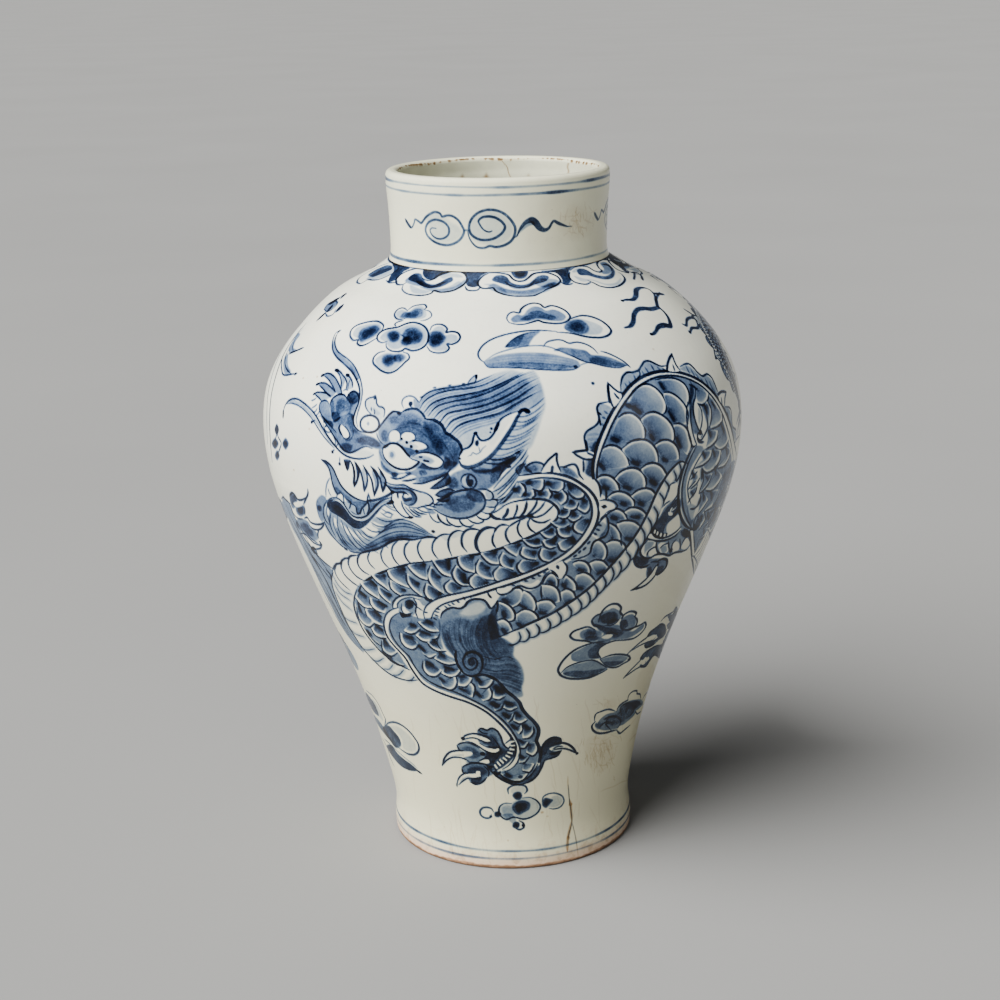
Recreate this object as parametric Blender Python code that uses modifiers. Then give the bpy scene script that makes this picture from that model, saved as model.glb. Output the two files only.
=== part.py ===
"""Tall-shouldered porcelain storage jar, built the way a large jar is thrown: a lower bowl with its
turned foot, an upper bowl luted rim to rim on top of it, a separately thrown neck, and the two bands
of soft clay that are smeared over the joints on the inside.

Metres, +Z up. The origin is the centre of the foot, on the surface the jar stands on.
Every piece is a turned form: a closed section in the XZ plane, swept round Z by a Screw modifier.
"""
import bpy
import numpy as np

# ---------------------------------------------------------------- driving dimensions (metres)
HEIGHT = 0.550             # foot to lip
STEPS = 60                 # facets round every turned piece
GAP = 0.00036              # clearance left between luted pieces

FOOT_RADIUS = 0.0996       # foot at its widest, just above the table
ANKLE = (0.0982, 0.0290)   # narrowest place above the foot: radius, height
BELLY = (0.1901, 0.3340)   # just under the widest place: radius, height
NECK_SEAT = (0.0863, 0.4808)   # where the neck stands on the shoulder: radius, height
NECK_WAIST = 0.0849        # narrowest radius of the neck
LIP_RADIUS = 0.0872        # outer radius at the lip

WALL_BODY = 0.0105         # fired wall of the two bowls
WALL_LOW = 0.0135          # the lower bowl is thicker just above its floor
WALL_NECK = 0.0098         # neck wall, and thickness of the lip
LIP_ROUND = 0.0040         # rounding of the lip's two edges
FLOOR = 0.0150             # thickness of the floor
FOOT_RIM_OUT = 0.0972      # outer edge of the flat ring that meets the table
FOOT_RIM_IN = 0.0850       # inner edge of that ring
FOOT_RECESS = 0.0110       # how deep the underside is turned out inside the foot

BELLY_JOINT_Z = 0.3180     # where the two bowls meet
TONGUE_HALF = 0.0030       # half width of the ridge that keys two pieces together
TONGUE_HIGH = 0.0018       # its height

BAND_HALF = 0.0130         # half height of the clay band over the belly joint
BAND_THICK = 0.0026        # its thickness at the middle
NECK_BAND_HALF = 0.0085    # half height of the clay band inside the neck joint

# Outer curve of the body, from the foot to the neck: (radius, height)
BODY_CURVE = [
    (FOOT_RADIUS - 0.0004, 0.0020), (FOOT_RADIUS, 0.0120), ANKLE, (0.1028, 0.0600), (0.1184, 0.1210),
    (0.1468, 0.2000), (0.1767, 0.2780), BELLY, (0.1865, 0.3850), (0.1638, 0.4240),
    (0.1292, 0.4565), (0.1100, 0.4665), (0.0975, 0.4738), NECK_SEAT,
]
# Outer curve of the neck, from its seat to just under the lip
NECK_CURVE = [
    (NECK_SEAT[0], NECK_SEAT[1] + GAP), (NECK_WAIST + 0.0002, 0.4860), (NECK_WAIST, 0.4970), (0.0859, 0.5220),
    (LIP_RADIUS + 0.0001, 0.5400), (LIP_RADIUS, HEIGHT - LIP_ROUND),
]


# ---------------------------------------------------------------- curves
def resample(curve, spacing):
    """Points about `spacing` apart along a polyline, both ends kept."""
    run = np.concatenate([[0.0], np.cumsum(np.linalg.norm(np.diff(curve, axis=0), axis=1))])
    s = np.linspace(0.0, run[-1], max(2, int(round(run[-1] / spacing)) + 1))
    return np.stack([np.interp(s, run, curve[:, 0]), np.interp(s, run, curve[:, 1])], axis=1)


def spline(points, spacing):
    """Points about `spacing` apart on a natural cubic spline through the (radius, height) points."""
    p = np.array(points, float)
    t = np.concatenate([[0.0], np.cumsum(np.linalg.norm(np.diff(p, axis=0), axis=1) ** 0.5)])
    n, h = len(p), np.diff(t)
    a, b = np.zeros((n, n)), np.zeros((n, 2))
    a[0, 0] = a[-1, -1] = 1.0
    for i in range(1, n - 1):
        a[i, i - 1:i + 2] = h[i - 1], 2 * (h[i - 1] + h[i]), h[i]
        b[i] = 6 * ((p[i + 1] - p[i]) / h[i] - (p[i] - p[i - 1]) / h[i - 1])
    m = np.linalg.solve(a, b)
    u = np.linspace(t[0], t[-1], 1600)
    i = np.clip(np.searchsorted(t, u) - 1, 0, n - 2)
    d0, d1, w = (t[i + 1] - u)[:, None], (u - t[i])[:, None], h[i][:, None]
    fine = (m[i] * d0 ** 3 + m[i + 1] * d1 ** 3) / (6 * w) \
        + (p[i] / w - m[i] * w / 6) * d0 + (p[i + 1] / w - m[i + 1] * w / 6) * d1
    return resample(fine, spacing)


def inward(curve, thickness):
    """A climbing curve moved towards the inside by a thickness at each point."""
    d = np.gradient(curve, axis=0)
    d /= np.linalg.norm(d, axis=1, keepdims=True)
    return curve + np.stack([-d[:, 1], d[:, 0]], axis=1) * np.asarray(thickness)[:, None]


def between(curve, low, high):
    """The stretch of a curve between two heights, with its ends exactly there."""
    r, z = curve[:, 0], curve[:, 1]
    keep = curve[(z > low + 1e-4) & (z < high - 1e-4)]
    return np.vstack([[np.interp(low, z, r), low], keep, [np.interp(high, z, r), high]])


def keyed_joint(r_out, r_in, z):
    """A level joint face from its outer edge to its inner edge, with a ridge along the middle."""
    mid = (r_out + r_in) / 2
    return [(mid + TONGUE_HALF, z), (mid, z - TONGUE_HIGH), (mid - TONGUE_HALF, z)]


# ---------------------------------------------------------------- turned pieces
def turned(name, section, material, closed=True):
    """One turned piece. The section runs down its outer side, top to bottom, and back up inside."""
    mesh = bpy.data.meshes.new(name)
    verts = [(float(r), 0.0, float(z)) for r, z in section]
    edges = [(i, i + 1) for i in range(len(verts) - 1)]
    if closed:
        edges.append((len(verts) - 1, 0))
    mesh.from_pydata(verts, edges, [])
    obj = bpy.data.objects.new(name, mesh)
    parts.objects.link(obj)
    screw = obj.modifiers.new("turn", "SCREW")
    screw.axis = "Z"
    screw.angle = 2 * np.pi
    screw.steps = STEPS
    screw.render_steps = STEPS
    screw.use_merge_vertices = True
    screw.merge_threshold = 0.00005
    screw.use_smooth_shade = True
    screw.use_normal_calculate = False
    obj.data.materials.append(material)
    return obj


def clay(name, color, roughness):
    m = bpy.data.materials.new(name)
    m.use_nodes = True
    s = m.node_tree.nodes["Principled BSDF"]
    s.inputs["Base Color"].default_value = (*color, 1.0)
    s.inputs["Roughness"].default_value = roughness
    s.inputs["Metallic"].default_value = 0.0
    return m


for o in list(bpy.data.objects):
    bpy.data.objects.remove(o)

parts = bpy.data.collections.new("porcelain_jar")
bpy.context.scene.collection.children.link(parts)

glazed_lower = clay("glazed_lower_bowl", (0.70, 0.69, 0.62), 0.22)
glazed_upper = clay("glazed_upper_bowl", (0.74, 0.73, 0.66), 0.20)
glazed_neck = clay("glazed_neck", (0.75, 0.74, 0.68), 0.20)
belly_clay = clay("belly_luting_clay", (0.62, 0.60, 0.53), 0.45)
neck_clay = clay("neck_luting_clay", (0.60, 0.59, 0.53), 0.45)

body = spline(BODY_CURVE, 0.0015)
wall = np.interp(body[:, 1], [0.0, 0.030, 0.100, 0.200], [WALL_LOW, WALL_LOW, 0.0118, WALL_BODY])
inner = inward(body, wall)
joint_out = np.interp(BELLY_JOINT_Z, body[:, 1], body[:, 0])
joint_in = np.interp(BELLY_JOINT_Z, inner[:, 1], inner[:, 0])

# ---- lower bowl: floor, inner wall, joint face, outer wall, turned foot and its recess
floor_top = FOOT_RECESS + FLOOR
low_out = resample(between(body, 0.0040, BELLY_JOINT_Z), 0.0180)
low_in = resample(between(inner, floor_top + 0.0130, BELLY_JOINT_Z), 0.0210)
corner = low_in[0, 0]
section = [(0.0, floor_top), (corner - 0.0190, floor_top), (corner - 0.0100, floor_top + 0.0016),
           (corner - 0.0034, floor_top + 0.0062)]
section += [tuple(p) for p in low_in]
section += keyed_joint(joint_out, joint_in, BELLY_JOINT_Z)[::-1]
section += [tuple(p) for p in low_out[::-1]]
section += [(FOOT_RADIUS - 0.0009, 0.0012), (FOOT_RIM_OUT, 0.0)]
section += [(FOOT_RIM_IN, 0.0), (FOOT_RIM_IN - 0.0020, 0.0014),
            (FOOT_RIM_IN - 0.0048, FOOT_RECESS - 0.0016), (FOOT_RIM_IN - 0.0085, FOOT_RECESS),
            (0.0, FOOT_RECESS)]
turned("lower_bowl", section, glazed_lower, closed=False)

# ---- upper bowl: seat for the neck, outer wall, joint face, inner wall, mouth
up_low = BELLY_JOINT_Z + GAP
up_out = resample(between(body, up_low, NECK_SEAT[1] - 1e-6), 0.0150)
mouth_r = NECK_SEAT[0] - WALL_NECK - 0.0012
up_all = inner[(inner[:, 1] > up_low + 0.004) & (inner[:, 0] > mouth_r + 0.0040)]
up_in = resample(np.vstack([[np.interp(up_low, inner[:, 1], inner[:, 0]), up_low], up_all]), 0.0180)
seat_z = NECK_SEAT[1]
section = [tuple(p) for p in up_out[::-1]]
section += keyed_joint(joint_out, joint_in, up_low)
section += [tuple(p) for p in up_in]
section += [(mouth_r + 0.0010, up_in[-1, 1] + 0.0012), (mouth_r, up_in[-1, 1] + 0.0034), (mouth_r, seat_z)]
section += keyed_joint(NECK_SEAT[0], mouth_r, seat_z)[::-1]
turned("upper_bowl", section, glazed_upper)

# ---- neck: lip, outer wall, seat, inner wall
neck_out = resample(spline(NECK_CURVE, 0.0010), 0.0090)
lip_in = LIP_RADIUS - WALL_NECK
section = [(LIP_RADIUS - LIP_ROUND, HEIGHT)]
section += [(LIP_RADIUS - LIP_ROUND * (1 - np.sin(a)), HEIGHT - LIP_ROUND * (1 - np.cos(a)))
            for a in np.radians([30.0, 60.0])]
section += [tuple(p) for p in neck_out[::-1]]
section += keyed_joint(NECK_SEAT[0], mouth_r, seat_z + GAP)
section += [(mouth_r, seat_z + GAP), (mouth_r - 0.0004, 0.4960), (mouth_r + 0.0006, 0.5200)]
section += [(lip_in, HEIGHT - 0.0120), (lip_in, HEIGHT - LIP_ROUND)]
section += [(lip_in + LIP_ROUND * (1 - np.sin(a)), HEIGHT - LIP_ROUND * (1 - np.cos(a)))
            for a in np.radians([60.0, 30.0])]
section += [(lip_in + LIP_ROUND, HEIGHT)]
turned("neck", section, glazed_neck)

# ---- band of soft clay pressed over the belly joint, inside
face = resample(between(inner, BELLY_JOINT_Z - BAND_HALF, BELLY_JOINT_Z + BAND_HALF), 0.0052)
d = np.gradient(face, axis=0)
side = np.stack([-d[:, 1], d[:, 0]], axis=1) / np.linalg.norm(d, axis=1, keepdims=True)
swell = BAND_THICK * np.clip(1.0 - ((face[:, 1] - BELLY_JOINT_Z) / BAND_HALF) ** 2, 0.25, 1.0) ** 0.7
section = [tuple(p) for p in (face + side * 0.0007)[::-1]]
section += [tuple(p) for p in face + side * (0.0007 + swell)[:, None]]
turned("belly_luting_band", section, belly_clay)

# ---- band of soft clay pressed over the neck joint, inside
section = [(mouth_r - 0.0008, seat_z + NECK_BAND_HALF), (mouth_r - 0.0004, seat_z + 0.0004),
           (mouth_r - 0.0004, seat_z - NECK_BAND_HALF * 0.75),
           (mouth_r - 0.0016, seat_z - NECK_BAND_HALF * 0.75), (mouth_r - 0.0030, seat_z - 0.0030),
           (mouth_r - 0.0031, seat_z + 0.0030), (mouth_r - 0.0018, seat_z + NECK_BAND_HALF)]
turned("neck_luting_band", section, neck_clay)
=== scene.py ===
"""A tall-shouldered porcelain jar, painted in cobalt blue under the glaze with a dragon among clouds."""
import math
import bpy
import numpy as np
from mathutils import Matrix


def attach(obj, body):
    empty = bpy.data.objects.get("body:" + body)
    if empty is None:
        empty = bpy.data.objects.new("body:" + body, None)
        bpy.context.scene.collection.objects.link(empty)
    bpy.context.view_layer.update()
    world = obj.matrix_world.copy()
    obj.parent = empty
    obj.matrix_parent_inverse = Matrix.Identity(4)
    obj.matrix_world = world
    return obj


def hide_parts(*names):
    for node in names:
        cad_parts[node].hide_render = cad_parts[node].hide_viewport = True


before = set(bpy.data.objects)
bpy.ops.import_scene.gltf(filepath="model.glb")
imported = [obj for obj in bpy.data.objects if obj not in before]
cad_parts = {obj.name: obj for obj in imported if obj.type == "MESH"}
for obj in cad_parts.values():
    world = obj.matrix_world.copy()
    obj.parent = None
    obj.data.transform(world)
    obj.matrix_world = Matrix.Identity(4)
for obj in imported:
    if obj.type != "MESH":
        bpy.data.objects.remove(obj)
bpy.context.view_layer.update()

# BEGIN SURFACE
# ================================================================ the jar's form (metres)
HEIGHT = 0.550
NECK_SEAT = (0.0863, 0.4808)
LIP_RADIUS, LIP_ROUND, WALL_NECK = 0.0872, 0.0040, 0.0098
WALL_BODY, WALL_LOW = 0.0105, 0.0135
FLOOR_TOP, FOOT_RECESS = 0.0260, 0.0110
BELLY_JOINT_Z, BELLY_GAP = 0.3180, 0.00036
BODY_CURVE = [
    (0.0972, 0.0000), (0.0986, 0.0009), (0.0993, 0.0040), (0.0996, 0.0120), (0.0982, 0.0290), (0.1028, 0.0600),
    (0.1184, 0.1210), (0.1468, 0.2000), (0.1767, 0.2780), (0.1901, 0.3340), (0.1865, 0.3850),
    (0.1638, 0.4240), (0.1292, 0.4565), (0.1100, 0.4665), (0.0975, 0.4738), NECK_SEAT,
]
NECK_CURVE = [
    (0.0863, 0.48116), (0.0851, 0.4860), (0.0849, 0.4970), (0.0859, 0.5220), (0.0873, 0.5400), (0.0872, 0.5460),
]


def spline(points, n):
    """n points on a natural cubic spline, centripetal, through the given points."""
    p = np.array(points, float)
    t = np.concatenate([[0.0], np.cumsum(np.linalg.norm(np.diff(p, axis=0), axis=1) ** 0.5)])
    m, h = len(p), np.diff(t)
    a, b = np.zeros((m, m)), np.zeros((m, p.shape[1]))
    a[0, 0] = a[-1, -1] = 1.0
    for i in range(1, m - 1):
        a[i, i - 1:i + 2] = h[i - 1], 2 * (h[i - 1] + h[i]), h[i]
        b[i] = 6 * ((p[i + 1] - p[i]) / h[i] - (p[i] - p[i - 1]) / h[i - 1])
    k = np.linalg.solve(a, b)
    u = np.linspace(t[0], t[-1], n)
    i = np.clip(np.searchsorted(t, u) - 1, 0, m - 2)
    d0, d1, w = (t[i + 1] - u)[:, None], (u - t[i])[:, None], h[i][:, None]
    return (k[i] * d0 ** 3 + k[i + 1] * d1 ** 3) / (6 * w) \
        + (p[i] / w - k[i] * w / 6) * d0 + (p[i + 1] / w - k[i + 1] * w / 6) * d1


def arc(curve):
    return np.concatenate([[0.0], np.cumsum(np.linalg.norm(np.diff(curve, axis=0), axis=1))])


def evenly(curve, spacing):
    s = arc(curve)
    n = max(2, int(round(s[-1] / spacing)) + 1)
    u = np.linspace(0, s[-1], n)
    return np.stack([np.interp(u, s, curve[:, k]) for k in range(curve.shape[1])], axis=1)


BODY_FINE = spline(BODY_CURVE, 4000)
lip = np.radians(np.linspace(3, 90, 40))[:, None]
NECK_FINE = np.vstack([spline(NECK_CURVE, 1200), np.hstack([LIP_RADIUS - LIP_ROUND * (1 - np.cos(lip)), HEIGHT - LIP_ROUND + LIP_ROUND * np.sin(lip)])])


def lean(z):
    """How far the jar's axis strays sideways at a height: it sagged a little out of true in the kiln."""
    return np.interp(z, [0.0, 0.02, 0.05, 0.08, 0.13, 0.20, 0.25, 0.30, 0.38, 0.43, 0.46, 0.481, 0.55],
                     [0.0026, 0.0024, 0.0013, 0.0003, -0.0007, -0.0011, -0.0007, 0.0, 0.0, 0.0012, 0.0007, -0.0001, 0.0001])


# ---------------------------------------------------------------- the camera
CAM_DIST, CAM_HIGH = 1.52065, 0.70515
CAM_PITCH, CAM_ROLL, CAM_YAW, CAM_F = math.radians(15.5929), math.radians(-1.1685), math.radians(-0.1231), 1939.23


def camera_axes():
    c = np.array([0.0, -CAM_DIST, CAM_HIGH])
    fw = np.array([math.sin(CAM_YAW) * math.cos(CAM_PITCH), math.cos(CAM_YAW) * math.cos(CAM_PITCH), -math.sin(CAM_PITCH)])
    rt = np.array([math.cos(CAM_YAW), -math.sin(CAM_YAW), 0.0])
    up = np.cross(rt, fw)
    r2 = rt * math.cos(CAM_ROLL) + up * math.sin(CAM_ROLL)
    u2 = -rt * math.sin(CAM_ROLL) + up * math.cos(CAM_ROLL)
    return c, fw, r2, u2


# ================================================================ the surface the painter works on
class Wall:
    """The outside of one turned form, as a grid: columns round it, rows from its top edge down."""

    def __init__(self, fine, cell, theta):
        down = fine[::-1]
        self.curve = evenly(down, cell)
        self.s = arc(self.curve)
        self.r, self.z = self.curve[:, 0], self.curve[:, 1]
        self.theta = theta
        self.cell = self.s[1]
        self.maps = {k: np.zeros((len(self.s), len(theta)), np.float32) for k in ("cobalt", "stain")}

    def at(self, px):
        """Points of the picture plane, in its 1000 by 1000 frame, as (theta, s) on this wall."""
        c, fw, rt, up = camera_axes()
        px = np.atleast_2d(np.array(px, float))
        d = fw[None] + rt[None] * ((px[:, :1] - 500) / CAM_F) - up[None] * ((px[:, 1:] - 500) / CAM_F)
        d /= np.linalg.norm(d, axis=1, keepdims=True)
        t = np.linspace(CAM_DIST - 0.36, CAM_DIST + 0.30, 1100)
        p = c[None, None] + d[:, None] * t[None, :, None]
        z = p[..., 2]
        zc = np.clip(z, self.z[-1], self.z[0])
        f = np.hypot(p[..., 0] - lean(zc), p[..., 1]) - np.interp(zc, self.z[::-1], self.r[::-1]) + np.abs(z - zc)
        hit = f < 0
        k = np.where(hit.any(1), hit.argmax(1), f.argmin(1))
        k = np.clip(k, 1, len(t) - 1)
        n = np.arange(len(px))
        f0, f1 = f[n, k - 1], f[n, k]
        w = np.where(hit.any(1), f0 / np.where(np.abs(f0 - f1) < 1e-12, 1, f0 - f1), 1.0)
        q = p[n, k - 1] + (p[n, k] - p[n, k - 1]) * np.clip(w, 0, 1)[:, None]
        zq = np.clip(q[:, 2], self.z[-1], self.z[0])
        th = np.arctan2(q[:, 1], q[:, 0] - lean(zq))
        th = np.where(th > math.pi / 2, th - 2 * math.pi, th)
        return np.stack([th, np.interp(zq, self.z[::-1], self.s[::-1])], axis=1)

    def window(self, p, pad):
        """Rows, columns and their local flat coordinates round the points p, wide by pad metres."""
        r = np.interp(p[:, 1], self.s, self.r)
        s0, s1 = p[:, 1].min() - pad, p[:, 1].max() + pad
        i0, i1 = max(0, int(s0 / self.cell)), min(len(self.s), int(s1 / self.cell) + 2)
        if i1 <= i0:
            return None
        rmin = max(self.r[i0:i1].min(), 0.02)
        a0, a1 = p[:, 0].min() - pad / rmin, p[:, 0].max() + pad / rmin
        mid = (a0 + a1) / 2
        j = np.arange(np.searchsorted(THETA3, a0), np.searchsorted(THETA3, a1))
        if len(j) == 0:
            return None
        rows = np.arange(i0, i1)
        x = self.r[rows][:, None] * (THETA3[j] - mid)[None]
        y = np.broadcast_to(self.s[rows][:, None], x.shape)
        q = np.stack([r * (p[:, 0] - mid), p[:, 1]], axis=1)
        return np.ix_(rows, j % len(self.theta)), x, y, q


def columns(front_step, back_step):
    """Angles round the jar, closer together on the front."""
    f0, f1 = math.radians(-172), math.radians(-8)
    a = np.linspace(f0, f1, int(round((f1 - f0) / math.radians(front_step))) + 1)
    b = np.linspace(f1, f0 + 2 * math.pi, int(round((f0 + 2 * math.pi - f1) / math.radians(back_step))) + 1)
    return np.concatenate([a, b[1:-1]])


def smooth(p, per=6, closed=False):
    """A centripetal Catmull-Rom curve through points of any width."""
    p = np.array(p, float)
    if len(p) < 3 and not closed:
        t = np.linspace(0, 1, 4)[:, None]
        return p[0] * (1 - t) + p[-1] * t
    if closed:
        q = np.vstack([p[-1], p, p[0], p[1]])
    else:
        q = np.vstack([2 * p[0] - p[1], p, 2 * p[-1] - p[-2]])
    out = []
    for i in range(1, len(q) - 2):
        p0, p1, p2, p3 = q[i - 1], q[i], q[i + 1], q[i + 2]
        d = [max(np.linalg.norm((b - a)[:2]), 1e-9) ** 0.5 for a, b in ((p0, p1), (p1, p2), (p2, p3))]
        m1 = (p2 - p1) + d[1] * ((p1 - p0) / d[0] - (p2 - p0) / (d[0] + d[1]))
        m2 = (p2 - p1) + d[1] * ((p3 - p2) / d[2] - (p3 - p1) / (d[1] + d[2]))
        t = (np.arange(per) / per)[:, None]
        out.append(p1 * (2 * t ** 3 - 3 * t ** 2 + 1) + p2 * (3 * t ** 2 - 2 * t ** 3)
                   + m1 * (t ** 3 - 2 * t ** 2 + t) + m2 * (t ** 3 - t ** 2))
    if not closed:
        out.append(q[-2][None])
    return np.vstack(out)


PX = 0.00072     # a unit of brush width: one picture element on the front of the belly
rng = np.random.default_rng(7)


class Brush:
    """Puts lines, washes and reserves on a wall, in order, and keeps them so a motif can be used again."""

    def __init__(self, wall):
        self.wall, self.log = wall, []

    # -- making strokes from points of the picture
    def line(self, pts, w=2.0, d=1.0, taper=(0.35, 0.35), closed=False, kind="cobalt", soft=1.0, per=6):
        """pts: (x, y) or (x, y, width factor). taper: how thin the two ends are."""
        p = np.array([(q[0], q[1], q[2] if len(q) > 2 else 1.0) for q in pts], float)
        c = smooth(p, per, closed)
        n = len(c)
        u = np.linspace(0, 1, n)
        if not closed:
            env = np.minimum(1, taper[0] + (1 - taper[0]) * u / 0.18) * np.minimum(1, taper[1] + (1 - taper[1]) * (1 - u) / 0.18)
        else:
            env = np.ones(n)
        width = w * 0.5 * PX * np.clip(c[:, 2], 0.15, 4) * env
        self.put(("line", self.wall.at(c[:, :2]), width, np.full(n, float(d)), closed, kind, soft * 0.00055))

    def fill(self, pts, d=0.4, soft=2.0, grad=None, kind="cobalt", mode="wash", raw=False, per=5):
        """grad: (x0, y0, d0, x1, y1, d1), a wash that runs from one strength to another."""
        c = np.array(pts, float)[:, :2] if raw else smooth(np.array(pts, float)[:, :2], per, True)
        g = None
        if grad is not None:
            g = (self.wall.at([(grad[0], grad[1]), (grad[3], grad[4])]), grad[2], grad[5])
        self.put(("fill", self.wall.at(c), d, soft * PX, g, kind, mode))

    def clear(self, pts, soft=1.0, raw=False):
        self.fill(pts, 1.0, soft, mode="clear", raw=raw)

    def dab(self, x, y, w, d=1.0, kind="cobalt", soft=1.0):
        self.line([(x - 0.2, y), (x + 0.2, y)], w, d, (1, 1), kind=kind, soft=soft)

    def put(self, op):
        self.log.append(op)
        getattr(self, "_" + op[0])(*op[1:])

    # -- laying them on the grid
    def _line(self, p, width, dens, closed, kind, soft):
        wall, grid = self.wall, self.wall.maps[kind]
        if closed:
            p, width, dens = np.vstack([p, p[:1]]), np.append(width, width[0]), np.append(dens, dens[0])
        whole = wall.window(p, width.max() + soft * 2)
        if whole is None:
            return
        ix = whole[0]
        rows, cols = ix[0].ravel(), ix[1].ravel()
        cover = np.zeros((len(rows), len(cols)), np.float32)
        col0 = np.searchsorted(THETA3, p[:, 0].min() - (width.max() + soft * 2) / max(wall.r[rows].min(), 0.02))
        for k in range(0, len(p) - 1, 6):
            q = slice(k, min(k + 7, len(p)))
            got = wall.window(p[q], width[q].max() + soft * 2)
            if got is None:
                continue
            gx, x, y, c = got
            r0 = gx[0].ravel()[0] - rows[0]
            j0 = np.searchsorted(THETA3, p[q][:, 0].min() - (width[q].max() + soft * 2) / max(wall.r[gx[0].ravel()].min(), 0.02)) - col0
            j0 = int(np.clip(j0, 0, cover.shape[1] - 1))
            best = np.zeros(x.shape, np.float32)
            w_, d_ = width[q], dens[q]
            for i in range(len(c) - 1):
                a, b = c[i], c[i + 1]
                ab = b - a
                ll = float(ab @ ab) + 1e-14
                t = np.clip(((x - a[0]) * ab[0] + (y - a[1]) * ab[1]) / ll, 0, 1)
                dist = np.hypot(x - a[0] - t * ab[0], y - a[1] - t * ab[1])
                half = w_[i] + t * (w_[i + 1] - w_[i])
                v = np.clip((half - dist) / soft + 0.5, 0, 1) * np.minimum(1, half / (0.35 * soft) * 0.6 + 0.4)
                best = np.maximum(best, v * (d_[i] + t * (d_[i + 1] - d_[i])))
            h, w2 = best.shape
            h, w2 = min(h, cover.shape[0] - r0), min(w2, cover.shape[1] - j0)
            if h > 0 and w2 > 0:
                cover[r0:r0 + h, j0:j0 + w2] = np.maximum(cover[r0:r0 + h, j0:j0 + w2], best[:h, :w2])
        old = grid[ix]
        grid[ix] = np.maximum(old, cover) + 0.35 * np.minimum(old, cover)

    def _fill(self, p, d, soft, g, kind, mode):
        wall, grid = self.wall, self.wall.maps[kind]
        got = wall.window(p, soft * 1.5)
        if got is None:
            return
        ix, x, y, c = got
        inside = np.zeros(x.shape, bool)
        near = np.full(x.shape, 1e9)
        e = np.vstack([c, c[:1]])
        for a, b in zip(e[:-1], e[1:]):
            ab = b - a
            cross = (a[1] > y) != (b[1] > y)
            if abs(ab[1]) > 1e-12:
                inside ^= cross & (x < a[0] + (y - a[1]) * ab[0] / ab[1])
            t = np.clip(((x - a[0]) * ab[0] + (y - a[1]) * ab[1]) / (float(ab @ ab) + 1e-14), 0, 1)
            near = np.minimum(near, np.hypot(x - a[0] - t * ab[0], y - a[1] - t * ab[1]))
        signed = np.where(inside, near, -near)
        cover = np.clip(signed / max(soft, 1e-5) + 0.5, 0, 1)
        cover = cover * cover * (3 - 2 * cover)
        if g is not None:
            pg, d0, d1 = g
            rr = np.interp(pg[:, 1], wall.s, wall.r)
            mid = (p[:, 0].min() + p[:, 0].max()) / 2
            pad = soft * 1.5 / max(wall.r[ix[0].ravel()].min(), 0.02)
            mid = (p[:, 0].min() - pad + p[:, 0].max() + pad) / 2
            q = np.stack([rr * (pg[:, 0] - mid), pg[:, 1]], axis=1)
            ab = q[1] - q[0]
            t = np.clip(((x - q[0, 0]) * ab[0] + (y - q[0, 1]) * ab[1]) / (float(ab @ ab) + 1e-14), 0, 1)
            t = t * t * (3 - 2 * t)
            d = d0 + (d1 - d0) * t
        old = grid[ix]
        if mode == "clear":
            grid[ix] = old * (1 - cover)
        else:
            grid[ix] = old + cover * d * (1 - 0.35 * np.clip(old, 0, 1))

    # -- using a motif again
    def stamp(self, ops, src, dst, scale=1.0, turn=0.0, mirror=False, strength=1.0):
        """src and dst: (theta, s) of the motif's middle, before and after."""
        rs = np.interp(src[1], self.wall.s, self.wall.r)

        def move(p):
            x = np.interp(p[:, 1], self.wall.s, self.wall.r) * (p[:, 0] - src[0])
            y = p[:, 1] - src[1]
            if mirror:
                x = -x
            c, s_ = math.cos(turn), math.sin(turn)
            x, y = scale * (c * x - s_ * y), scale * (s_ * x + c * y)
            y2 = np.clip(dst[1] + y, 0, self.wall.s[-1])
            return np.stack([dst[0] + x / np.interp(y2, self.wall.s, self.wall.r), y2], axis=1)

        for op in ops:
            if op[0] == "line":
                self.put(("line", move(op[1]), op[2] * scale, op[3] * strength, op[4], op[5], op[6]))
            else:
                g = op[4] and (move(op[4][0]), op[4][1] * strength, op[4][2] * strength)
                self.put(("fill", move(op[1]), op[2] * (strength if op[6] != "clear" else 1), op[3] * scale, g, op[5], op[6]))
# END SURFACE

# BEGIN PAINT
THETA = columns(0.17, 0.30)
THETA3 = np.concatenate([THETA - 2 * math.pi, THETA, THETA + 2 * math.pi])
CELL = 0.00068
body = Wall(BODY_FINE, CELL, THETA)
neck = Wall(NECK_FINE, CELL * 0.8, THETA)
B, N = Brush(body), Brush(neck)


def P(text):
    return [tuple(float(v) for v in q.split(",")) for q in text.split()]


def ring(wall, z, w, d, seed, wob=0.0003, kind="cobalt", lo=0.25):
    """A line drawn round the jar on the wheel, with the strength of a brush that runs dry and is dipped again."""
    g = np.random.default_rng(seed)
    s0 = float(np.interp(z, wall.z[::-1], wall.s[::-1]))
    th = wall.theta
    wave = sum(a * np.sin(k * th + g.uniform(0, 6.28)) for k, a in ((1, 1.0), (2, 0.8), (3, 0.7), (5, 0.5), (8, 0.45), (13, 0.4), (21, 0.3)))
    wave2 = sum(a * np.sin(k * th + g.uniform(0, 6.28)) for k, a in ((1, 1.0), (2, 0.7), (4, 0.4), (9, 0.2)))
    dens = d * np.clip(0.72 + 0.30 * wave, lo, 1.25)
    half = 0.5 * w * PX * np.clip(0.9 + 0.16 * wave, 0.5, 1.3)
    off = np.abs(wall.s[:, None] - (s0 + wob * wave2)[None])
    cover = np.clip((half[None] - off) / 0.00055 + 0.5, 0, 1) * dens[None]
    m = wall.maps[kind]
    np.copyto(m, np.maximum(m, cover) + 0.3 * np.minimum(m, cover), casting="same_kind")


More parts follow.
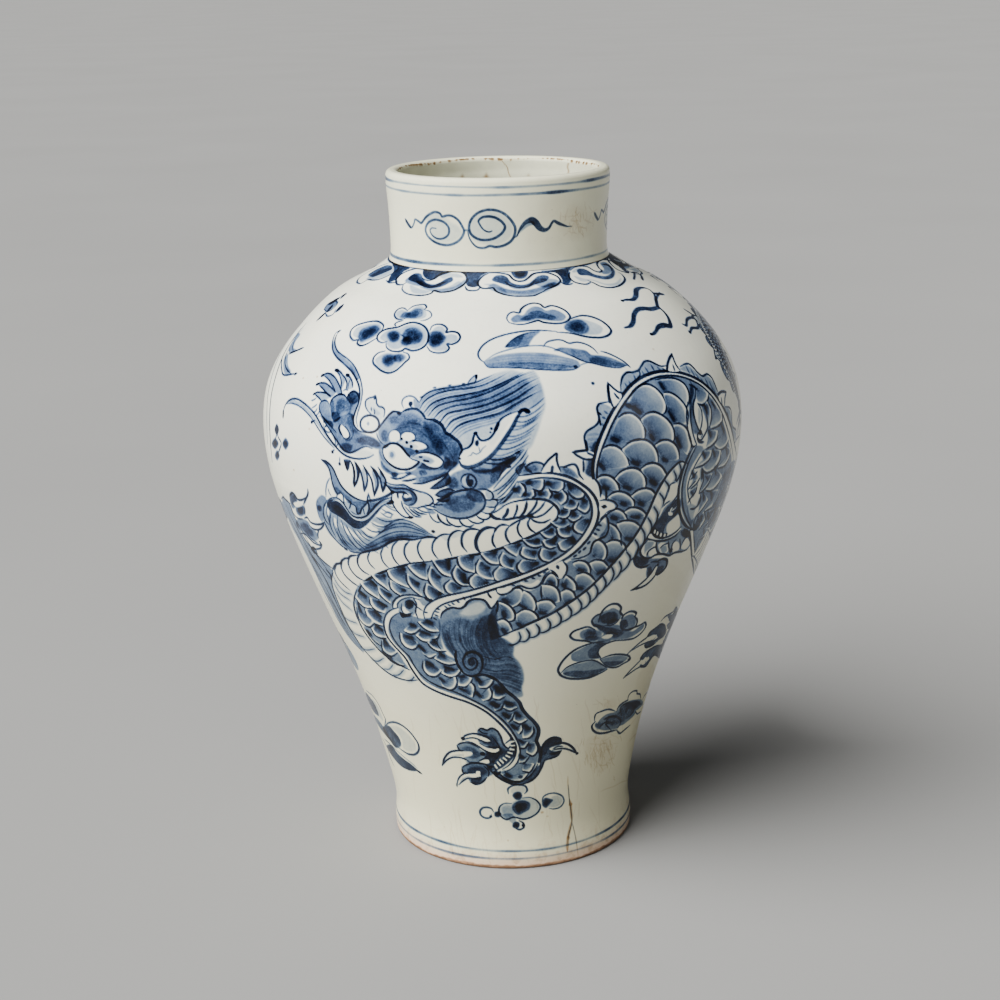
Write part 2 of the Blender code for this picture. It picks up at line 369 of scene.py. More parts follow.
ring(neck, 0.5436, 3.0, 0.56, 3, lo=0.45)
ring(neck, 0.5378, 3.2, 0.66, 4, lo=0.45)
ring(neck, 0.4853, 2.8, 0.52, 5, lo=0.5)
ring(body, 0.4806, 2.2, 0.75, 9, lo=0.6)
ring(body, 0.0163, 2.6, 0.50, 6, lo=0.55)
ring(body, 0.0095, 2.6, 0.36, 8, lo=0.5)


def L(text, w=2.0, d=1.0, taper=(0.35, 0.35), **k):
    B.line(P(text), w, d, taper, **k)


def F(text, d=0.4, soft=2.0, **k):
    """A wash; a strong one in a full shape is laid thinner, and pools towards its middle."""
    p = np.array(P(text))
    q = np.roll(p, -1, axis=0)
    area = abs(float(np.sum(p[:, 0] * q[:, 1] - q[:, 0] * p[:, 1]))) / 2
    if k or d < 0.55 or area < 14 or area < 0.50 * float(np.prod(np.ptp(p, axis=0))):
        B.fill(p, d, soft, **k)
        return
    B.fill(p, 0.74 * d, soft * 1.25)
    B.fill(p.mean(0) + (p - p.mean(0)) * 0.62, 0.50 * d, soft + 2.0)


# ---- neck: a pair of curling clouds with a wavering tail, painted several times round it
start = len(N.log)
N.line(P("405,219 407,222 409,226 411.5,227.5 414,223 415,219.5 418,221 421,223 423,221 426,217 430,214 435,212 440,213.5 442,216.5 447,215.5 452,216 458,220 462,226 464,231 462,237 457,242 449,245 441,244.5 433,241 427,235 425.5,229 428,223 433,220 438,220 445,223 449,229 448,235 443,238.5 437,238.5 432,235 430,230 432,228 436,228.5"), 2.7, 0.65)
N.line(P("405,219 408,224 411,228"), 3.9, 0.61)
N.line(P("463,231 465,230.4 467,230"), 2.2, 0.53)
N.line(P("492,231 489,232 484,230 480,225 478.5,221 482,217.5 489,216.5 496,218 502,222 505,227 502,233 495,238 487,240 478,239 471,234 469,227 471,220 477,213.5 486,210 494,210 503,213 510,219 515,227 515,233 512,240 505,245 496,247 490,246 484,248 477,247 471,241 468,233 468,229"), 2.9, 0.72)
N.line(P("514,238,0.5 517,236,0.8 519,231,1.0 523,225,1.3 527,221.5,1.7 532,220,2.3 536,223,2.6 540,228,2.2 545,230,1.5 549,228,1.1 552,223,1.0 554,221,1.0 558,223,1.2 563,225,1.1 568,226.5,0.8 572,226,0.4"), 2.8, 0.76)
N.fill(P("516,236 520,230 526,224 532,221 535,224 529,226 522,231"), 0.35, 1.5)
N.fill(P("425,217 436,213 446,218 452,223 458,226 462,233 456,240 445,243 434,240 430,232 428,222"), 0.10, 5)
N.fill(P("474,217 488,211 505,216 513,228 508,240 492,245 474,240 469,228"), 0.10, 5)
neck_motif = N.log[start:]
pair = tuple(N.wall.at([(488, 228)])[0])
for turn_by, dy, turn, size in ((114.0, 0.0008, 0.03, 1.0), (237.5, -0.0004, -0.04, 0.98)):
    N.stamp(neck_motif, pair, (pair[0] + math.radians(turn_by), pair[1] + dy), size, turn)
# rust in the fine cracks beside the motif
craze = np.random.default_rng(77)


def crackle(brush, put, cx, cy, wide, tall, count, deep, upright=0.75):
    """A patch of short fine cracks, mostly upright, with rust in them."""
    for _ in range(count):
        x, y = cx + craze.normal() * wide * 0.45, cy + craze.normal() * tall * 0.45
        a = math.pi / 2 + craze.normal() * 0.28 if craze.random() < upright else craze.normal() * 0.5
        long = craze.uniform(2.0, 5.5)
        t = np.linspace(-1, 1, 6)
        p = np.stack([x + long * t * math.cos(a) + craze.normal(size=6) * 0.35, y + long * t * math.sin(a) + craze.normal(size=6) * 0.35], axis=1)
        brush.line(put(p), 1.0, deep * craze.uniform(0.5, 1.2), kind="stain", soft=0.9)


crackle(N, lambda p: p, 576, 221, 13, 15, 46, 0.34)
crackle(N, lambda p: p, 590, 216, 8, 14, 14, 0.22)
for x, y, w, h, d in ((577, 222, 16, 17, 0.13), (560, 213, 22, 16, 0.07), (548, 236, 26, 9, 0.06), (455, 213, 34, 9, 0.04), (598, 230, 9, 20, 0.08)):
    N.fill(np.array([(x + w * math.cos(a) * (1 + 0.15 * math.sin(3 * a + x)), y + h * math.sin(a)) for a in np.linspace(0, 6.1, 15)]), d, 12, kind="stain")

# ---- shoulder: cloud-collar lappets under the neck
# dark ground between the lappets
grounds = []
for text in ("392,262 401,265 410,268 403,272 398,278 393,281 388,282 390,276 394,270", "424,269 445,271.5 455,271 449,273 440,276 434,279.5 427,279 423,275",
             "460,271 480,271 488,272 481,276 478,280 479,285 474,287 468,286 466,283 468,277 465,273",
             "541,271 553,270 565,268 575,265.5 585,263 594,260.5 600,258 607,254 606,258 598,261 588,265 580,265.5 573,267 569,271 570,277 571,281 568,284 563,283 562,279 556,273 548,272",
             "607,255 612,258 618,262 624,267 627,272 624,271 619,266.5 612,262"):
    mark = len(B.log)
    B.fill(P(text), 0.85, 1.2)
    grounds.append(B.log[mark:])
for text in ("386,280 389,282.5 393,282.5 398,281", "465,286 467,289.5 472,290.5 478,289.5 480,287", "560,281 564,284 569,284.5 573,283"):
    L(text, 2.0, 0.9)
# first, at the left edge
L("399,263 399,267 397,270 391,274 385,277 378,279.5 372,280 368,279.5 360,283.5 357,282 359,278 368,272 380,266 390,262.5", 2.0, 0.95)
F("368,275 373,271 380,267.5 387,265 392,266 392,269 386,272 379,275 372,277", 0.7, 1.8)
F("380,270 392,268 396,270 388,275 376,279 366,279 370,276", 0.24, 2)
second_from = len(B.log)
# second
L("428,268.5 420,268 410,270 404,272.5 400,275 397,277.5 396,280 397,284 402,284.5 406,282.5", 2.4, 1.0)
L("403,285 402,289 406,293 414,295 424,295 431,293 434,290.5 440,292 448,291.5 454,290 458,288 464,284 467,279 465,274 459,271.5 450,271.5 442,273 436,277 431,280 426,280 422.5,278", 2.4, 1.0)
F("408,279 411,275 416,273 421,274 423,278 427,283 434,284 440,282 446,278.5 452,277 453,280 447,284 440,287 432,288 424,287 417,283", 0.72, 1.6)
F("416,281 420,285 427,287.5 434,287.5 441,285 446,281.5 440,282.5 433,285 426,284.5 420,281", 0.46, 1.6)
F("410,285 418,288 428,290.5 438,290 450,286 459,281 462,284 454,288 444,290.5 434,290 424,293.5 412,292", 0.20, 2.5)
F("440,276 448,273.5 458,274 463,277 457,277.5 449,276.5 443,278.5", 0.18, 2)
F("420,287 435,291.5 450,291.5 463.5,285.5 465,279.5 456,285.5 441,288.5 426,287", 0.34, 2.4)
F("405,281 410,276 416,274.6 420,278 424,282 430,284 424,286 414,285", 0.42, 2.2)
third_from = len(B.log)
# third
L("489,273 483,276 479,280 478,284 481,287.5 485,288.3 489,288 493,288", 2.2, 1.0)
L("489,288 493,287.5 496,291 503,294 509,295.3 515,296 528,296 534,295.5 538,294 545,290.5", 2.2, 1.0)
L("545,290 548,288.5 553,287 558,284 560.5,281 558,277 552,274 546,272.5 540,272.5 533,274 528,278 524,280.5 518,281 513,279 509,275 503,273.5 496,272.8 489,273", 2.3, 1.0)
F("492,280 495,276 502,275 507,277 511,282 519,284.5 528,283.5 533,280 538,276 545,275 549,277 546,281 538,283.5 530,286.5 520,288 510,286 500,283", 0.72, 1.6)
F("505,281.5 512,285.5 520,287 528,285.5 534,281.5 530,287 521,289 511,287.5", 0.46, 1.6)
F("511,271.5 520,271 528,271.5 526,277 520,279 514,277", 0.95, 1.0)
F("484,284 494,284 504,288 520,291 536,288.5 548,284 556,281 554,285 545,288.5 536,292.5 518,293.5 502,291.5 494,287", 0.20, 2.5)
F("488,287.3 498.7,292.7 514.7,295 533.3,295 549.3,290 557.3,283.3 552,282 538.7,287.3 522.7,290 506.7,288.7 493.3,283.3", 0.40, 2.6)
F("533,280.4 549,278.6 558.7,280.7 560,284.7 552,287 538.7,286", 0.34, 2.4)
fourth_from = len(B.log)
# fourth
L("570,272 569,276 573,281 580,283.5 587,284 591,282", 2.2, 1.0)
L("588,280.5 594,283 600,286 609,287.5 617,286.5 623,283 625,279 622,274.5 619,272.5", 2.6, 1.0)
L("628,273 625,269 618,265 611,261 605,259.5 599,260.5 597,264 599,268 602,270.5 600,272 594,270.5 588,267 581,266 574,267.5 570,270.5", 2.2, 1.0)
F("577,270 582,268.5 588,270.5 594,274 600,275.5 606,276 611,273 611,269 607,265.5 602,264.5 606,263.5 612,267 615,272 613,277.5 606,279.5 597,278 588,275.5 579,274.5", 0.72, 1.6)
F("600,263 605,262 610,265 612,270 608,274 602,273 604,269", 0.45, 1.6)
F("574,276 584,278.5 594,280 606,283.5 616,282.5 621,278 620,283 612,286 602,284 592,280.5 582,281.5", 0.18, 2.5)
F("572,272 575,269 581,268 577,272", 0.18, 2)
# with the dark ground that stands before each
collar = [grounds[1] + B.log[second_from:third_from], grounds[2] + B.log[third_from:fourth_from], grounds[3] + B.log[fourth_from:]]


def C(text, soft=1.0):
    B.clear(P(text), soft)


def dot(x, y, w, d=1.0):
    B.dab(x, y, w, d)


# ---- dragon: claws of a far leg at the left edge
L("303.5,347.5 299,349.3 294,351.5 289.5,353.3", 2.6, 1.1, (0.3, 1))
L("289.5,353.3 289,348 292,342 296,335 301,328", 1.6, 0.7)
L("293,351 292.5,347 294,341 298,334 303,328", 1.4, 0.6)
F("290,352 290,346 293,341 298,333 300,334 295,342 293.5,348 297,350", 0.45, 1.5)
L("297,373.5 292,374 287,375 283,374.5 281.5,369 281.3,363 282.5,356 286,350", 2.0, 0.95)
L("296.5,373.5 294,374", 3.0, 1.1)
L("291,373.5 287,370 285,364 285,358 287,352 290,347", 1.6, 0.75)
F("285,374 283,366 284,358 287,352 285.5,359 286,366 290,373", 0.4, 1.5)
F("286,364 285.5,358 288,353 287.5,360 288,366 291,372 288,370", 0.45, 1.5)

# ---- whiskers
L("340,330.5 336,332.5 333.3,338 332.2,344 333,351 337,357.5 344,364 351,371 356,379 359,387 359.5,396 358.5,403 355.5,411 353.2,419 354.5,426 359,430.7 365,432.6 371,432.6", 1.9, 0.9)
L("341,330 338,332.5 335.3,338 335,344 337,350 341,354 347.5,358.8 353.5,365 358,373 361,382 362.2,391 361.5,398 360,405 357.5,413 356,420 357.5,427", 1.6, 0.85)
L("340,330.5 337.5,332", 2.8, 1.0)
F("337,334 333.5,341 333.5,350 338,357.5 345,364 352,371 357,380 359,378 355,369 348,361 340,354 336,347 335.5,340", 0.45, 1.3)
F("350,366 356,374 360,384 361,394 359,402 359.5,392 357.5,383 353,375", 0.18, 1.3)
L("283,418 283.2,412 284.5,406.5 287.5,401.5 292,398.8 297,399 302,401.8 307.5,406.3 312.5,411.5 317,418 322.5,428 328.5,437.5 335,446 341,452.5 348,456.8 355,458.6 362,458.8 369,457.3 373.5,454.8", 2.3, 0.9)
L("283,410.5 283,414 282.8,417.5", 3.2, 1.1)
L("286.5,403.8 291,403.2 296,404.5 302,408.2 308,414 313,420.5 318,428.5 323.5,436.5 329.5,443.5 334,448.2", 1.6, 0.85)
F("286,403 290,400 297,401 304,405.5 311,412.5 317,421 324,431 331,441 338,449.5 332,445 324,434.5 316,423 308,412.5 299,405 290,402.5", 0.28, 1.2)
for x, y in ((311.5, 422), (332.2, 452), (339.5, 464)):
    dot(x, y, 3.0, 1.2)
L("312,422 315,420", 1.6, 1.0)
L("332,451.5 334.5,449.5", 1.4, 0.9)
L("339.6,463 339.6,457", 1.3, 0.85)

# ---- nose: three lobes, folds, the nostril, and the fronds above it
F("329,404 327,401 323.5,400.8 320,403.5 319.2,408 321,414 326,420.5 333,427 331,418 329.5,410", 0.5, 1.8)
L("329,404.5 327,401 323.5,400.5 320,403 319,408 320.5,413.5 325,420 331,426.5 336,432.5", 1.7, 0.85)
F("330,405 333,398.5 338,394.5 343,394.5 346,397.5 349,393.5 353,391 357,393 359,398 358,404 355.5,411 353,419 350,415 344,414 339,419 335,422 331.5,418 330,411", 0.62, 2.2)
F("331,416 333,412 338,413 340,417 337,421 333,421.5", 0.5, 2.5)
F("347,396 352,392.5 357,395 358,401 354,404 349,402", 0.40, 2.5)
F("330.5,404 332,399 334,404 334,412 332,416 330.5,411", 0.35, 2.5)
L("329.5,407 331,400.5 335,396.2 340,394.2 344,395 346.5,398", 2.2, 0.95)
L("346.5,398 349,393.8 353,391.2 357,393 359,397.5 358.2,403", 2.4, 1.0)
L("346.5,398 350,402.5 351,406", 1.4, 0.7)
F("333,421 338,418 345,414 352,414 353,420 354,427 360,432 366,435 374,438 381,443 386,446 379,449 373,448 366,445 360,448 354,452 347,453.5 341,449.5 336,442 330,432 324,422 322,416 327,420", 0.54, 2.5)
F("356,440 366,436 376,440 380,446 372,447 362,445", 0.30, 3)
F("339,446 346,443 352,446 350,451 344,451.5", 0.35, 3)
F("348,417 354,415 354,426 358,432 352,432 348,425", 0.2, 3)
L("321,417 327,426 333,435 339,444 344,450.5 350,452.8 356,450.8 361,448 366,446.5 372,448.5", 1.9, 0.85)
C("340,426.5 342.5,424.5 346,427.5 348.5,432 349,436 346.5,438.5 343.5,437.5 341.5,433")
L("342,424.5 346,428 349,433 349,437 346,439 343.5,438 342,434.5", 1.6, 0.85)
L("340.3,424.5 338.8,428 340,432 342.5,436", 2.4, 0.9)
L("345,441 350,439.5 353,434 352.5,428", 1.4, 0.6)
C("361,450 366,447.5 370,450 373,453.5 368,456.5 360,457 354,455.5")
F("352,452 360,450 368,451 373,454 366,457 356,456", 0.08, 3)
for t in ("323,424 325,430 328,432.3 330.5,431.5 330.8,429", "333,436 335,441 335.2,446", "337,440 337.5,444 335.5,447"):
    L(t, 1.3, 0.85)
dot(325.4, 426.4, 2.0, 1.0)
dot(323.6, 421.8, 1.6, 0.9)
L("317,417 321,416 325,420 330,427 335,434 338,441", 1.0, 0.5)
fronds = (("322,375.3 326,373.2 330.5,373.8 335,377.5 338.5,383.5 341,390 342,394.5", "324,375.8 328,379 331,383.5 334,389 335.4,392.2", 0.5),
          ("316.5,384.3 320,382.8 325,383 329.5,386 333.5,390 335.5,392.4", "319,385 322.5,388.5 326.5,393 330.5,397.3", 0.45),
          ("313,394 317,392.2 322,392.4 327,393.5 331,396", "315,394.6 318.5,397.5 321.5,401", 0.30),
          ("336,370 340,371.5 343,375.5 345.5,378.2", "336.5,371 339.5,375 341,381 341.2,389", 0.35),
          ("347.5,375 350,377.5 352,381.5 352.6,387.5", "345,378 346.8,383 346,389.5", 0.25))
for top, low_, wash in fronds:
    F(top + " " + " ".join(reversed(low_.split())), wash, 1.3)
    L(top, 1.9, 0.9)
    L(low_, 1.8, 0.85)
for t, w in (("321.5,375.6 323.5,374.8", 3.4), ("316.3,384.5 318.5,383.6", 2.8), ("313.2,394.2 315,393.3", 2.2), ("335.5,369.8 338,370.6", 3.8), ("346.5,374.6 348.6,375.4", 3.6)):
    L(t, w, 1.1, (0.8, 0.8))
for t in ("350,379 348.5,384 347.5,390", "311,400.6 313.5,399.8 316,398", "311.5,407.8 314,406.6 317,404", "313,412.5 315.5,411 317,408", "315,416 318,413.5 319,411", "343,391 345,389.6 348,390.4"):
    L(t, 1.4, 0.75)

# ---- crest cloud and the ball between the brows
F("371,414 367,409.5 365.5,404 367,399.5 371,398 375.5,399 377,404 381,407.5 384,410 383.5,416 380,420 376,416", 0.10, 2)
L("371,414 367.5,410.5 365.2,405 366,400.2 369.5,397.8 373,397 375,395.8 376.2,399 376.6,403.2 378.8,406.4 382,407 384.2,409.2 384.6,413 383.6,417", 1.8, 0.9)
dot(374.8, 398.2, 2.8, 1.0)
L("371,407 371.4,411", 1.6, 0.8)
L("373.6,408.8 374.6,411.5 374.2,414.5", 1.4, 0.75)
F("373,407 377,410 380,414 376,415 373,412", 0.15, 2)
L("369.5,415.2 375,416.8 378.4,421 378.4,427 375,431 369.5,432.4 364,431 360.6,427 360.6,421 364,416.8", 2.3, 1.0, closed=True)
F("366.6,423.6 368,421.8 369.2,423.6 368,425.4", 0.35, 1.6)

# ---- brow, cheek and jaw masses
F("378,432 381,425.5 385.5,419 390,413.5 394,412 399,413 404,411 410,409.6 416,410.4 421,413.5 426,418 431,418.5 437,422 442,427 446,433.5 452,436.5 457,441 461,448 459,456 459,463 453,470 444,470 430,470 415,468 400,470 388,465 381,458 379,450 384,446 380,440", 0.55, 2.0)
F("424,422 434,422 444,430 454,438 461,447 459,456 458,464 450,466 444,458 436,450 430,440", 0.35, 5)
F("388,418 398,414 410,413 420,417 426,424 418,426 404,422 392,424", 0.24, 4)
F("381,434 384,430 388,433 388,440 386,442 382,440", 0.30, 3)
F("379,450 383,459 390,467 398,472 392,474 385,470 380,462", 0.32, 3)
F("381,461 386,467.5 393,472 400,472.5 407,472.5 413,470.5 419,466.5 423,463 428,467.5 434,469.5 441,468.5 444.5,463 450,461 457,463 452,469.5 446,474 438,478 431,480.5 422,483.5 413,483.6 417,480.8 410,480.4 402,481 404,478.6 396,479.2 391,478.6 392,476 386,472.5 381,467", 0.42, 1.8)
for t, d_ in (("391,473.5 396,472.5 399,475 395,477.5 391,476", 0.6), ("405,472 410,471.5 411,475 406,476.5", 0.45), ("419,471 425,470.5 427,474 421,476", 0.35), ("445,457 450,459 449,467 444,468", 0.35),
              ("419,478 430,476 440,474 446,471 442,477 430,480.5 420,482.5", 0.35)):
    F(t, d_, 2.0)
C("416,476.8 408,479.2 402,479.4 406,477.4 411,475")
C("397,477.4 403,476 407,473.8 402,474.2 398,475.4", 0.8)
L("413,483.8 422,483.6 431,480.8 439,478 446,474 451,469.5", 2.0, 0.95)
L("390,477.5 396,479 401,478.4 406,476.2", 1.7, 0.95)
L("402,481 409,480.8 416,478.8", 1.7, 0.9)
C("389,440 389,434.5 391.5,431.2 395,430.4 398.5,432.2 399.8,436.5 399,440.5 394,442")
C("401.5,439.5 401.5,435 405,432.4 410,432.2 413.6,434.4 414.6,438 412.6,440.8 407,441")
C("403,446 408,443.2 414,441.6 421,442.2 425.6,445 426.4,447.6 422,449.4 416.5,450 411,448.4", 2.0)
C("398,441.5 404,440 410,442 406,446 401,445", 2.5)
F("398,441 404,440 411,442.5 418,447 412,449 404,447", 0.16, 2)
L("389.5,441 388.6,436 389.6,432.4 392.5,430.2 396.5,430.2 399.5,433 400.4,438", 1.2, 0.55)
L("401,440 400.8,435.6 403.6,432.4 408,431.6 412.6,433 415.2,436.6 414.4,440", 1.3, 0.65)
L("414,441.2 420,441.6 425.6,444.4 428,447.4 424,450 418,450.6", 1.3, 0.65)
for x, y, w in ((406.6, 442.4, 2.8), (411.2, 446.6, 3.0), (416.6, 451.2, 3.2), (401.6, 438.8, 2.2)):
    dot(x, y, w, 1.15)
L("411.5,441 416,440.4", 2.2, 0.95)
# eye and the leaf beside it
C("383,450 384.5,447 389,444.5 394,444 399,446.5 403,450.5 407.5,455.5 412.5,459.5 418,461.5 414,465.5 408,468.4 401,468.6 395,466.5 389,462.5 384.5,457")
L("382.3,451.5 383,448.3 386,446 389.5,443.8 394.5,443.4 399.5,445.6 403.5,449.8 407.5,454.8 412.5,458.8 418.8,461.4 415.5,465.5 409.5,468.9 402.5,469.6 396,468 389.5,463.8 384.5,458 382.3,451.5", 2.3, 1.0)
L("383.5,447.6 386.5,445.8 388,444.8", 3.0, 1.0)
F("389,452 391.8,450.2 394.6,452 395.4,455.5 393.6,459 390.4,459.2 388.4,456.4", 0.16, 1.6)
F("390,453 391.8,452 393.4,453.4 393.6,456 392,457.6 390.2,456.8", 0.42, 1.4)
C("410,457.5 416,454 424,453 432,454.6 439,458 442.4,462 440,466 434.5,467.6 429,466 424,462.8 418,460.6", 1.0)
F("412,457.5 420,455.5 428,457 434,461 430,464 424,461.6 417,460", 0.34, 3.0)
L("411,457.8 417,453.9 425,452.4 433,454.2 440,457.8 443.4,462.2 440.6,467 434.6,468.6 428,467 421.5,463", 1.8, 0.85)
L("418.6,457 422.6,457", 2.2, 1.0)
L("423,460.4 426,461 429,461.4", 2.4, 1.0)
# outlines of the brow
L("371,432.6 376,430.4 380,426 384.5,420 389,414.6 393,411.6 397.4,412 400.6,414", 2.4, 0.9)
L("397.4,412.4 400.4,413.8", 4.0, 0.9)
L("401,412.6 405.5,410 411,408.8 416.5,409.4 421,412.4 424.4,416.6 425.6,418.4", 2.6, 0.9)
L("424.4,418.6 429,419.4 433.6,419.8 437,421.6 441,424.2 443.4,428 445.6,432.4 449.8,435 454.2,438.2 458.2,441.6 461,446.4 461.8,451.4 459.8,455.4", 3.2, 0.95)
L("376.4,433 377.6,437.4 380,441.4 383.4,444.6", 1.4, 0.7)
L("443,443 448,450 452,456 454,462", 1.4, 0.4)
L("404,424 414,423 424,427 432,434", 1.2, 0.3)
L("400,428 410,427 420,431 428,438", 1.2, 0.3)
# ear
F("414,399 418,401 420,406 417,409 414,406", 0.40, 2)
L("403.4,408 401.8,403.5 403,399 406.6,396.4 411,396 415,397.8 418,401.2 420,403", 1.5, 0.7)
F("408.4,404 409.6,401.6 412,401.6 412.4,404.4 410,406.6", 0.95, 1.2)
L("410.5,406.6 414,408.4 419,408.6", 1.6, 0.7)

# ---- mane: a pale wash, then many hair lines swept back
F("419,409 421,400 426,394 434,389 446,386.6 458,384.6 470,383 482,379.4 492,374.6 502,371.4 512,370 524,373 534,371 540,380 543,390 545.6,404 542,418 536,436 530,448 520,452 505,456 492,458 500,446 508,434 514,422 518,413 512,413 504,416 497,422 493,431 488,438 480,438 476,433 472,443 466,447 461,449 458,441 450,434 445,431 441,423 434,418.6 425,417", 0.20, 3.5)
F("440,392 460,390 480,386 496,380 512,374 524,376 530,384 524,394 508,402 490,408 470,410 450,412 436,408 430,402", 0.14, 8)
F("455,398 475,396 495,391 512,384 526,380 534,388 520,398 500,405 480,409 462,408", 0.16, 7)
F("500,404 515,398 530,388 540,384 543,396 535,406 520,410 508,412", 0.16, 6)
guides = [P(t) for t in (
    "419.6,402 423,396.4 431,391.2 445,388 460,385.8 474,382.8 486,378 496,373.4",
    "419.4,409 425,400.6 437,393.6 452,390 467,388.4 482,385.4 495,379.6 511,371",
    "424,412.4 432,403.6 446,398 463,395 482,391 500,384 514,377 523,372",
    "428,416 436,407 450,402 466,399 484,394 502,386 518,377 534,370.6",
    "434,418 441,411 454,406 472,403 490,398 508,389 524,380 537,375.4",
    "440,422 447,414 460,410.5 478,407 496,401 514,392 528,383 539.6,377.4",
    "445,430 452,421 464,416 482,412 500,406 517,398 530,389 540.4,383",
    "450,434 458,426 470,421 486,417 500,413 516,404 530,396 542.4,390",
    "457,439 465,432.4 478,427.4 492,423.6 501,420 506,417 509,415 513,412")]
hair = np.random.default_rng(31)


def between_guides(a, b, f):
    return [(p[0] + (q[0] - p[0]) * f, p[1] + (q[1] - p[1]) * f) for p, q in zip(a, b)]


for k in range(len(guides) - 1):
    for f in ((0.0, 0.5) if k < 7 else (0.0, 0.33, 0.66, 1.0)):
        pts = between_guides(guides[k], guides[k + 1], f)
        main = f == 0.0
        dark = (0.72 if main else 0.40) + 0.16 * hair.random()
        start_w = hair.uniform(0.8, 1.05)
        pts = [(x, y, start_w * v) for (x, y), v in zip(pts, (0.8, 1.1, 1.15, 1.2, 1.25, 1.1, 0.85, 0.45))]
        B.line(pts, 2.4 if main else 1.5, dark, (0.6, 0.2), soft=1.5)
for t in ("519,412.6 528,409.6 537,404 545,397", "517,417 526,416 536,411 545,403", "515,421.4 524,422 533,418 544,409", "511.6,426 521,426 531,421.6 542,413.6", "508.6,430 517,429.6 528,425 540,417",
          "505.4,436 514,436.4 526,432 538,423", "502.4,440.4 512,440 523,436.4 535,428.6", "500,444 510,443.4 521,439.4 532,433.4", "497,449 508,449 519,445 531,437.6", "492.4,454.6 501,455.4 512,452 522,447 530,442",
          "486.6,458.4 498,460 512,455.4 524,448", "484,463 498,464 510,460 520,453"):
    L(t, 1.6, 0.50 + 0.2 * hair.random(), (0.7, 0.2))
F("486,459 496,457 508,456 518,452 524,450 518,460 508,468 496,472 484,470 478,467", 0.38, 3)
F("470,467 482,468 492,470 486,473 474,472", 0.45, 2.5)
L("467,384 469.6,380.4 472.6,377.2 476.4,375 476.2,379 474.6,383", 1.5, 0.85)
F("468,384 471,379.6 475.6,376.4 474.6,382", 0.25, 1.5)
F("475.4,375 477.4,374.4 477,378.6 475.4,378.6", 0.95, 0.9)
for x, y in ((434.6, 387.6), (449.6, 385.2), (463.4, 383.6), (421.6, 397)):
    L("%g,%g %g,%g" % (x - 1.6, y + 0.3, x + 1.6, y - 0.3), 1.8, 0.9)

# ---- horn
C("512,414.6 518,413.4 513,424 507,434 501,444 494,453 486,460 477,464.6 467,466 461.6,463.6 460,458.4 461.6,453.6 467,450 471.6,447 474.6,440 476,434.6 480,440.4 486,440.8 491,437.4 494.6,430 498.4,423.4 503.4,418", 1.0)
F("489,440 497,428 505,418 512,415 508,424 500,436 492,446", 0.05, 3)
L("521,412 517.4,417 513.6,425 507,435.4 500,445.6 492.4,454.8 484,461.4 475,466 467,467.4 461.6,465.6 459.4,461.4", 4.2, 0.78, (0.6, 0.3))
L("518,411 512,413 506,415.6 500.6,419.6 497,426 493.6,433.6 489.4,438.4 484.6,440.4 480.6,440 477.6,436.6 475.6,433 473.4,437.6 472.2,443 468.6,447.2 463,449.8 460,453.4 459,458.6", 2.3, 0.92)
L("498.6,422.6 497,426.4 494.6,431.6", 3.8, 0.9)
L("518.6,412.2 522.6,409.8 526.4,409.6 529,411.6", 3.4, 1.1, (0.5, 1))
F("523.6,409.6 527.6,409.6 530,412 527.6,413.8 524.6,412.4", 1.0, 1.0)
L("473.6,433.2 477.4,432.8", 2.8, 1.05)
F("475.4,441 478,440 479,443.6 477.4,446.4 475.2,445", 1.0, 1.0)
L("468,456.2 471,455.2 472.8,452.8 476.4,454.2 480,452.2 482.4,448.8 486,445.8", 0.9, 0.7)
L("478.8,446.8 480,452.6", 0.9, 0.6)
dot(459.6, 458.6, 2.2, 1.0)
dot(491.4, 428.6, 2.4, 1.0)
dot(490.4, 432.4, 1.8, 0.9)

# ---- upper teeth, black and hooked
for t in ("343.6,459.6 345,465 347,470.6 348.6,466 349.4,460", "350,460 352.6,466 354,474 353.4,481 354,487 356.8,482 358.8,474 357.6,468 354.4,462 356,470 356.4,478 355,482 355.4,474 353.6,466"):
    F(t, 0.85, 1.0)
for t, w in (("344,460 345.6,466 347.4,470.8", 2.0), ("349.4,460 348.8,466 347.6,470.4", 1.4), ("350,460.5 353,467 354,475 353.6,482 354,487", 2.4), ("354.4,461.6 358,468 358.8,474 357,481 354.4,487", 2.0),
             ("356,463 360,470.6 362.4,479 363.6,486 363.8,491.6", 2.4), ("363,465.4 366,472 367.2,479 366.6,485 364.2,491.8", 2.2), ("363,465.6 367.6,472.6 371.4,480 373,488 374,496", 2.2),
             ("370.6,466.4 375,473 377.6,480 377.8,486 375.4,492 374,496.4", 2.4), ("370.6,466.4 376,472 380,479.6 381.4,486 382.4,492", 2.4), ("378,467.4 382.6,474.6 385.6,481 384.6,487 382.6,492.4", 2.4)):
    L(t, w, 1.05, (0.4, 0.3))
F("361.6,472 363.8,480 364.4,488 366,482 365,474 363.4,468", 0.30, 1.2)
F("372,474 374.6,482 374.8,492 377,484 375.6,476 372.6,470", 0.45, 1.2)
F("380,477 382,484 382.6,490 384.6,484 383,477 379.6,471", 0.55, 1.2)

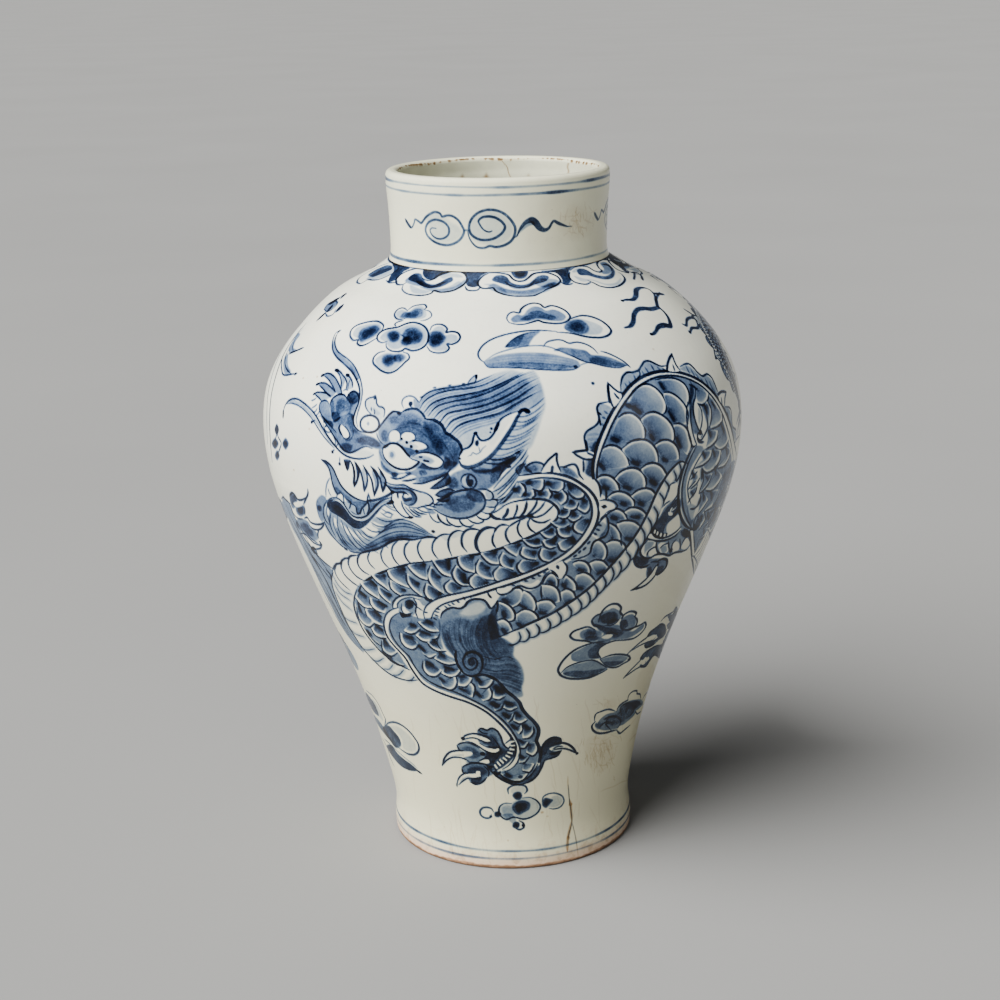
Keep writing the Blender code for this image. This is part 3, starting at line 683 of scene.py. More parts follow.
# ---- lower jaw: tusk, teeth, lip
F("321,459.6 325,461 330,466 334,472 337,479 341,486 347,492 354,497.4 361,500.6 367,501 367,503.6 362.6,508.6 360,514 357,513.4 356,507 352,505 347,502 344,497 340.6,493.4 336.6,495 332.4,487 330.4,477 327.4,468", 0.46, 1.6)
F("321,459.4 326,461 329.6,465.6 326,463.6", 0.35, 1.4)
F("336,487 340,490 346,495 352,500 350,503 345,498 341,493.6 337,494.4 334,489", 0.22, 2)
L("321,459.6 325.4,461 329.8,464.6 333.6,470 336.6,477 340.4,484.6 345.6,491 352,496.2 359,499.8 366,501.2", 2.4, 0.95)
L("321.6,460.4 325.6,463.4 328.8,468.6 330.6,475.6 332,482.4 334.6,489.4 337,494.4 336,498", 1.9, 0.9)
L("329.6,478 327,483 325.8,489 325.8,497", 1.6, 0.7)
L("328,488.6 329,492.4 331,496", 1.4, 0.75)
L("337,495 340.6,493 343,496 343.6,501 344.4,505", 1.8, 0.85)
L("344.6,498 347.6,500 350.4,502 350,506.6 349,509", 1.6, 0.85)
L("351,503.6 355.6,506.6 356.6,511 357.4,513.6 360,513.4 361.6,509 366,504 368,501.4", 1.8, 0.85)
L("368.4,493.2 367.4,499 368.6,505 368.6,510.6 366.6,514", 1.9, 0.85)
L("368.6,494 369.8,499 370,503", 1.5, 0.75)
L("363.4,508.6 364,512 364.6,514.4", 1.4, 0.8)
L("350.6,511 355,514 358.6,514.6", 1.2, 0.6)
F("369,503 377,502.4 386,499.6 381,503 375.6,508.4 371,512.6 369,508", 0.42, 1.8)
L("366.6,500.8 373,500.4 380,498.8 386,496.4 392.4,492.6", 3.0, 0.85, (0.4, 0.9))
L("391,492.8 393.4,492.4", 3.4, 1.05)
F("327,502 330,499.6 335,499.4 340,501.4 344.6,506.6 349.4,514 354,519 360,520.6 366,519.6 371,515.4 376.4,508.6 382,503 388,500.6 392,499.4 392.6,502.6 388,504 383,506.6 377,513.4 371,520.4 366,525.4 360,529 354,528 348,524 342,519 336,515 330,511 327.4,506.6", 0.92, 1.5)
F("333,505 340,507 346,514 347,520 341,516 334,511", 0.25, 3)
C("331,501.6 336,501 341,503.6 346.4,510.4 351,516.6 357,520.2 363.6,520.6 369.6,517.4 375.6,511 382,505 389,502 389,501.2 381.6,503.4 375,509.4 369,515.6 363,518.6 357,518.4 351.6,515 347,509 341.6,502.4 336,499.8", 1.2)
F("331,501.6 336,500.6 341,503 346.4,510 351,516 357,519.4 363.6,519.8 369.6,516.6 375.6,510 382,504.4 389,501.6", 0.25, 1.5)
L("326.6,501 331,498.2 337,498.2 342,501.8 346.6,508.2 351,514.6 356,517.4 362,517.6 367,515.4 371.4,510.6 376.4,504.8 382,500.6 388,498.6 392,497.4", 2.0, 1.0)
L("387,503.6 390.6,503 392.6,502", 3.4, 1.0, (0.5, 1))
F("316.4,504 318,498 321.6,495.2 325,497 326.6,501 324.2,505.4 322.8,511 323.6,518 322,522 319,518 317,511", 0.5, 1.8)
F("317.4,506 321,506 321,511 318.4,511", 0.5, 1.6)
L("326.6,501.4 323.8,507 323.4,514 325.4,520.4 329,525", 1.9, 0.85)
L("317.4,499 316.4,504 317.4,511 320,518.4", 1.4, 0.6)

# ---- beard
F("325,504 328,509 336,515 346,523 356,528.6 362,530 368,535 376,536 378,530 372,525 374,518 384,518 392,519.6 401,518.6 410,522 418,528 426,532 435,536 437,538.6 428,538 418,539.6 408,540 398,540 388,545 378,548 368,551 358,553 352,551.6 345,548.6 337,542 329,534 324,524 323.6,514", 0.34, 2.2)
F("358,550 366,545 378,540 392,535 406,533 420,535 436,538 420,539 400,540.6 388,545 374,549.6 362,552", 0.34, 2.5)
F("396,521 406,523 416,528 428,534 418,534 404,530 392,530 384,534 388,527", 0.16, 3)
F("344,540 350,545 358,549 352,551 344,546 338,540", 0.25, 2.5)
for t in ("325.4,506 328.6,510 328.4,516 326.4,514", "333,517.4 336.4,520 337,528 334.4,524", "340,522.6 344.6,526.4 351,536 346,533", "347.4,527 353,532.4 361.6,541.6 354,537",
          "355.6,531 363,535 369,540 362,538", "373,521.6 380,524.6 385,526 379,528 374,526", "386,511 392,513 396,517 389,516"):
    C(t, 1.6)
for t, w in (("327.6,504 326.4,511 328.2,519 330.4,527", 1.8), ("331,512 329.6,520 331.4,529 336,538", 2.2), ("337.4,516 337.2,525 340.4,535 345.4,543.6 352,550.4", 2.0),
             ("341,520 344.4,530 350,540 357.4,548.4", 1.9), ("346,525 350.4,534 357,543 364.6,549.4", 2.2), ("352,528 357.4,536.4 364,543 371,546.6", 1.8), ("357,530 363,537 370.4,541.4", 1.7),
             ("361,530 367,536 374,538.6", 1.7), ("333,516 333.4,525 337.4,534.6 343,543.6 350,550.6", 1.7), ("323.6,520 326.4,527 330.6,534 335.4,540 341,545.6 347,549.8", 2.4), ("344,548.4 347.4,550", 3.6),
             ("366,546 374,541 384,536 394,532.4 406,531.6 418,533.4 431,536.6", 1.5), ("362,550 372,546.6 384,541.4 396,537.4 410,536.4 424,537.4", 1.5), ("374,538 382,532 392,528 404,526.6 416,529.4 428,534.4", 1.5),
             ("378,534.6 386,528.6 396,524 408,524 420,529 432,535", 1.5), ("384,528.6 392,522.6 400,519.6 410,521.6 420,527 428,532", 1.6), ("376,517 381,520 388,521.6 396,519.8 404,518.6", 1.8),
             ("371,522.4 377,526 384,526.8 391,523.4", 1.6), ("366,528 373,531.8 382,531.6", 1.6), ("349,551 354,552.6 360,552.4", 2.2), ("346,536 352,544 360,550", 1.2), ("341,534 346,541 353,547", 1.2),
             ("355,538 362,545 369,549", 1.2), ("336,528 340,538 347,546", 1.2)):
    L(t, w, 0.72)
for t in ("384.6,505 390,508.6 396.6,511.6", "381.6,509 387.6,512.6 394,514.6", "380.6,512.6 386,516.4 392,518.4", "387,505 391,507 395,507.6", "384,514 388,512 392,514.6 390,518"):
    L(t, 1.4, 0.6)

# ---- corner of the mouth: a rolled lip, small teeth and bristles behind it
F("383,482 390,485.4 398,486.6 404,486.4 410,488.6 415,492.6 417,497.6 415.4,502.6 411,505 406,504 403,501 410,499.6 411.4,496.4 408,493 402,491.6 395,491.4 389,489", 0.55, 1.5)
F("405,486 412,489.6 420,492 427,494.4 431.4,498 432.4,501.6 430,504 424,505.6 416,507 411,506.6 416,502 416.6,496 412,491", 0.10, 2)
F("402,496.6 406,498.2 411,497 411.6,499.4 406,501.6 402.6,500.6", 0.85, 1.2)
F("410,492 415,496 415,501 410.6,504 412.6,498.4", 0.2, 1.8)
L("384.4,480.8 390,484 397.6,485.2 404,485 411,488.6 419,491.4 427,493.8 431.8,497.8 433.2,501.8 430.4,504.8 424,506.2 416.4,508 409,507.2", 1.9, 0.9)
L("384,483.6 390,487.4 397,488.6 404,488.8 410.6,490.8 415.4,495 416.4,500 413,504.4 408,505.4 403.4,503", 2.0, 0.85)
L("386.6,486 391,490.6 395,492.2 401,492.4 405.4,493 408.4,495", 2.2, 1.0)
L("404.6,493 403,495.4 402.4,498", 1.6, 0.9)
L("392.4,493 391.4,499 393.4,505.4 397.4,511.4 402,515.6 407,517.8 412.6,517.4", 1.8, 0.9)
L("408,517.6 413,517.2", 3.0, 1.05)
L("397.4,493.6 398,498.6", 2.2, 0.9, (1, 0.3))
L("401.4,501 402.4,506 406,512 410.4,516.6", 1.8, 0.9)
for t in ("405,506.6 409.4,511.6 415.4,516.4 421,517.2", "409,508 414.6,513 421.4,516.6", "412.6,508.8 418.6,512.8 427,514.8", "416.6,508.4 422.6,511.6 430,513", "421,506 428,508.8 434.4,510", "425,504.4 431,506.4 436,507.4",
          "431,503 437,505 443,504.6", "429,513.6 432,518.6 436.4,522 441,522.4", "437.6,513.6 438.4,517.4 440.6,520"):
    L(t, 1.5, 0.78)
F("409,508.6 416,511 424,514 420,516.4 413,513", 0.25, 1.6)
F("426,509 432,510 436,513 431,514", 0.45, 1.4)
dot(433.2, 531.6, 3.4, 1.2)
# bristles in front of the cheek
for top, low_, wash in (("430,488.6 437,483.4 443,478.8 448.4,473.4", "430,488.8 437,488.6 444,486.4 450.6,482", 0.75), ("435,495.2 441,490.8 448,489 455,490.8", "435,495.2 441,497 447,494.8 453,491.4", 0.65),
                        ("436.4,499.8 442,498.4 449,495.6", "436.4,500 443,501.6 450,499.6", 0.35)):
    F(top + " " + " ".join(reversed(low_.split())), wash, 1.2)
    L(top, 1.7, 0.9)
    L(low_, 1.7, 0.9)
# cheek: a curl over a heavy dark roll
F("447,480 452,474.4 460,470.4 470,468.8 480,470 490,470 497,466 505,460.4 513,456.4 515.4,458.6 508,464.4 502,470 500,478 494,485 488,489 480,491 468,489 456,490 448,488 445,484", 0.50, 2.2)
F("433,506.4 440,500.6 446,497.2 452,493.2 460,490.8 468,490 476,490.8 482,494 484.8,500 484,507 479,512.6 471,516.6 461,518.2 450,517 440,512.6 434,509.4", 0.58, 1.8)
F("468,491 476,491 482,495 483,502 476,502 469,499 466,495", 0.40, 3)
F("445,499 452,494.6 458,498 456,503 448,505", 0.22, 3)
F("448,480 454,477 458,481 457,487 450,488", 0.35, 3)
C("462.4,479 465,476.4 468,476 466.6,479.6 467,484 469,486.8 465.4,486.6 462.4,483", 1.2)
F("462.4,479 465,476.4 468,476 466.6,479.6 467,484 469,486.8 465.4,486.6 462.4,483", 0.22, 1.4)
L("461,483 461.4,478 465,474.6 470,474.4 474.6,477.4 476.4,482 474.6,486.6 470,489 465,488.4 461.6,485.4", 2.0, 0.8)
L("469,475 467.4,479.6 468.6,484.4 472,486.4", 3.4, 0.9)
F("468.6,480 472.4,479.6 473.4,483.6 470.6,486 468.2,483.6", 0.85, 1.2)
L("478,489 486,489.6 492,492.4", 1.8, 0.8)
L("433,506.6 440,500.8 446,497.2 452.6,493 460.6,490.6 468,489.8 476,490.4 482,493.8 485,500 484.2,507 479,512.6 471,516.8 461,518.6 450,517.4 440,513.2 434,509.6", 2.3, 0.92)
L("446,501.6 449,500.6", 2.0, 0.9)
for t in ("488,489.8 492,492.8 493.2,497.6 490.6,500 486,499.8", "490.6,500 496,499.8 497.6,503.4 496,506.4 491,507.4 485,506.4", "481,511.6 487.6,513.8 494,512.6 500,509 505,505.4", "495.6,506.4 494.6,510 490.6,512.8",
          "505.6,496.6 499,500 493.4,499.8", "512,491.6 505,500.4 498,505.4", "484.6,500 488,500"):
    L(t, 1.6, 0.82)
F("486,491 492,493.6 492.4,498 488,499 485.6,495", 0.24, 1.6)
F("486,501 494,500.6 496.4,503.6 494,506 487,506", 0.26, 1.6)
F("484,508 492,508 498,506.6 493,511 487,512.6 482,511", 0.10, 1.6)
for t in ("528,448.6 522,458 514,466.6 506,474.6 498.6,482.6 493.6,488.6", "528.6,455 522.6,464 515.4,473 507.6,482 500,488.4 493,492", "526.6,461.4 520,470.4 512.4,480 505,487.6 497.6,494.4",
          "521.6,471 515.4,479.4 509.4,487.4 503,494.4 496.4,499.4", "518,480 513,488 507,495.4 500,501.8 495,506", "514,491 509,497.4 503,503.4", "524,450 516,459 508,466.4 501,474 497,481", "510,462 503,469.6 499,478"):
    L(t, 1.6, 0.75, (0.3, 0.5))
F("526,450 528,456 522,466 512,480 502,492 494,500 492,494 500,484 510,472 520,460", 0.20, 2.5)
F("492,460 500,458 508,458 512,462 504,470 498,478 494,484 490,480 492,470", 0.28, 3)
L("505.4,464.6 510.6,460.8 515.4,457.4", 3.6, 0.95)
L("507,467.2 511,466.4", 2.8, 1.0)
L("515,453.4 520,452", 3.0, 0.75)
F("481,470 492,469 500,463 508,458 514,457 508,463 500,468 494,473 484,474", 0.22, 2.5)

# ---- chin plates and the belly plates of the throat
for t, w in (("437.4,514 439.2,519 444,523.4 451,526", 2.4), ("446.4,517.4 447.8,521.4 452.4,525 458,526.8 463,525.6", 1.9), ("459.2,518.6 460.6,522.4 464.6,525.8 470,526.8 474,524.6", 2.0), ("467.6,518.8 472,522 478,523.4 482.8,521.8 484,519.4", 1.8),
             ("476,515.2 480,518.4 485.2,519.6 489.8,517.2 490.2,514", 2.0)):
    L(t, w, 0.92)
F("488.6,513.4 492,514 496,517 501,518.4 500,520 495,519.8 491,517.6", 0.95, 1.0)
L("500,519.6 507,519.6 514,518.2 521,517.2 527,516 533,516.4", 2.8, 0.98)
for t, w in (("526.6,517.8 520,520 513.6,523.4 509,526.8", 2.2), ("508.6,525.6 502,524.8 496.6,528.2 494,533", 2.4), ("496.6,528.4 488,527.6 482.4,530 478,535 475.8,542 477,548.6 480.4,553", 3.8),
             ("480.6,530.6 474,529 468,529.6 463.6,533 461.6,539 462.4,546 467,552", 2.6), ("464,531.6 457,530.8 451.6,534 448.6,539.6 448.4,547 451.6,556", 2.2), ("450.4,534.4 443,534.6 437,537.8 433,543 432.2,549.6 434.6,555 438,559", 2.0),
             ("494,533 492.4,538.6 493,543.6 495.8,548", 2.2), ("509,526.4 505.8,532 506.6,538.4 510.4,543.8", 2.4), ("520.4,520.6 517.6,527 518.8,533.6 523,538.6", 1.9), ("530,518.4 527.8,523.6 530,529 536,533.4", 2.2),
             ("531,519 536,521.8 543.4,522.6 550.4,519.4", 2.2), ("530,517 537,517 544.4,514 549.4,509.6 554,505", 2.0), ("528.6,515.8 535.6,512.4 541.2,507.6 545.2,501.6", 2.2), ("526,516.2 532,510.6 536,504.6 537.2,500.4", 2.4),
             ("519,517.8 524,512.4 526.2,506.4 526.8,501.6", 2.8), ("513,518.6 515.8,513.2 517.2,508.4 517,504.4", 2.2), ("502.4,518.4 506.8,513.6 508,508.4", 3.2)):
    L(t, w, 0.95)
F("528,514 533,514.6 534,518 530,519.4 527,517.4", 0.7, 1.4)
L("502.6,506.6 510,503 520,500.6 530,499.4 540,499.4 548,501 554.4,504.8 558.2,509.6 558.6,514.6 556,519.6 551,524.4 545,529 538,533.2 530,537 520,541 510,545 500,548.6 490,551.6 480,553.8 470,555.4 460,557 450,558.8 440,560.4 430,561.6 424,562", 2.8, 1.0)
for t, w in (("421.4,539.6 418,545 417.8,551 420.4,557 424,561.6", 2.0), ("409.4,541 405.2,546 404.2,553 406.8,559.4 411.4,564.4", 2.2), ("398,540.6 392.8,546 391.6,552.4 394.2,559.6 400,566.6", 1.9), ("383.4,547.6 380.8,553 381.8,559.4 384.8,564.4 388.6,568", 1.9),
             ("369.8,551.6 367.6,557.6 369.6,563.8 374.6,569", 1.8), ("360.4,553.6 357.4,559 358,565 362,570.6 369,575", 2.3), ("350,556.4 348,562.6 350.8,570 357,577 364,580.8", 2.2), ("342.4,560 341,566.6 344,574 351,581.4 358.4,586.6", 2.4),
             ("336.6,564 334.6,570 337,577 343,584.4 350,590.6", 2.2)):
    L(t, w, 0.9)
L("374,551.4 376.6,552.4 378.6,553.8", 1.2, 0.45)
L("386,546.4 388,548", 1.8, 0.5)
L("421,538.6 413,540 405,539.4 397,539.8 390,542 384,546 376,549.6 369,551.2 362,553 357,555.4", 2.9, 0.95)
L("421,538.8 427,537.2 433,537.2 438,538.6", 2.2, 0.9)
L("357,555.4 354,555.6 350.4,556.2 348,558.2 344.6,558.6 341.6,561 340,563.4 336.6,564 333.6,567 332.2,571.4", 2.6, 0.95)
L("424,562 413,563.4 402,566 392,568.8 382,572.4 374,576 366.4,580.4 361,586 358.4,592.4", 2.8, 1.0)
F("450,533 456,531 462,533 460,536 452,538", 0.10, 2)
F("440,535 448,534.6 450,540 446,541", 0.12, 2)


def S(rim, blob, r=3.6, wash=0.43, deep=0.85, w=2.4, clear=True):
    """One scale: outline, an edge left bare inside it, a wash that deepens to the root and a dark spot there."""
    edge, root = P(rim), P(blob)
    rx, ry = sum(q[0] for q in root) / len(root), sum(q[1] for q in root) / len(root)
    mx, my = edge[len(edge) // 2]
    if clear:
        B.clear(edge + root[::-1], 0.8)
    inner = []
    for x, y in edge:
        n = max(math.hypot(rx - x, ry - y), 1e-6)
        inner.append((x + (rx - x) * min(3.2 / n, 0.30), y + (ry - y) * min(3.2 / n, 0.30)))
    B.fill(inner + root[::-1], wash, 3.0, grad=(mx, my, wash * 0.55, rx, ry, wash * 1.7))
    if r > 0:
        spot = root if len(root) > 1 else [(rx - 0.3, ry), (rx + 0.3, ry)]
        B.line(spot, 1.8 * r, 0.70 * deep, (1, 1), soft=5.0)
        B.line(spot, 1.05 * r, 1.05 * deep, (0.8, 0.8), soft=2.0)
    B.line(edge, w, 0.95, (0.5, 0.5))


# ---- the coil that runs from the throat round to the left
F("356,606 354,596 358,586 366,580 380,572.6 392,568.6 413,563.4 440,560 460,557 480,553.6 500,548.4 520,541 540,532.6 551,524.4 558.4,516 560,508 556,503 545,500 530,499 512,499 500,507 508,497 516,489 519,481 530,479 545,478 560,479.6 572,484 583,491.6 590,501 591.6,513 588,526 580,540 568,551 550,563 530,571.4 510,579 490,585 470,591 452,594.6 436,599.6 424,606 418,600 400,596 394,602 390,612 384,616 383,628 388,640 398,652 404,662 408,668 396,664 384,654 372,640 362,622", 0.42, 2)
for rim, blob, r in (("521,483 525,487 525.4,492 521.4,497", "515,490", 4), ("544,479.6 544,487 540,491.4 533,489", "528,482.4", 4), ("564,480.6 564,488 559,492.2 552,491", "548,483.4", 4),
                     ("585.6,491.6 583.4,497.6 577,499 571,495.6 568,491", "568.6,484.6 570,488", 3.4), ("534,490 535.4,495 531.6,498.8", "525,494.6", 3), ("549,489 552,494 549.6,498.8", "540,493.8", 3.6),
                     ("563,490 567.6,495.4 566.6,501.6 562,505", "556,496.4", 3.8), ("578.6,503 577,508.4 570.6,511 563.4,508.4", "571,501.4", 3), ("590,500 590.4,508 585.4,513.6 577.6,509.6", "583.6,500.4", 3.6),
                     ("571,510.4 569.6,516 564,519 558,517.4", "562.6,511.4", 3), ("582,516.4 578,521 572,522 568,519", "573.6,513.6", 3), ("584,517 574.4,523 573,529 577,533 582,534.4", "588,521", 3),
                     ("550.6,523 556,527.4 563,529.2 569.4,525.4", "563.6,521.4", 3), ("540,533 545,538 552,539.2 556.4,535.6", "551.4,530", 3.6), ("556.4,528.6 558,535 563.4,538.2 571,537.4", "569,528.6", 3.4),
                     ("542,541.6 545,547 550.6,549 556.6,547", "556,538 553.6,543", 3.2), ("557.6,544 560,550 565.4,551.6 569,549", "572,538 575,543", 3.8), ("522,540 528,546 536,548 542.4,546", "537.6,540.6", 3.8),
                     ("522,547.4 520,554 526,559 536,560.4", "534,552.6", 4), ("541,548.6 538.8,555 542,560.6 549.6,562.6", "554.4,553.6", 3.8), ("503,547.4 508,552.4 516,557", "519,545", 3),
                     ("502,552.4 498.6,560 502,567 513,570.4", "512,561", 4), ("521,560.4 516.8,566 520,572.6 527,574.4", "536.4,563.6", 4), ("498.6,566.6 493,573 494,579.4 500,583", "514.6,574", 3.4),
                     ("480,554 485,560.4 491,564.4 498.6,565", "495,552.6", 3.6), ("478.6,559.6 475,567 477,574.6 484,579.4 493.6,580.4", "488.4,568", 3.2), ("474.6,573.6 469,578.6 469.4,585 474.6,589.6", "487,583", 3),
                     ("457,557.6 458.4,564.6 464,570.6 474,573.4", "472,557", 3.2), ("455.6,565.4 452,573 455,581 462,586 470,586", "464,574.6 465.4,582", 3.2), ("449.6,580 444,585.6 446,591.6 452,595.4", "460,588", 2.6),
                     ("431.6,560.4 436,568 443,575.2 450.4,577.4", "449,561 449,569", 3.0), ("430,566 427,575 430,583.6 436,590 443.6,594.4", "439,577", 3.2), ("425.6,583.6 424,592 428,599 436.6,603", "440,594", 3),
                     ("406.8,566 412,572.6 420,578.6 427,580.6", "424,564.6", 3), ("386.6,571 389,577.4 396,583.4 409,588.6", "403.4,569", 4), ("371,575.4 376,581.6 384,587.6 389,591.4", "384,575.6", 3.2),
                     ("406.4,573.6 407,582 413,590.4 422,597", "418,583.6", 3), ("389,580 390,587.4 394.6,592.6 400,595.6", "404,590.4", 3.6), ("376.6,585.6 378,592.4 383,598.6 390,604", "389.6,595", 4),
                     ("360,583.6 365,590.4 372,595.6 379,599.6", "371,581 375.6,585", 3), ("354.6,597 360,604 366,608.4 372,608.6", "359.6,591.4 365.6,596", 3.4), ("369,597.4 370.4,604.4 376,610.6 384,613.6", "379,602 386,606", 3.2),
                     ("364.4,609 367.4,617.4 374,623.6 384,626.6", "375,611.4 380,616", 3.4), ("356.4,607 358.4,617.4 363.6,624.4 370,627.2 374,623.4", "358,603.6 361,611", 2.8), ("371,628.6 375,635.4 381.4,638.4 388,638.4", "376,625.6 382,630", 3.4),
                     ("364,627.6 370,636.6 376,642.6 381,646", "367.4,630.6 370.6,634.4", 2.8), ("381.4,640.6 382,648.6 385.6,654 392,656.2 398,652.4", "384,639.6 387.4,644", 3), ("381.4,650.6 389,659.6 397,664.6 405,666", "384,652.4 391,657.6", 2.6)):
    S(rim, blob, r, wash=0.52, deep=1.0)
# its back edge, a pale band between two lines
C("518,478.4 530,476.8 545,475.6 560,477 573,480.6 584,487 592,494.6 596,504 596.6,514 593,526 586,538.4 577,549 565,558.4 550,566.6 533,573.6 514,580.6 492,587 470,594.4 450,598.6 438,603.4 430,610 428.4,618 423.6,615 425.4,606.4 434,599.6 446,595.4 466,590.6 490,583.4 512,577 531,570.6 548,563 562,554.4 573.6,544.6 583,533.6 589,521.6 590.8,509.6 588,498.6 580,489.6 569,483.4 557,480 543,479.2 530,480.4 518,481.6", 0.9)
L("519,475.8 530,474.4 541,473.2 552,473.2 562,475 572,478.4 582,484.4 590.6,491.4 596.4,500 598.8,510 597,522 591.6,533.4 583.6,544 573.4,553.6 562,561.4 548,569 532,576.2 514,583 494,589.4 474,595.6 456,600.4 442,605 434.6,611 431,618.6", 3.0, 1.0)
L("517.4,482 530,479.4 542,478 555,478.6 566,481.4 577,486.6 585.6,493.6 590.6,502 592,512 589.8,522.6 584,533.4 576,543.4 566,552.6 553,560.8 538,568.2 520,575.2 500,581.4 480,588 462,592.6 446,596 434,600.4 426,606.6 423.6,613 424.4,618.6", 2.6, 1.0)
# fin along it, between the coil and the next one
L("519,475 516,470 520,465.4 526,463.6", 2.0, 0.8)
F("518,474 522,466 530,463.6 538,463 542,467 540,472.6 530,474", 0.55, 2)
L("526,466.6 530,463.8 536,462.2 541.4,463.4 544.8,466", 2.4, 0.95)
L("524.6,466 528,470 532,472.8", 2.6, 0.8)
C("541,472.4 545,464.4 550,458.6 556,454.6 557.6,462 560,468.6 561,472.6 551,471.8", 1)
L("541,472 543.6,466.4 548,460.4 553,456 556.6,453.4 556.8,459.6 558.6,466.6 561,472", 2.2, 0.98)
L("552.6,465.4 552,471.4", 3.0, 0.9, (0.2, 1))
F("560,467 568,467.4 574,471 578.6,478 570,476 562,473", 0.6, 1.6)
L("560,466.6 565,466.8 570,464.8 575,464.6 578,469 579.4,474.6 583.4,479.6", 2.4, 0.95)

# ---- the big coil: scales that grow over each other towards the arch
F("595,477 597,465 601.6,450 606.6,437 613.6,421 620.6,408 628.6,397 638.6,386 650.6,379.4 662,376.4 675,376 688,378.6 694,390 692,400 687,410 687.4,430 692,445 686,460 680,462 668,474 661,484 655,497 648,513 640,528 632,541 620,556 605,573 590,588 575,599 560,608 545,617 530,623 515,630 500,637 492,640 488,620 494,606 502,594 515,588 530,591 540,585 550,573 562,568 570,561 584,559 594,549 600,536 606,528 605,516 600,508 608,500 600,492 598,482", 0.46, 2)
for rim, blob, r in (("655.6,380 665,377.8 675,378.4 684,383.4 688.4,391 689.4,400 686.4,408", "660,383 663.6,388.6", 4.2), ("628,399 634,390 641,385 648,384 656,388 663,396 666.4,404 665.6,411.6 661.4,416", "627,405 635,409 640,413", 4.6),
                     ("664,392.4 670,392.4 678,397 685,405 688,413 688,424", "669,411.6 674,420.6", 3.6), ("674,424 679.4,423.4 685.4,427 689.4,435 691.4,447 688,455", "676.6,438.4 680.4,447", 4),
                     ("618.6,417.4 624,413.6 631,413 638.4,417.4 643.4,424.4 645.4,432 644.6,440", "612,438.6 617.6,441", 4.6), ("641,418.4 647,413.4 654,412 662.4,415.2 669.4,421.4 673.6,429 674.6,437 673.4,442.6", "650.6,435.6 653.4,440", 4.4),
                     ("655,444.6 661,440.6 668,440 674.4,443.4 678.6,450.4 679.6,458.6", "663,459.4 667,461", 3.8), ("602.6,448.6 608,445.6 614.6,445.6 621.6,449.4 627.4,457 629.4,465", "600,464.4 604,469", 3.8),
                     ("622,448.6 630,442 638,439.6 646.4,440.2 653.4,445.2 657.6,453 658.4,461.4", "632.6,462 638,464.4", 4.2), ("596.6,478.4 601.6,475.4 609,475.6 616,480.6 619.4,487.4 619.4,491.6", "603.6,487.4 608,488.6", 3.8),
                     ("615,477.6 621.4,471.2 630,468 638.4,469.2 644.4,475 646.4,482.4 645.4,489.6", "624.4,487 630,489", 3.8), ("641,468.6 647,464.2 654.4,463 661.4,466.2 665.6,472 667,475", "650.6,481 656,484.4", 4.6),
                     ("607.6,497 614,492.4 621,491.6 628.4,494.4 634.2,500.4 634.6,507", "621.6,503.4 625.6,505", 3.8), ("631,495.6 638,490.2 646.4,488.2 652.6,490.4 656.4,495.6", "639.6,503 643,505", 4.0),
                     ("605.6,513 611,509.4 617.6,508.8 624.4,512.6 627.6,519.4", "611.6,517.4 616,519", 3.8), ("624,511.6 630.4,507.6 637.4,507.8 643.6,511 647,515.6", "632,516.6 639,517.8", 3.6),
                     ("609.6,523 616,526.4 620.4,533 621.4,540", "612,538", 2.0), ("617,523 625,520.6 634.4,521.6 640.6,526.4", "626,538.6 631,540", 3.8), ("605,543.6 612,540.2 619.4,541 625,545 626.8,551", "609,560 614,561.6", 3.8),
                     ("591.6,549 594,542.4 598.6,540 603.6,543 607.2,549.6 606.6,557 604,560.6", "594,556", 2.4), ("589.6,562.6 596,560 603.6,561.2 609,567", "598,574 604,571", 3.4), ("572.6,563 579,560.6 586.4,562.4 590.4,568 590.6,573.4", "578.6,570 583,571", 3.0),
                     ("577,574.6 584,572.6 590.4,575.2 595.6,581", "576,588 582,589", 3.4), ("567,575.4 571.6,578.4 576.4,584.4 576.6,590", "563,584.6 566,589", 3.6), ("543,583.4 546,577 551,573.2 555.6,575.2 558.4,580.6 557.6,588", "549,581.6 552,583.6", 2.8),
                     ("541.4,584.4 549,584.6 556,587.4 559.6,593 560.4,601", "546,600 552,603", 3.4), ("561,591.6 567,589 573.4,592 576,598", "565,604 570,601", 2.6), ("508.6,592 513,589 519.4,588 523.4,591.4 523.6,598.6 518.6,605 513.6,607.4", "503,599.6 507,602", 3.8),
                     ("524,590.4 530,593.4 535.4,600.4 536.6,607.4 535,611", "521,606 526,608", 3.0), ("537,602 543,600 551,600.6 556,606", "540,612.6 545,613.6", 3.6), ("498,601.4 505,603 512,608.2 515.2,614.4 514.2,620 509,621.6", "503,612 504.6,617", 4.0),
                     ("516.6,613.6 524,609.4 532.4,611.2 537.6,616 538.8,620.6", "517.6,623.6 521.6,626.6", 3.8), ("496.6,621 503,619 509.4,623 512.4,629.4", "502.6,629 505,633", 4.2)):
    S(rim, blob, r, wash=0.37, deep=0.78)
for t, w in (("594,478 598.6,483.6 600.6,490.4 600.6,497", 2.4), ("606,515 608.4,522 608.4,530 605.4,536 598,539", 2.3), ("600,519.6 604,515.4 606,511.6", 2.0), ("620.4,541 622,546", 2.0), ("541.4,586 541,592 542,599", 2.0), ("606,489 606.4,496 606,500", 2.4)):
    L(t, w, 0.95)
L("600,500.6 606,500 613,501.2 617.4,505.6 616,509.6", 1.8, 0.85)
C("601,502 608,501.6 614,504 615,508 608,511 602,516 599,508", 1.2)
L("617,509 611,511.4 605.4,516 600,521.6 596.4,527", 2.2, 0.9)
dot(604.4, 506.8, 4.0, 1.0)
L("601.6,506.6 607,507", 2.4, 0.9)
F("602,522 606.6,526 605,534 598,537 594,532", 0.25, 2)
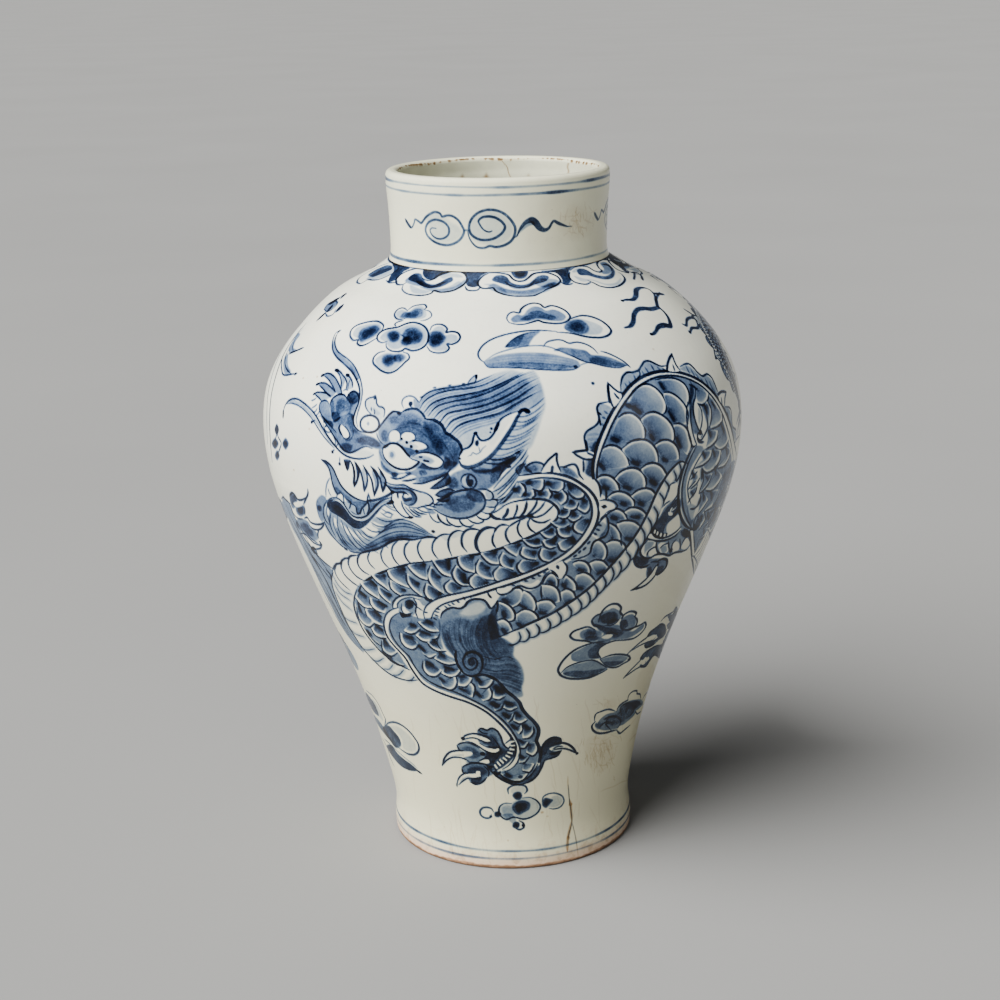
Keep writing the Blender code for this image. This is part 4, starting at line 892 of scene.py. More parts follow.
for t in ("598,524.6 601.6,526", "596,529 600,530.6", "593.6,533 597,535"):
    L(t, 2.6, 0.75)
# membrane of the fin in the bend between the two coils
L("606,537 600,539.4 594.6,541.4 591.6,547 590.4,552.6 585.4,556.4 578,558.6 571.4,559.4", 2.2, 0.95)
F("597,540 592,546 590,552 582,556.6 572,558.6 566,560.6 574,553 584,544 590,536 594,537", 0.22, 2)
for t in ("590,541.6 587.6,544.4", "586,547.6 583,550.4", "581,550.6 578.6,553.4", "585.4,541.6 583,544.8", "577,555 573.4,557.4"):
    L(t, 3.0, 0.8)
C("548,568 556,563.6 563,561.2 567,566 566.4,573 562,578.4 557,578.4 555,573 550,570", 1)
L("550.6,570 555.4,573.6 558.4,578", 2.0, 0.9)
L("563,561.4 567,566.4 566.4,573 562.4,578.6", 2.2, 0.9)
L("557,565.6 558.6,569", 3.0, 0.95)
L("550,571 545,575.4 542,582 539,585.6 533,588.4 527,588.4 520.4,586 515.4,587.6 511,591.4 506,594.2 499.6,594.4 497,591.6 495.6,588.6", 2.4, 0.95)
F("543,575 549,571.6 541,582 536,586 528,587 520,585 512,588 506,592.6 500,592.6 497.4,590 520,580 533,575.6", 0.22, 2)
for t in ("503,587.6 507,588.4", "511,584.6 515,586", "524,580.6 528,581.6", "531.6,578 535,579", "543.4,573.6 546,572", "517,588.6 520,587", "538,575.4 541,576.4"):
    L(t, 2.6, 0.75)
C("498,592.8 506,593 512,588.8 510,586.4 503,588 497,589", 1.2)
C("520,583.6 528,586.4 535,586 540,581.6 538,580 532,583.6 526,583.6 521,582.2", 1.2)
L("487.4,592 489.6,596.4 491.4,598", 2.2, 0.9)
# lower edge of the coil and the belly plates outside it
L("500,637 510,632.4 520,628.4 530,623.4 540,619 550,614.6 562,607.6 575,599 590,587.6 605,572.6 620,555.6 632,540.6 640.4,527.6 648,512.6 655,496.6 661.4,484.4 668,474 675,466 681,461.6 687.6,463.4", 3.4, 1.0)
plates = ("519,632.6 520.6,637.6 518.6,642 514,644.8 509.4,645", "526.4,629 529.4,633.6 529,638 525.4,641.4 520,641.8", "536.4,624.4 539.4,629 538.8,633.6 535,636.8 529.6,637.8", "547.4,619 550.4,623.8 549.6,628.8 545.6,631.8 539.4,633.2",
          "557.6,612.4 561,617.4 560.4,622.8 556.4,626.2 550.4,628.6", "568,605.8 571.4,611 570.8,616.4 566.6,620 561,622.4", "578,598.6 581.4,604 580.8,609.6 576.6,613.6 571.2,616.4", "587,591.6 590,597 589.6,602.6 586,607 581,609.8",
          "594.6,584.6 597.6,589.8 597.2,595.4 594,599.6 589.8,602.8", "603.4,576.8 606,582.4 604.6,588 600.6,592.6 597,595.6", "612,567.4 614,573.4 612,580 607.6,585.6 604,588.8", "619.6,562 621.6,568.2 619,575 614.4,580", "627,552.4 630.4,557.4 629,563.8 625,569.2 620.6,572.6",
          "635.4,540.2 638.4,545.8 637.6,552 634.4,557.6 630.4,560.8", "641.6,528 644.8,534.2 644.4,541.4 641,548.2 637.6,551.6", "648,518 651.4,524 651.4,530.4 648.6,536.4 645,541.4", "654,507 657.6,513.4 657,520.4 653.6,527 651,531", "660,493.4 663.6,499 663.2,506.4 660.2,513.4 657,518.4",
          "665.4,481 669.2,487 668.4,493.6 664.4,500.4", "674,471 676.4,477.4 673.6,484.4 669.8,491", "679.6,463 681.2,470.4 678.8,478 675.2,483.4")
for t in plates:
    B.line(P(t), 6.0, 0.21, (0.8, 0.8), soft=3.2)
    L(t, 2.2, 0.88, (0.7, 0.5))

# ---- its back edge, the arch, and the spiny fin above
C("594.4,477 595.4,465 598.6,451 604,437 610.6,422.6 619,407.6 628.4,394 639.4,382.4 653,375.4 668,373 682,375 696,380 708,389.6 717,401 724,415 729,430 732.6,446 734.6,460 736,460 735,446 731.6,430 726,413 718.4,399.6 708.6,388 696,378 682,372.6 668,371 652,372.6 637,380.6 626,391.6 616,405.6 607.4,421 600.6,436 595.6,451 592.6,466 592,477", 0.8)
L("593.4,478 593,468 595,455 599,441 605,426.4 612.4,411.4 621.4,397 631.6,384.6 644.6,375.8 659,371.6 674,371.4 688.6,375 700.6,381 711.4,390.4 719.8,401.4 726.6,414.4 731.4,428.8 734.4,442.6 736.4,455 735.6,463", 3.6, 1.05, (0.9, 0.3))
L("597,478 597.4,466 601.2,451.4 606.6,437.4 613.4,421.8 621,408.4 629.2,396.8 639,386.4 650.4,379.4 662,376 675,375.6 688.4,378.8 699.4,384.4 708.6,392.4 716.8,403 723,415.4 727.8,430 731,443 733,455 733.4,463", 2.4, 1.0, (0.8, 0.3))
F("594,477 593.4,466 596,452 600,438 606,424 613,410 604,404 599,405 597.6,410 600,418 597,424.6 590,429.6 586.4,434 585.4,441 587,450 592,452 586,460 584,472", 0.30, 2)
F("592,477 592.6,464 595.6,451 599.6,438 596,440 590,452 588,464 586,474", 0.62, 3)
F("622,394 632,383 644,375 657,371 666,370.6 660,366.6 651,362.6 645,362.6 641,368.6 634,372.6 627,374 622.6,380 621.6,388", 0.32, 2.5)
F("680,369 692,374 703,381 713,391 719,400 716,389 711,379 707,376 702,377 695,371 688,365.6 682,367", 0.32, 2.5)
F("723,406 729,409 731.6,418 732.4,427 735.6,432 736,442 731,428 727,416", 0.3, 2)
for t, w in (("583.4,472 583.6,466 583.2,460", 2.2), ("586,450 585,443 584.4,437 586.4,432 590.6,428.8 595.4,425.8 598.6,421.6 599,417 597.6,412 597.2,407.4 599.2,404 604,402.6 609,401.6", 2.4),
             ("621,391 621,383.4 623,376.4 627,372.4 633,372 638.6,370 641.6,365.6 644.6,361.4 649,360.8 655,363.4 661.4,366 667,365.4", 2.6), ("680,366.6 684,364.4 688.4,363.6 693,367 698,372.6 702.8,376 707,374 711,376.6 714.4,383 717,389.6 718.4,393.4", 2.4),
             ("725,406.6 729.6,407.6 731.6,413 732,421 733,427 736,430 736,436", 2.0), ("639.6,370 640,375 637,379", 1.8), ("597.6,412 601.6,415", 2.0), ("599.6,418 600.6,426", 2.0), ("585.6,440 586.6,446 587.6,452", 3.0)):
    L(t, w, 0.95)
for t in ("604,411 608,413.6", "602,417 605.6,418.6", "600,424 604,425", "589,446.6 592,447.6", "629,381 632,387", "634,374.6 636,381", "625,383 629,390", "645,367 649,373", "651,364.6 655,371.4", "642,370.6 645,376.4", "657,366.4 661,370.4", "662,368 666,370.4",
          "686,366 690,374", "690.6,368.6 695.4,377", "695.6,373.6 700.4,380.6", "700.6,378 704.6,383.8", "705,378 709.4,388", "709.6,381.4 713.4,391.6", "713,388 717,397", "727,411.6 729.4,420", "730,420 732.4,430"):
    L(t, 2.6, 0.55)
for t in ("588,435 599,434", "588,439.6 598.4,438.4", "587.6,444.4 596.6,443"):
    L(t, 3.4, 0.35)
for a, b, c, inner in (("587,450.4 580,451 572.6,452.4", "572.6,452.4 578,456 585,459.2 593.4,459.6", "587,451 575,452.8 584,457.6 592,458 594,453", "587,452.6 591,454.4 594.6,456"),
                       ("609.6,402 608.4,392 608,382.6", "608,382.6 613,387.6 618.6,391.8 624,393.4", "610.6,403 609.4,387 617,393.4 622,395.4 614.6,406.6", "614.4,393 617,396.6 619.4,398.6"),
                       ("667,371 668,362.6 670,357.4 672.2,353.6", "672.2,353.6 674,359.6 676.4,365 680.4,370.4", "668.4,370.4 669.4,363 672,357 675,366 679,371", "673,364.6 675,371"),
                       ("718,394.6 721.4,391.8 726.4,391.8", "726.4,391.8 725,398 724.6,405.6", "719,396 725,393.4 724,405 719.6,400.6", "721.4,397.6 722.2,404")):
    C(c, 0.8)
    L(a, 3.0, 1.0, (0.8, 0.5))
    L(b, 2.2, 0.98)
    L(inner, 2.2, 0.85)
L("739.4,435.4 735.4,441.6 734.6,447.6", 2.0, 0.85)
L("608.4,384 609,394 611.4,403 613.6,407.6", 2.4, 0.9)

# ---- under the arch: the body turns away and comes down at the right
F("689,379 697,384 706,392 714,403 720.6,415 725.6,430 729,444 731.6,458 731,470 727,490 720,515 712,535 704,550 697,562 694,556 692,530 697,520 700,500 702,480 703,462 706,450 708,435 706,420 700,404 695,390", 0.46, 2.5)
F("691,384 696,387.6 695.4,396 693.6,408 695,420 699,431 695,434 690.4,424 689,410 690,396", 0.44, 2)
F("690,400 694,402 694.4,414 697,425 701,433 697,436 692,428 689.6,414", 0.14, 2)
C("697,404 701.6,407 702.4,416 701,425 699.6,429 697,421 695.6,411", 1)
F("698.6,408 700.6,412 700.4,420 699,424", 0.18, 2)
L("689.6,384.6 695.6,388 695.6,396 693.4,404 693.8,414 696.4,424 700,432", 2.6, 0.85, (0.8, 0.6))
for t, w in (("687.6,402 686.6,414 687.6,428 690,439.6 693.4,446.8 696.8,444.6", 2.2), ("691.4,402 690.6,414 691.8,428 694.6,439 696.8,444.6", 2.0), ("697.4,403 701,409 702.2,417 701.6,425 699.8,431", 2.0),
             ("706,412 707.4,420 707.4,428 704,436 700.6,440.4 698,438.4 697.6,434.6 700,432.4 702.4,434.4 701,437.6", 2.2), ("697,438.4 699.4,442 704,442", 2.6)):
    L(t, w, 0.95)
dot(700.4, 432.4, 5.4, 1.0)
for rim, blob, r in (("709,394 707.6,400.4 703,405 698,403.8", "697,389", 1.6), ("707.4,401 711,408.6 711.4,418 709.4,427.4", "704.6,406 707,412.6", 3.4), ("722,414.6 722.4,421 717.4,426.6 710.8,429", "712,402 715,407.4", 3.0),
                     ("718.4,431 716.6,440 711.4,446 705.6,449.4", "709,431 710.6,436", 3.6), ("728.6,440.6 725.4,447 719.4,450.2 714.6,446.4", "722,426 724,431.6", 3.0), ("712.4,450.4 710.6,457.6 704,464.6 695,468.4", "703,452.6 705,457", 3.6),
                     ("721.4,450.6 719.4,461 713.4,469.6 706.4,473 702,468.6", "713,450 714.6,455.6", 3.0), ("730.6,448.6 728.6,459.6 723.6,466.6 718,468.4", "726,447 727,455", 2.4), ("700,478 696.6,484 690.6,489", "692.6,472 694,477", 2.6),
                     ("703,470.6 703.6,480 700.4,489 699,493.4", "702,470 702,478", 2.8), ("713,473.4 709,483 703,490.6 699.4,493.6", "706,476 708,480", 1.6), ("722.4,476.6 717,485.6 711,491 705.6,490.6", "715,468 716,474", 2.6),
                     ("697.6,484.6 695.4,492 690.6,498.4 688,503", "691,492 693,495", 2.2), ("700.6,494 700,502 694.6,508.6 690.6,509", "700,499 698,505", 2.0), ("708,500.6 702.6,509 696,517", "703,492 704,500", 2.0),
                     ("720.4,489.6 717,499.4 711.4,507.6 704.4,512", "711,492 712,499", 2.8), ("704.4,511.4 705.4,519 701,527 699,530", "701,516 701.4,521", 2.6), ("716.6,507 713,515.4 708,523 703,529.4", "708,513 709,519", 2.6),
                     ("721.6,504 718.6,514 714,523 709,528", "715,508 715,514", 2.0), ("710,527.6 705,536 699.6,540", "704,530 704,534", 2.2), ("716,522 712,532 706.6,539", "710,526 710,531", 2.0)):
    S(rim, blob, r, wash=0.36)
for t, w in (("704.8,449.6 700,457 695,466 690.6,476 688,486 688.4,496 691,504", 1.8), ("690.6,480 694,476 697.6,471.4", 2.0), ("688,490 691.6,485.6 696,481", 1.8), ("699,541 697,549 699,556", 1.8), ("708,536 702,545 697,553", 1.8),
             ("709,544 703,553 698,560", 1.6), ("711.6,531.6 709,536 703.6,543.4", 1.6), ("723.6,494 720.6,504", 1.6), ("727.6,476 724.6,486 720.6,497", 1.6), ("731,466 727.6,478 723.6,488", 1.4)):
    L(t, w, 0.9)
for t in ("716,470 719,464", "724.6,468 728,460", "722,480 726,470", "708,512 706.6,520", "717,508 719.6,503", "711,524 713,520", "700,548 705,541"):
    L(t, 3.0, 0.75)
# back edge that comes down from under the arch, and its membrane
F("696.6,446 703,447 698,456 692,466 687.6,478 686,492 688,508 692,520 697.6,514 700,522 697,528 692,530 686,525 681.6,514 680.4,498 682,480 686,466 691,454", 0.38, 2)
C("693.6,448 689,458 685,469 682,481.6 680.6,495 681.4,508 685,520 690.6,528.4 688,528.4 682,520.4 679,508.4 678.4,495 680,480.6 683.4,468 688,456 691.6,448.4", 0.8)
for t, w in (("693.6,446.6 688.4,456.6 683.8,468 680.4,480.6 678.6,494 678.8,507 681.6,518.6 686.4,526 691.4,529.4", 3.8), ("696.8,446 691.4,456.4 686.8,468 683.4,481 682,495 683.4,509 687.4,520 692,528.6", 2.2),
             ("697,516 694,522.6 695,527 699,525.4 700.4,520.4", 2.2), ("690,529.6 696,529.4 699,526", 2.6)):
    L(t, w, 1.0)
F("688,505 692,504 696,507 694,514 693,522 691,526 688,518 686.6,511", 0.2, 2)
# the same edge below the joint, down to the side of the jar
C("690.6,531 693.6,531 694.4,545 695.6,560 696,572 693.6,572 692,556 691,543", 0.8)
L("690,530 691,543 692,556 693.6,568 694.4,575", 2.8, 1.0)
L("693.6,531 694.4,543 695.4,556 696,568 695,575", 1.8, 0.95)

# ---- the hind leg, with a single long claw
F("680.4,499 680.6,512 684,521 688,528 690,532 690.6,545 687,549 680,551.6 671,554.6 660,555 650,556.6 648,563 641,566 635.6,562 634.6,555 638,548 644,542 648,536 652,528 658,518 663,508 668,502 675,499", 0.40, 2)
C("671.6,484 676,481 677.6,488 676.6,496 670,502.6 664.4,508 661.4,514 658.4,518.4 661,510 665.4,500.4 669.4,491", 1.2)
C("668,524 675,517.4 678.6,514.6 680,521 680,526.6 676,531 669,534.6 666.6,531", 1.2)
F("653,531 656.6,523.6 662,515 667,507.4 672,503 676.6,499.6 679.6,500 680.4,509 676,515.6 668.6,522.6 664.6,529 663,534 657,535.6", 0.44, 2)
C("672,511 675,509 677,506 674,508.6 671.6,507 670,512", 0.8)
C("668.4,512 672.4,512.6 672.6,515 669,515.6", 1)
for t, w in (("672,502.6 677.6,494.6 678.4,486", 2.0), ("663.4,506.4 666,503.4 670,501", 1.8), ("677.4,498 673,505 668,512", 1.4), ("679,497 676,504 671.6,510.4", 1.8), ("680.4,506 677,511 673,517", 3.0), ("676.6,482 671,484.4 666,496 662,508", 1.6)):
    L(t, w, 0.85)
F("651.6,530.4 655,528 660,533 668,533.6 666,536.6 657.6,537.6 652.6,535", 0.95, 1.2)
for x, y in ((654.6, 531.6), (657.2, 533.4), (660.6, 535), (664.4, 535.6), (668, 535)):
    C("%g,%g %g,%g %g,%g %g,%g" % (x - 0.8, y + 1.8, x + 0.4, y - 2.2, x + 1.6, y - 1.6, x + 0.6, y + 2.2), 0.7)
C("648,537.6 651,533.6 655,537.6 661,539.2 668,537.8 676,533 681,528 681.4,530 676.4,535 668.4,539.6 660,541 652,539.8", 0.8)
for t, w in (("646.6,538.4 652,540.4 660,541.2 668,539.6 675.4,535.8 681,530", 2.6), ("651.6,532.4 655.4,536.6 661.4,538.2 668.4,536.8 675.6,532.4 681.4,526.6", 2.4), ("646.6,538.4 649.6,533.6 652.4,528.6", 1.8)):
    L(t, w, 1.0)
C("643,556.6 640.8,551 644,545.6 647.6,541 655,541.6 657,546 651.6,549.6 648,553.4 647.4,557", 1)
F("646,543 654,542.4 652,547 646.4,551.6 645,554", 0.3, 2)
C("649,556 649.4,551.6 655,548 657.4,552.6 654,555", 1)
C("659.6,550.6 658.4,545 662,542.6 668,543.6 668.6,550.6 665,554 660.6,553.6", 1)
F("661,548 666,546 667,551 663,553", 0.3, 2)
C("672.4,551.6 672,545.6 676.6,541.4 679.4,543.6 679,549.6 674,552.4", 1)
C("681.6,548.6 683,543.6 687,538 689.6,541 689,546 684,549.6", 1)
for t, w in (("647.6,541 643,546 640.4,551.6 642,556.4 646.4,558.4 651.4,557.6 656.4,554.8 663.4,554.2 669.6,555.6 675,552.8 682,551.6 687,549.6 689.6,546", 2.6), ("657,541.4 656.4,546.6 658,552 661,553.6", 2.2), ("657.4,546 652,548.8 648,552.6 647,557", 2.2),
             ("668.6,541.6 669,547 670.6,554", 2.2), ("660,548.6 664,545 669,543.4", 1.8), ("676.4,539.6 672.6,544.4 671.8,549.6", 2.0), ("680,538.6 680.4,543.6 680.6,550", 2.0), ("689,534.6 685,539 681.8,544.6", 2.2), ("672,552 671,548.6", 4.0)):
    L(t, w, 0.95)
F("681,531 688,530 690,536 686,538 682,536", 0.75, 1.6)
L("684,529 689,533 690,541", 3.0, 0.95)
F("636,556 641,557.4 650,559 658,558.6 667,559.4 666.4,566 662,571.6 657,574.6 653.6,571 650.4,576 647,577.6 647.6,569 643,566.6 637,564.4 634.6,560", 0.52, 1.6)
F("647.4,568 651,567 652,572 649.6,577 646.8,577.4", 0.6, 1.4)
F("657,568 664,566 661,572 656.6,574.6", 0.35, 1.6)
C("657.6,566.4 655,573.6 649.4,580 642.4,585 637,587.8 643,582 649,576 654,569.4", 0.8)
for t, w in (("635.6,555.6 634.4,560.4 636.4,565.2 641.4,567.4 646.4,566.4 649.6,564.6", 3.0), ("659,560.4 663.4,559 667,560 666.8,565.6 663,571 657.4,574.6 655.6,573", 3.0), ("656,566 652,572.4 647,578.4 641,583.8 635.6,588 630.8,590.4", 2.6),
             ("656.6,573.6 652,579.6 646,585 639.6,588 630.8,590.6", 2.8)):
    L(t, w, 1.0, (0.6, 0.3))
dot(658, 565, 3.4, 1.0)
L("651,562.6 655,561.6 660,562.4", 2.4, 0.7)

# ---- the last coil on the left: belly plates down to the foreleg
L("356.6,590 354.2,598 354,606 356,614.4 359.4,622.6 363.4,630.4 368.4,637.6 374.4,645 381.4,652.4 389.4,659 397.4,664 405.4,668 413,671.4", 3.0, 1.0)
L("333,572 331.6,578.6 332.4,586 335,594.4 339.4,605.6 344.4,617.4 350.4,629.2 356.6,639.4 363.6,649.4 372.4,659.2 381.6,668 390.6,674.6 400,678.8 410,680.8 418,680", 2.6, 0.95)
for t in ("333,576 338,585 345,592 351.6,594.6", "334,583.6 340,593.4 350,600.6", "336,592.6 342,602 351.6,610.6", "341.6,613.4 347.6,619.8 356.4,623.2", "351,629.6 355.6,634.2 364,637", "360,646.4 366,650 374.6,649", "372,659.2 377.4,661.4 383.8,658.2",
          "384,669 389,669.2 393.2,664.4", "392,675 398.4,675 403.6,670", "408,681 412,679.4 415.6,674.6"):
    B.line(P(t), 7.0, 0.14, (0.8, 0.8), soft=4.5)
    L(t, 1.6, 0.72)
# long hair that flies back along the flank, seen edge-on at the left
F("283,498 289,503 295,518 301,532 309,545 318,556 328,566 333,572 331.6,580 334,592 340,606 347,622 356,638 364,652 356,646 346,634 338,620 330,604 322,588 314,571 306,555 299,541 292,528 286,514 282,504", 0.42, 2)
for t, w in (("283,497.4 288.6,502.6 292,510", 2.4), ("282,503 287.6,515 293.6,527 300.4,541 307.6,555 314.6,570 322.4,587 330.4,603 338.4,618 346.6,632 355,644 363.4,653", 1.8),
             ("286,505 291,517 297.6,530 305,543.6 312.6,556.6 320,569.6 327,583 333.6,597.4 341,612.4 348.6,627.4 357.6,641.4", 2.6), ("289,504.6 294.6,517.4 301.6,530.4 308.6,543 316,554.6 323.6,565 330.6,575", 1.8),
             ("300.6,533.4 306.4,541.6 313.4,550.4 320.6,558.8 328,565.4 334,569.6", 2.6), ("303.4,543 311,555.6 318.4,567.4 325.4,579.4 331,590.6 336.6,602.4", 3.0), ("309,551 316,561 323.6,570.6 330.4,579", 2.8),
             ("284,508 289,519.4 295.6,532 302.6,545.4 309.6,559 316.6,573 323.6,587.4 331,602 339,617.4 347.6,631.6 357,643.6", 1.6), ("313.6,566 320.6,578.4 327.6,591.4 334.6,605 342.6,620.6 351.4,635", 2.2),
             ("325.6,569.4 330,574.6 332,582", 3.2), ("318.6,584 324.4,595.4 331,608 338.6,621.6 347.4,635", 2.0), ("327,594 332.4,602.6 338,613 344.4,625", 2.6)):
    L(t, w, 0.9)
# claws raised at the left
F("290,494 293.4,492.6 297,498 296.4,505 293,508.6 290,502", 0.8, 1.4)
F("296,505.6 301,504 304.4,508.4 304,514.4 300.4,516.4 296.4,513", 0.85, 1.6)
C("293.4,503 298,501.6 303.6,502 302,505.6 296.4,507.4", 1)
F("296.4,520.4 302,519 308,522 311,528 316.6,533 317.6,539.4 313,541 306,536.6 300,530 296.4,526", 0.62, 1.6)
C("309.4,526 313.4,528.4 319,528.6 322.4,525 314,524.8", 0.8)
for t, w in (("307.6,489 307.8,494 305.8,499 303.4,504.4", 2.6), ("290.4,501 289.8,495 292.4,492.8 295,496 298.4,499.8 302,499.8 305.6,497.6", 2.6), ("303.6,504.6 304.8,509.6 304.6,515.4", 1.6), ("281,499 283.4,497 286,500.6 290,503.6", 2.0),
             ("291.4,509.4 294,514.6 298,518.6 302.6,519", 2.0), ("304,518.4 307,517.6 309.6,521.6 313,523.8 320.4,524.4 323.6,522.4", 2.6), ("309,525 313,529 318.6,529.8 322.6,526.6 324,522.6", 2.2), ("300,533.6 304.6,534 308.6,538.2 313.6,543 319.4,545.2 321.6,544.6", 2.4),
             ("304.4,531 309,536.4 314,541 317.4,543", 1.8), ("321.8,545.6 319.6,548.6 314,549 308.8,545.4", 2.2), ("310.4,547.4 313.6,547.2 316,550.6 317,554.4 313.4,552.6 310.6,549", 1.8), ("318.6,530 317.6,534.6 318.4,538.6", 2.0)):
    L(t, w, 0.95)
L("319,541.4 321.8,545", 3.4, 1.1)
F("310.4,547.6 313.6,547.4 316.8,553.6 312,551.4", 0.6, 1)

# ---- scales of the foreleg, behind and under the tuft
start = leg_from = len(B.log)
F("402,613 412,616 424,619 438,617 441,640 446,654 456,660 460,672 478,676 494,679 504,689 514,697 520,706 528,716 537.6,727 537.4,738 539.6,750 536,765 530,775 520,781 508,779 501,772 512,768 519.4,757 519,747 512,736 500,722 485,710 466,700 440,691 425,682 414,667 404,654 394,644 388,628 393,616", 0.5, 2)
for rim, blob, r in (("403.6,631.4 410,634.2 416,633 420,629", "411,624.4 415,626", 3.8), ("399.6,633 400.6,641 406,647.6 413.4,649.6 419,645.4", "407,636.6 412,638", 4.2), ("417.6,622.4 424,628.8 431,632.2 439,632.2", "427,621 431.4,623", 4.0),
                     ("415.6,636 422,641.2 430,642 438.4,637.4", "421,631.6 429,634.4", 3.2), ("427,642.6 431.4,648 438.4,651.6 446,651.4", "433,640 436,643", 3.4), ("424,655 430,658.4 437.4,655", "419,646 424,650.6", 3.8),
                     ("434,659 442,663.4 450,665.2 456.6,663.8", "440,653.4 444,656", 2.8), ("423,661 422.8,668.4 428,675.2 436,676.6 442.4,671", "428,662.6 432.6,665.4", 4.4), ("441.6,674 450,677.4 457,676 461.4,670.6", "445,667 453,669.4", 3.2),
                     ("443,687 450,690.2 455,688 457.4,682 456,677", "440,678.4 444,681", 3.2), ("458.6,686.4 465,687.2 470,684 472.4,679", "460,677 464,676", 2.4), ("473,697.4 475.2,691 474,685 471,683", "459.6,688.4 464,690.4", 2.6),
                     ("480,688.2 487,688.2 492,684 494.4,679", "476.6,678 480,681.6", 3.8), ("484,701.4 490,699.4 492.4,694 490,688", "476.4,692.6 479.6,696", 3.8), ("493,698.6 499,700 505.4,696.4", "496,687 502,692", 6.0),
                     ("495.6,711.4 501,709.4 503.4,704", "492,703 497,706", 5.4), ("503.6,708.4 510,711.2 517.4,708", "506,702.6 512,704.6", 4.8), ("508.6,722.6 513,718.4 514.4,713", "504,714 508,717", 4.6), ("513.6,721.4 520,724.2 527.4,720.4", "516,713 520,716", 3.2),
                     ("519.6,734.4 523.2,730 522.4,725", "512,725.4 516,728.6", 3.6), ("523,739 529,738.2 534,732.4 533.4,727", "525,725.6 529,729", 3.6), ("519.6,748.4 525,748.2 529,742.4", "519,740 523,742.4", 2.4), ("526.6,753.4 533,756.2 538,750.4 537,742.4", "529,745", 1.4),
                     ("519.6,763.4 525,762.4 529.2,757", "520,755.6 523.4,758", 3.2), ("523,771.4 530,772.2 535,764.4", "524,764", 1.4), ("501,775 507,780.4 515,782.2 523,780.4 528.4,774", "506.6,773.6 510,776", 2.8)):
    S(rim, blob, r, wash=0.50, deep=0.95)
dot(520.6, 777, 5, 0.7)
L("488,676.4 495,679 500.4,684.2 506.4,691.2 513.4,696.6 519.4,702.4 522.4,709.2 527.4,715.4 533.6,721.4 538.4,728.4 538.4,735 536.6,741 539.4,748 540.4,755 539,762", 4.2, 1.0, (0.5, 0.8))
for t, w in (("412,600.6 416.4,606.4 422.6,611", 1.8), ("424,598 430,601 431.6,599.4", 3.6), ("412.6,597 416.4,604 415.6,612 418,619", 1.8), ("440,633 437,643 441,650", 1.6), ("456,651 455.6,658 459,667 464,674", 3.0)):
    L(t, w, 0.9)
# curl at the shoulder
F("392.6,608 394,602 399,598 408,596.4 414,599 416,606 414.6,614 408,617.6 402,615.6 397,610", 0.38, 2)
C("393.6,607.4 394.6,602 399,598.2 405.4,596.6 413,596.6 421,598.4 413,598.8 405.4,599.2 400.4,602.2 398,606.4 397.6,611", 0.8)
C("402.6,606.4 401.6,611 405,613.6 409.6,612.6 406.4,610 404.6,607.4", 0.8)
for t, w in (("392.4,608.6 393.2,602.4 397.2,597.8 404,595.4 412,595 420.6,596.6 429,598.6", 2.2), ("397.6,609 397.4,604.6 400,601 405,598.4 412,597.8 418.6,599.6", 1.8), ("401.6,604 401.4,609 403.6,613.4 408.6,615.4 412.4,612.6", 1.8), ("403.4,613.6 407,615.8 410.6,613.6", 3.4)):
    L(t, w, 0.9)
F("405,602 409,599.6 413,602 413,607 409,609.4 405.4,607", 0.95, 1.6)
F("399.4,612 403.4,614 406,617 402,617.6", 0.85, 1.4)
# back edge of the foreleg down to the foot
C("399,610 392.6,613.4 388,618 386.4,624 387.8,632 392.4,640.8 399,648.4 406,655.4 411.6,664.6 417.4,673.8 425,681.4 436,687.6 450,693 465,698.4 478,704.6 490,712 500,720.4 508.4,729.4 514.8,739 518,748 517.6,757 513,765 505.4,770.4 503.8,768.8 511,763.6 515.2,756 515.4,748 512,740.4 505.6,731.4 497.4,722.6 487.4,714.4 475.4,707 462,701 447,695.8 432,690 421.6,683.8 413.6,675.6 407.6,666 402.4,657.4 395.6,650.4 388.8,642.6 384.4,633.4 383,624 385,615.6 391,610.4 397.6,607.6", 0.9)
L("397.6,607.8 391,610.2 386,614.8 383.8,621.6 384.6,630 388.2,638.4 394.2,646 400.2,652.4 406,659.2 411,668 416.8,676.6 422.8,683.6 431,688.8 441,693.4 454,698 466,701.8 476.4,706.4 486.6,712.4 496.6,720.6 505.4,729.6 511.8,738 515,745 515.8,752 513.8,759 508.8,765.4 502.6,769.4", 3.0, 1.0)
L("400,612.6 395.4,614.8 391,619 389.4,626 391.2,634 396,642.6 402.8,650.4 409,656.4 412.8,663.4 418.6,672 426.6,679.6 438,686 451.4,690.8 463.4,695.8 473.6,700.8 483.6,705.8 493.8,713 503.6,721.2 511.4,730.4 517,740 520,749 519.6,757 516,764.4 510,769.6 504.6,772", 2.2, 0.95)

# ---- the pale skin above the tuft, and the tuft itself, a sheaf of hair with a curl
for t in ("447.6,604.6 451,606", "451.6,603.4 454.6,604.6", "457,601.4 459.4,602.6", "444.4,606.4 447,607.8", "436,608.8 440,609.6", "434.6,611.8 439,612.4", "434,614.6 438.6,616.4", "433.4,618 436.6,620", "424.4,612.4 427.6,612.6", "463,597 465,600.4", "470,596 471,598"):
    L(t, 2.2, 0.85)
start = len(B.log)
F("440,617 446,610 453,608 463,607.6 468,602 475,599 484,600 488,605 491.4,609 495.4,606 497,614 498,625 500,636.4 507,640 514,647 513.4,655 519,662 523,670 524,680 521.6,687 523,695.6 519,697.6 510,694 503,688.4 497,680.4 488,676.6 480,675 470,676.4 462,672 458,663 452,655 446,648 441,636", 0.42, 3)
F("440,630 446,622 458,618 472,620 484,616 494,616 498,628 503,640 512,646 513,656 520,668 523,682 519,694 508,690 500,680 488,675 474,676 462,670 456,658 446,648", 0.22, 5)
